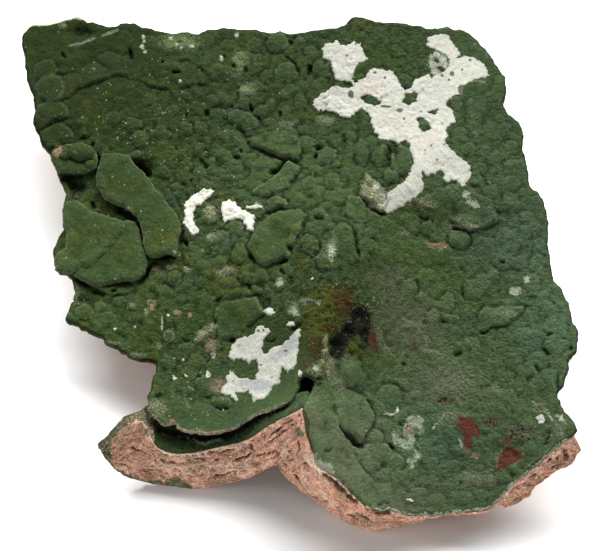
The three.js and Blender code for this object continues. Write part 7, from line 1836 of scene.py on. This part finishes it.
    nw = len(moved)
    verts = np.vstack([moved, upper, under])
    faces = []
    i = np.arange(n)
    j = (i + 1) % n
    for r in range(rows):
        a, b = r * n, (r + 1) * n
        faces.append(np.c_[b + i, b + j, a + j])
        faces.append(np.c_[b + i, a + j, a + i])
    ft = np.where(ft < n, ft, ft - n + nw)
    fb = fb[:, ::-1]
    fb = np.where(fb < n, fb + rows * n, fb - n + nw + len(upper))
    faces = np.vstack(faces + [ft, fb])
    count = len(verts)
    height = np.zeros(count)
    height[:nw] = disp
    cav = height - smoothed(height, faces, count, 8)
    cav[nw:] = 0
    att = {k: np.zeros(count) for k in ("pale", "brown", "green", "soil", "along", "depth", "crack")}
    run = np.r_[0, np.cumsum(np.linalg.norm(np.diff(ring_t, axis=0), axis=1))]
    att["along"][:nw] = run[col]
    att["depth"][:nw] = depth
    att["crack"][:nw] = np.clip(slit, 0, 1)
    for poly, amount in GREEN_WALL:
        k = near(uw, vw, poly, 5)
        k = k[shown[k]]
        att["green"][k] = np.maximum(att["green"][k], amount * np.clip(0.55 + area_field(uw[k], vw[k], poly) / 3.5, 0, 1))
    for a, b, ru, rv in BROWN_WALL:
        k = near(uw, vw, [(a, b)], 2 * max(ru, rv))
        k = k[shown[k]]
        att["brown"][k] = np.maximum(att["brown"][k], np.clip(1.1 - 0.65 * np.hypot((uw[k] - a) / ru, (vw[k] - b) / rv), 0, 1))
    for line, width, amount in PALE_WALL:
        k = near(uw, vw, line, 12)
        k = k[shown[k]]
        d, _, _ = line_field(uw[k], vw[k], line)
        att["pale"][k] = np.maximum(att["pale"][k], amount * np.exp(-(d / width) ** 2))
    att["soil"][:nw] = np.where(shown | (p[:, 0] < -22) & (p[:, 1] < -8), 0, smooth((tt - 0.05) / 0.3) * (0.35 + 0.5 * fbm(p / 5.0, 2, 711)))
    q = under
    att["soil"][nw + len(upper):] = np.clip(0.35 + 0.6 * fbm(q / 6.0, 3, 712), 0, 1)
    # The side just below the crust is stained green all the way round, and so is the rim of the left lobe.
    west = smooth((-21 - p[:, 0] + 5 * fbm(p / 4.0, 2, 716)) / 6)
    west *= np.maximum(smooth((33 - p[:, 1] + 5 * fbm(p / 4.0, 2, 717)) / 6), smooth((-38 - p[:, 0] + 4 * fbm(p / 3.0, 2, 718)) / 5))
    deep_green = 0.20 + 0.25 * fbm(p / 3.5, 3, 719) + 0.90 * west
    deep_green = np.where((p[:, 0] > -32.0) & (p[:, 0] < -22) & (p[:, 1] > -23) & (p[:, 1] < -8), 0.02, deep_green)
    att["green"][:nw] = np.maximum(att["green"][:nw], np.where(shown, 0, smooth((deep_green - tt) / 0.2 + 0.3 * fbm(p / 2.0, 2, 713))))
    ua, va = to_plane(upper[:, 0], upper[:, 1], upper[:, 2])
    att["green"][nw:nw + len(upper)] = np.clip(0.72 + 0.9 * fbm(upper / 1.1, 3, 714), 0, 1)
    att["pale"][nw:nw + len(upper)] = np.clip(0.5 + 0.9 * fbm(upper / 0.8, 3, 715), 0, 1)
    att["brown"][nw:nw + len(upper)] = 0.4
    att["cavity"] = np.clip(cav, -0.5, 0.4)
    return make_object("dolomite_body", verts, faces, att, "dolomite_matrix", ROCK)


# ---------------------------------------------------------------------------------------------
# Calcite coatings and flecks
# ---------------------------------------------------------------------------------------------
def coating(outlines, lift, seed, step=0.17, wobble=0.75, clean=0.0):
    """A thin coat that lies on the relief of the crust."""
    loops = []
    for k, line in enumerate(outlines):
        ring = resample(draped(np.array(line, float), 0.2)[:, :2], 0.15 * DETAIL)
        q = np.c_[ring, np.zeros(len(ring))] / 1.1
        ring = ring + wobble * np.c_[fbm(q, 4, 860 + seed + k, 0.75), fbm(q, 4, 880 + seed + k, 0.75)]
        loops.append(settled(ring))
    keep = {}

    def edge(x, y):
        d = np.full(len(x), 1e9)
        for l in loops:
            d = np.minimum(d, edge_distance(x, y, l))
        return d

    def top(x, y):
        r = relief(x, y)
        d = edge(x, y)
        soft = np.maximum(0.8 * r["broad"] + 0.2 * r["h"] + 0.06, r["h"] + 0.02) + 0.5 * r["cut"]
        pits, _ = caps3(r["p"] / 1.3, 800 + seed, 0.3, 0.6, 0.55)
        h = soft + lift * np.sqrt(np.clip(1 - (1 - np.clip(d / 0.16, 0, 1)) ** 2, 0, 1)) - 0.04
        grains, _ = caps3(r["p"] / 0.55, 805 + seed, 0.4, 0.8)
        h += (0.05 * fbm(r["p"] / 1.2, 3, 810 + seed) + 0.04 * fbm(r["p"] / 0.45, 2, 811 + seed) + 0.045 * (grains - 0.4) - 0.05 * pits) * smooth(d / 0.4)
        keep.update(r)
        keep["h"] = h
        keep["d"] = d
        keep["pits"] = pits
        return r["p"] + r["n"] * h[:, None]

    def bottom(x, y):
        r = relief(x, y)
        return r["p"] + r["n"] * (r["h"] - 0.35)[:, None]

    verts, faces, part = closed_sheet(loops, step * DETAIL, top, bottom, 2, seed, coarse=0.6, bulge=0.03, rough=0.05)
    n = len(keep["h"])
    count = len(verts)
    height = np.zeros(count)
    height[:n] = keep["h"]
    cav = height - smoothed(height, faces, count, 8)
    cav[n:] = 0
    thin = np.zeros(count)
    thin[:n] = np.clip(1.0 - keep["d"] / 0.45, 0, 1) * 0.6 + 0.35 * np.clip(fbm(keep["p"] / 1.6, 3, 830 + seed) - 0.15, 0, 1)
    thin[n:] = 0.5
    grey = np.zeros(count)
    grey[:n] = np.clip(0.3 + 0.9 * fbm(keep["p"] / 4.0, 3, 820 + seed), 0, 1)
    bare = np.zeros(count)
    hue = np.zeros(count)
    for a, b, ru, rv in COAT_SPOTS:
        k = near(keep["u0"], keep["v0"], [(a, b)], 2 * max(ru, rv))
        bare[k] = np.maximum(bare[k], np.clip(1.1 - 0.6 * np.hypot((keep["u0"][k] - a) / ru, (keep["v0"][k] - b) / rv), 0, 1))
    for a, b, ru, rv, amount in COAT_SHADES:
        hue[:n] += amount * np.exp(-((keep["u0"] - a) / ru) ** 2 - ((keep["v0"] - b) / rv) ** 2)
    return verts, faces, {"cavity": np.clip(cav, -0.4, 0.3), "thin": thin, "grey": grey, "bare": bare, "hue": hue, "clean": np.full(count, clean)}


def build_coatings():
    for name, node, outlines, lift, seed in [
        ("coat_back_right", "back_right_calcite_coating", [COAT_BACK_RIGHT] + COAT_BARE_SPOTS, 0.12, 41),
        ("coat_front", "front_calcite_coating", [COAT_FRONT], 0.11, 51),
        ("coat_crescent", "crescent_calcite_coating", [COAT_CRESCENT], 0.15, 61),
        ("coat_centre", "centre_calcite_coating", [COAT_CENTRE], 0.14, 71),
    ]:
        v, f, a = coating(outlines, lift, seed, clean={41: 0.0, 51: 0.32}.get(seed, 1.1))
        make_object(name, v, f, a, node, CHALK)
    parts = []
    rng = np.random.RandomState(77)
    for k, (u, v, ru, rv) in enumerate(FLECKS):
        t = np.linspace(0, 2 * math.pi, 22, endpoint=False)
        r = 1 + 0.16 * np.sin(2 * t + 6 * rng.rand()) + 0.12 * np.sin(3 * t + 6 * rng.rand()) + 0.07 * np.sin(5 * t + 6 * rng.rand())
        parts.append(coating([np.c_[u + ru * r * np.cos(t), v + rv * r * np.sin(t)]], 0.07, 300 + k, 0.13, 0.6, 0.35))
    v, f, a = merge(parts)
    make_object("calcite_flecks", v, f, a, None, CHALK)


build_matrix()
build_crust()
build_plates()
build_lining()
build_coatings()

# ---------------------------------------------------------------------------------------------
# Table, light and camera
# ---------------------------------------------------------------------------------------------
bpy.ops.mesh.primitive_plane_add(size=3.0, location=(0, 0.3, 0))
table = bpy.context.object
table.name = "table"
tf = Finish("white_table")
tf.finish(tf.mix(tf.step(tf.noise(60.0, 3, 0.5), 0.3, 0.7), (0.94, 0.94, 0.935), (0.95, 0.95, 0.945)), 0.85, tf.bump(scaled(tf, tf.noise(1.0, 2, 0.5), 0.01), 0.3), 0.2)
table.data.materials.append(tf.mat)

world = bpy.data.worlds.new("studio")
bpy.context.scene.world = world
world.use_nodes = True
bg = world.node_tree.nodes["Background"]
bg.inputs[0].default_value = (1.0, 1.0, 1.0, 1)
bg.inputs[1].default_value = 0.195


def area_light(name, location, size, power, color=(1, 1, 1)):
    data = bpy.data.lights.new(name, "AREA")
    data.shape = "RECTANGLE"
    data.size, data.size_y = size
    data.energy = power
    data.color = color
    ob = bpy.data.objects.new(name, data)
    ob.location = location
    ob.rotation_euler = (Vector((0, 0, 0.01)) - Vector(location)).to_track_quat("-Z", "Y").to_euler()
    bpy.context.scene.collection.objects.link(ob)
    return ob


area_light("soft_back", (0.08, 0.49, 0.51), (1.40, 0.32), 20.6)
area_light("left_fill", (-0.62, 0.04, 0.20), (0.30, 0.20), 1.3)
area_light("front_fill", (-0.02, -0.66, 0.04), (0.6, 0.07), 2.2)

cam_data = bpy.data.cameras.new("camera")
cam_data.sensor_fit = "HORIZONTAL"
cam_data.sensor_width = 36.0
cam_data.lens = FOCAL_PX * 36.0 / 600.0
cam_data.clip_start = 0.01
cam_data.clip_end = 10.0
camera = bpy.data.objects.new("camera", cam_data)
camera.location = tuple((CAM + SHIFT) / 1000.0)
camera.rotation_euler = (math.pi / 2 - ELEVATION, 0, 0)
bpy.context.scene.collection.objects.link(camera)
bpy.context.scene.camera = camera
bpy.context.scene.view_settings.view_transform = "Standard"
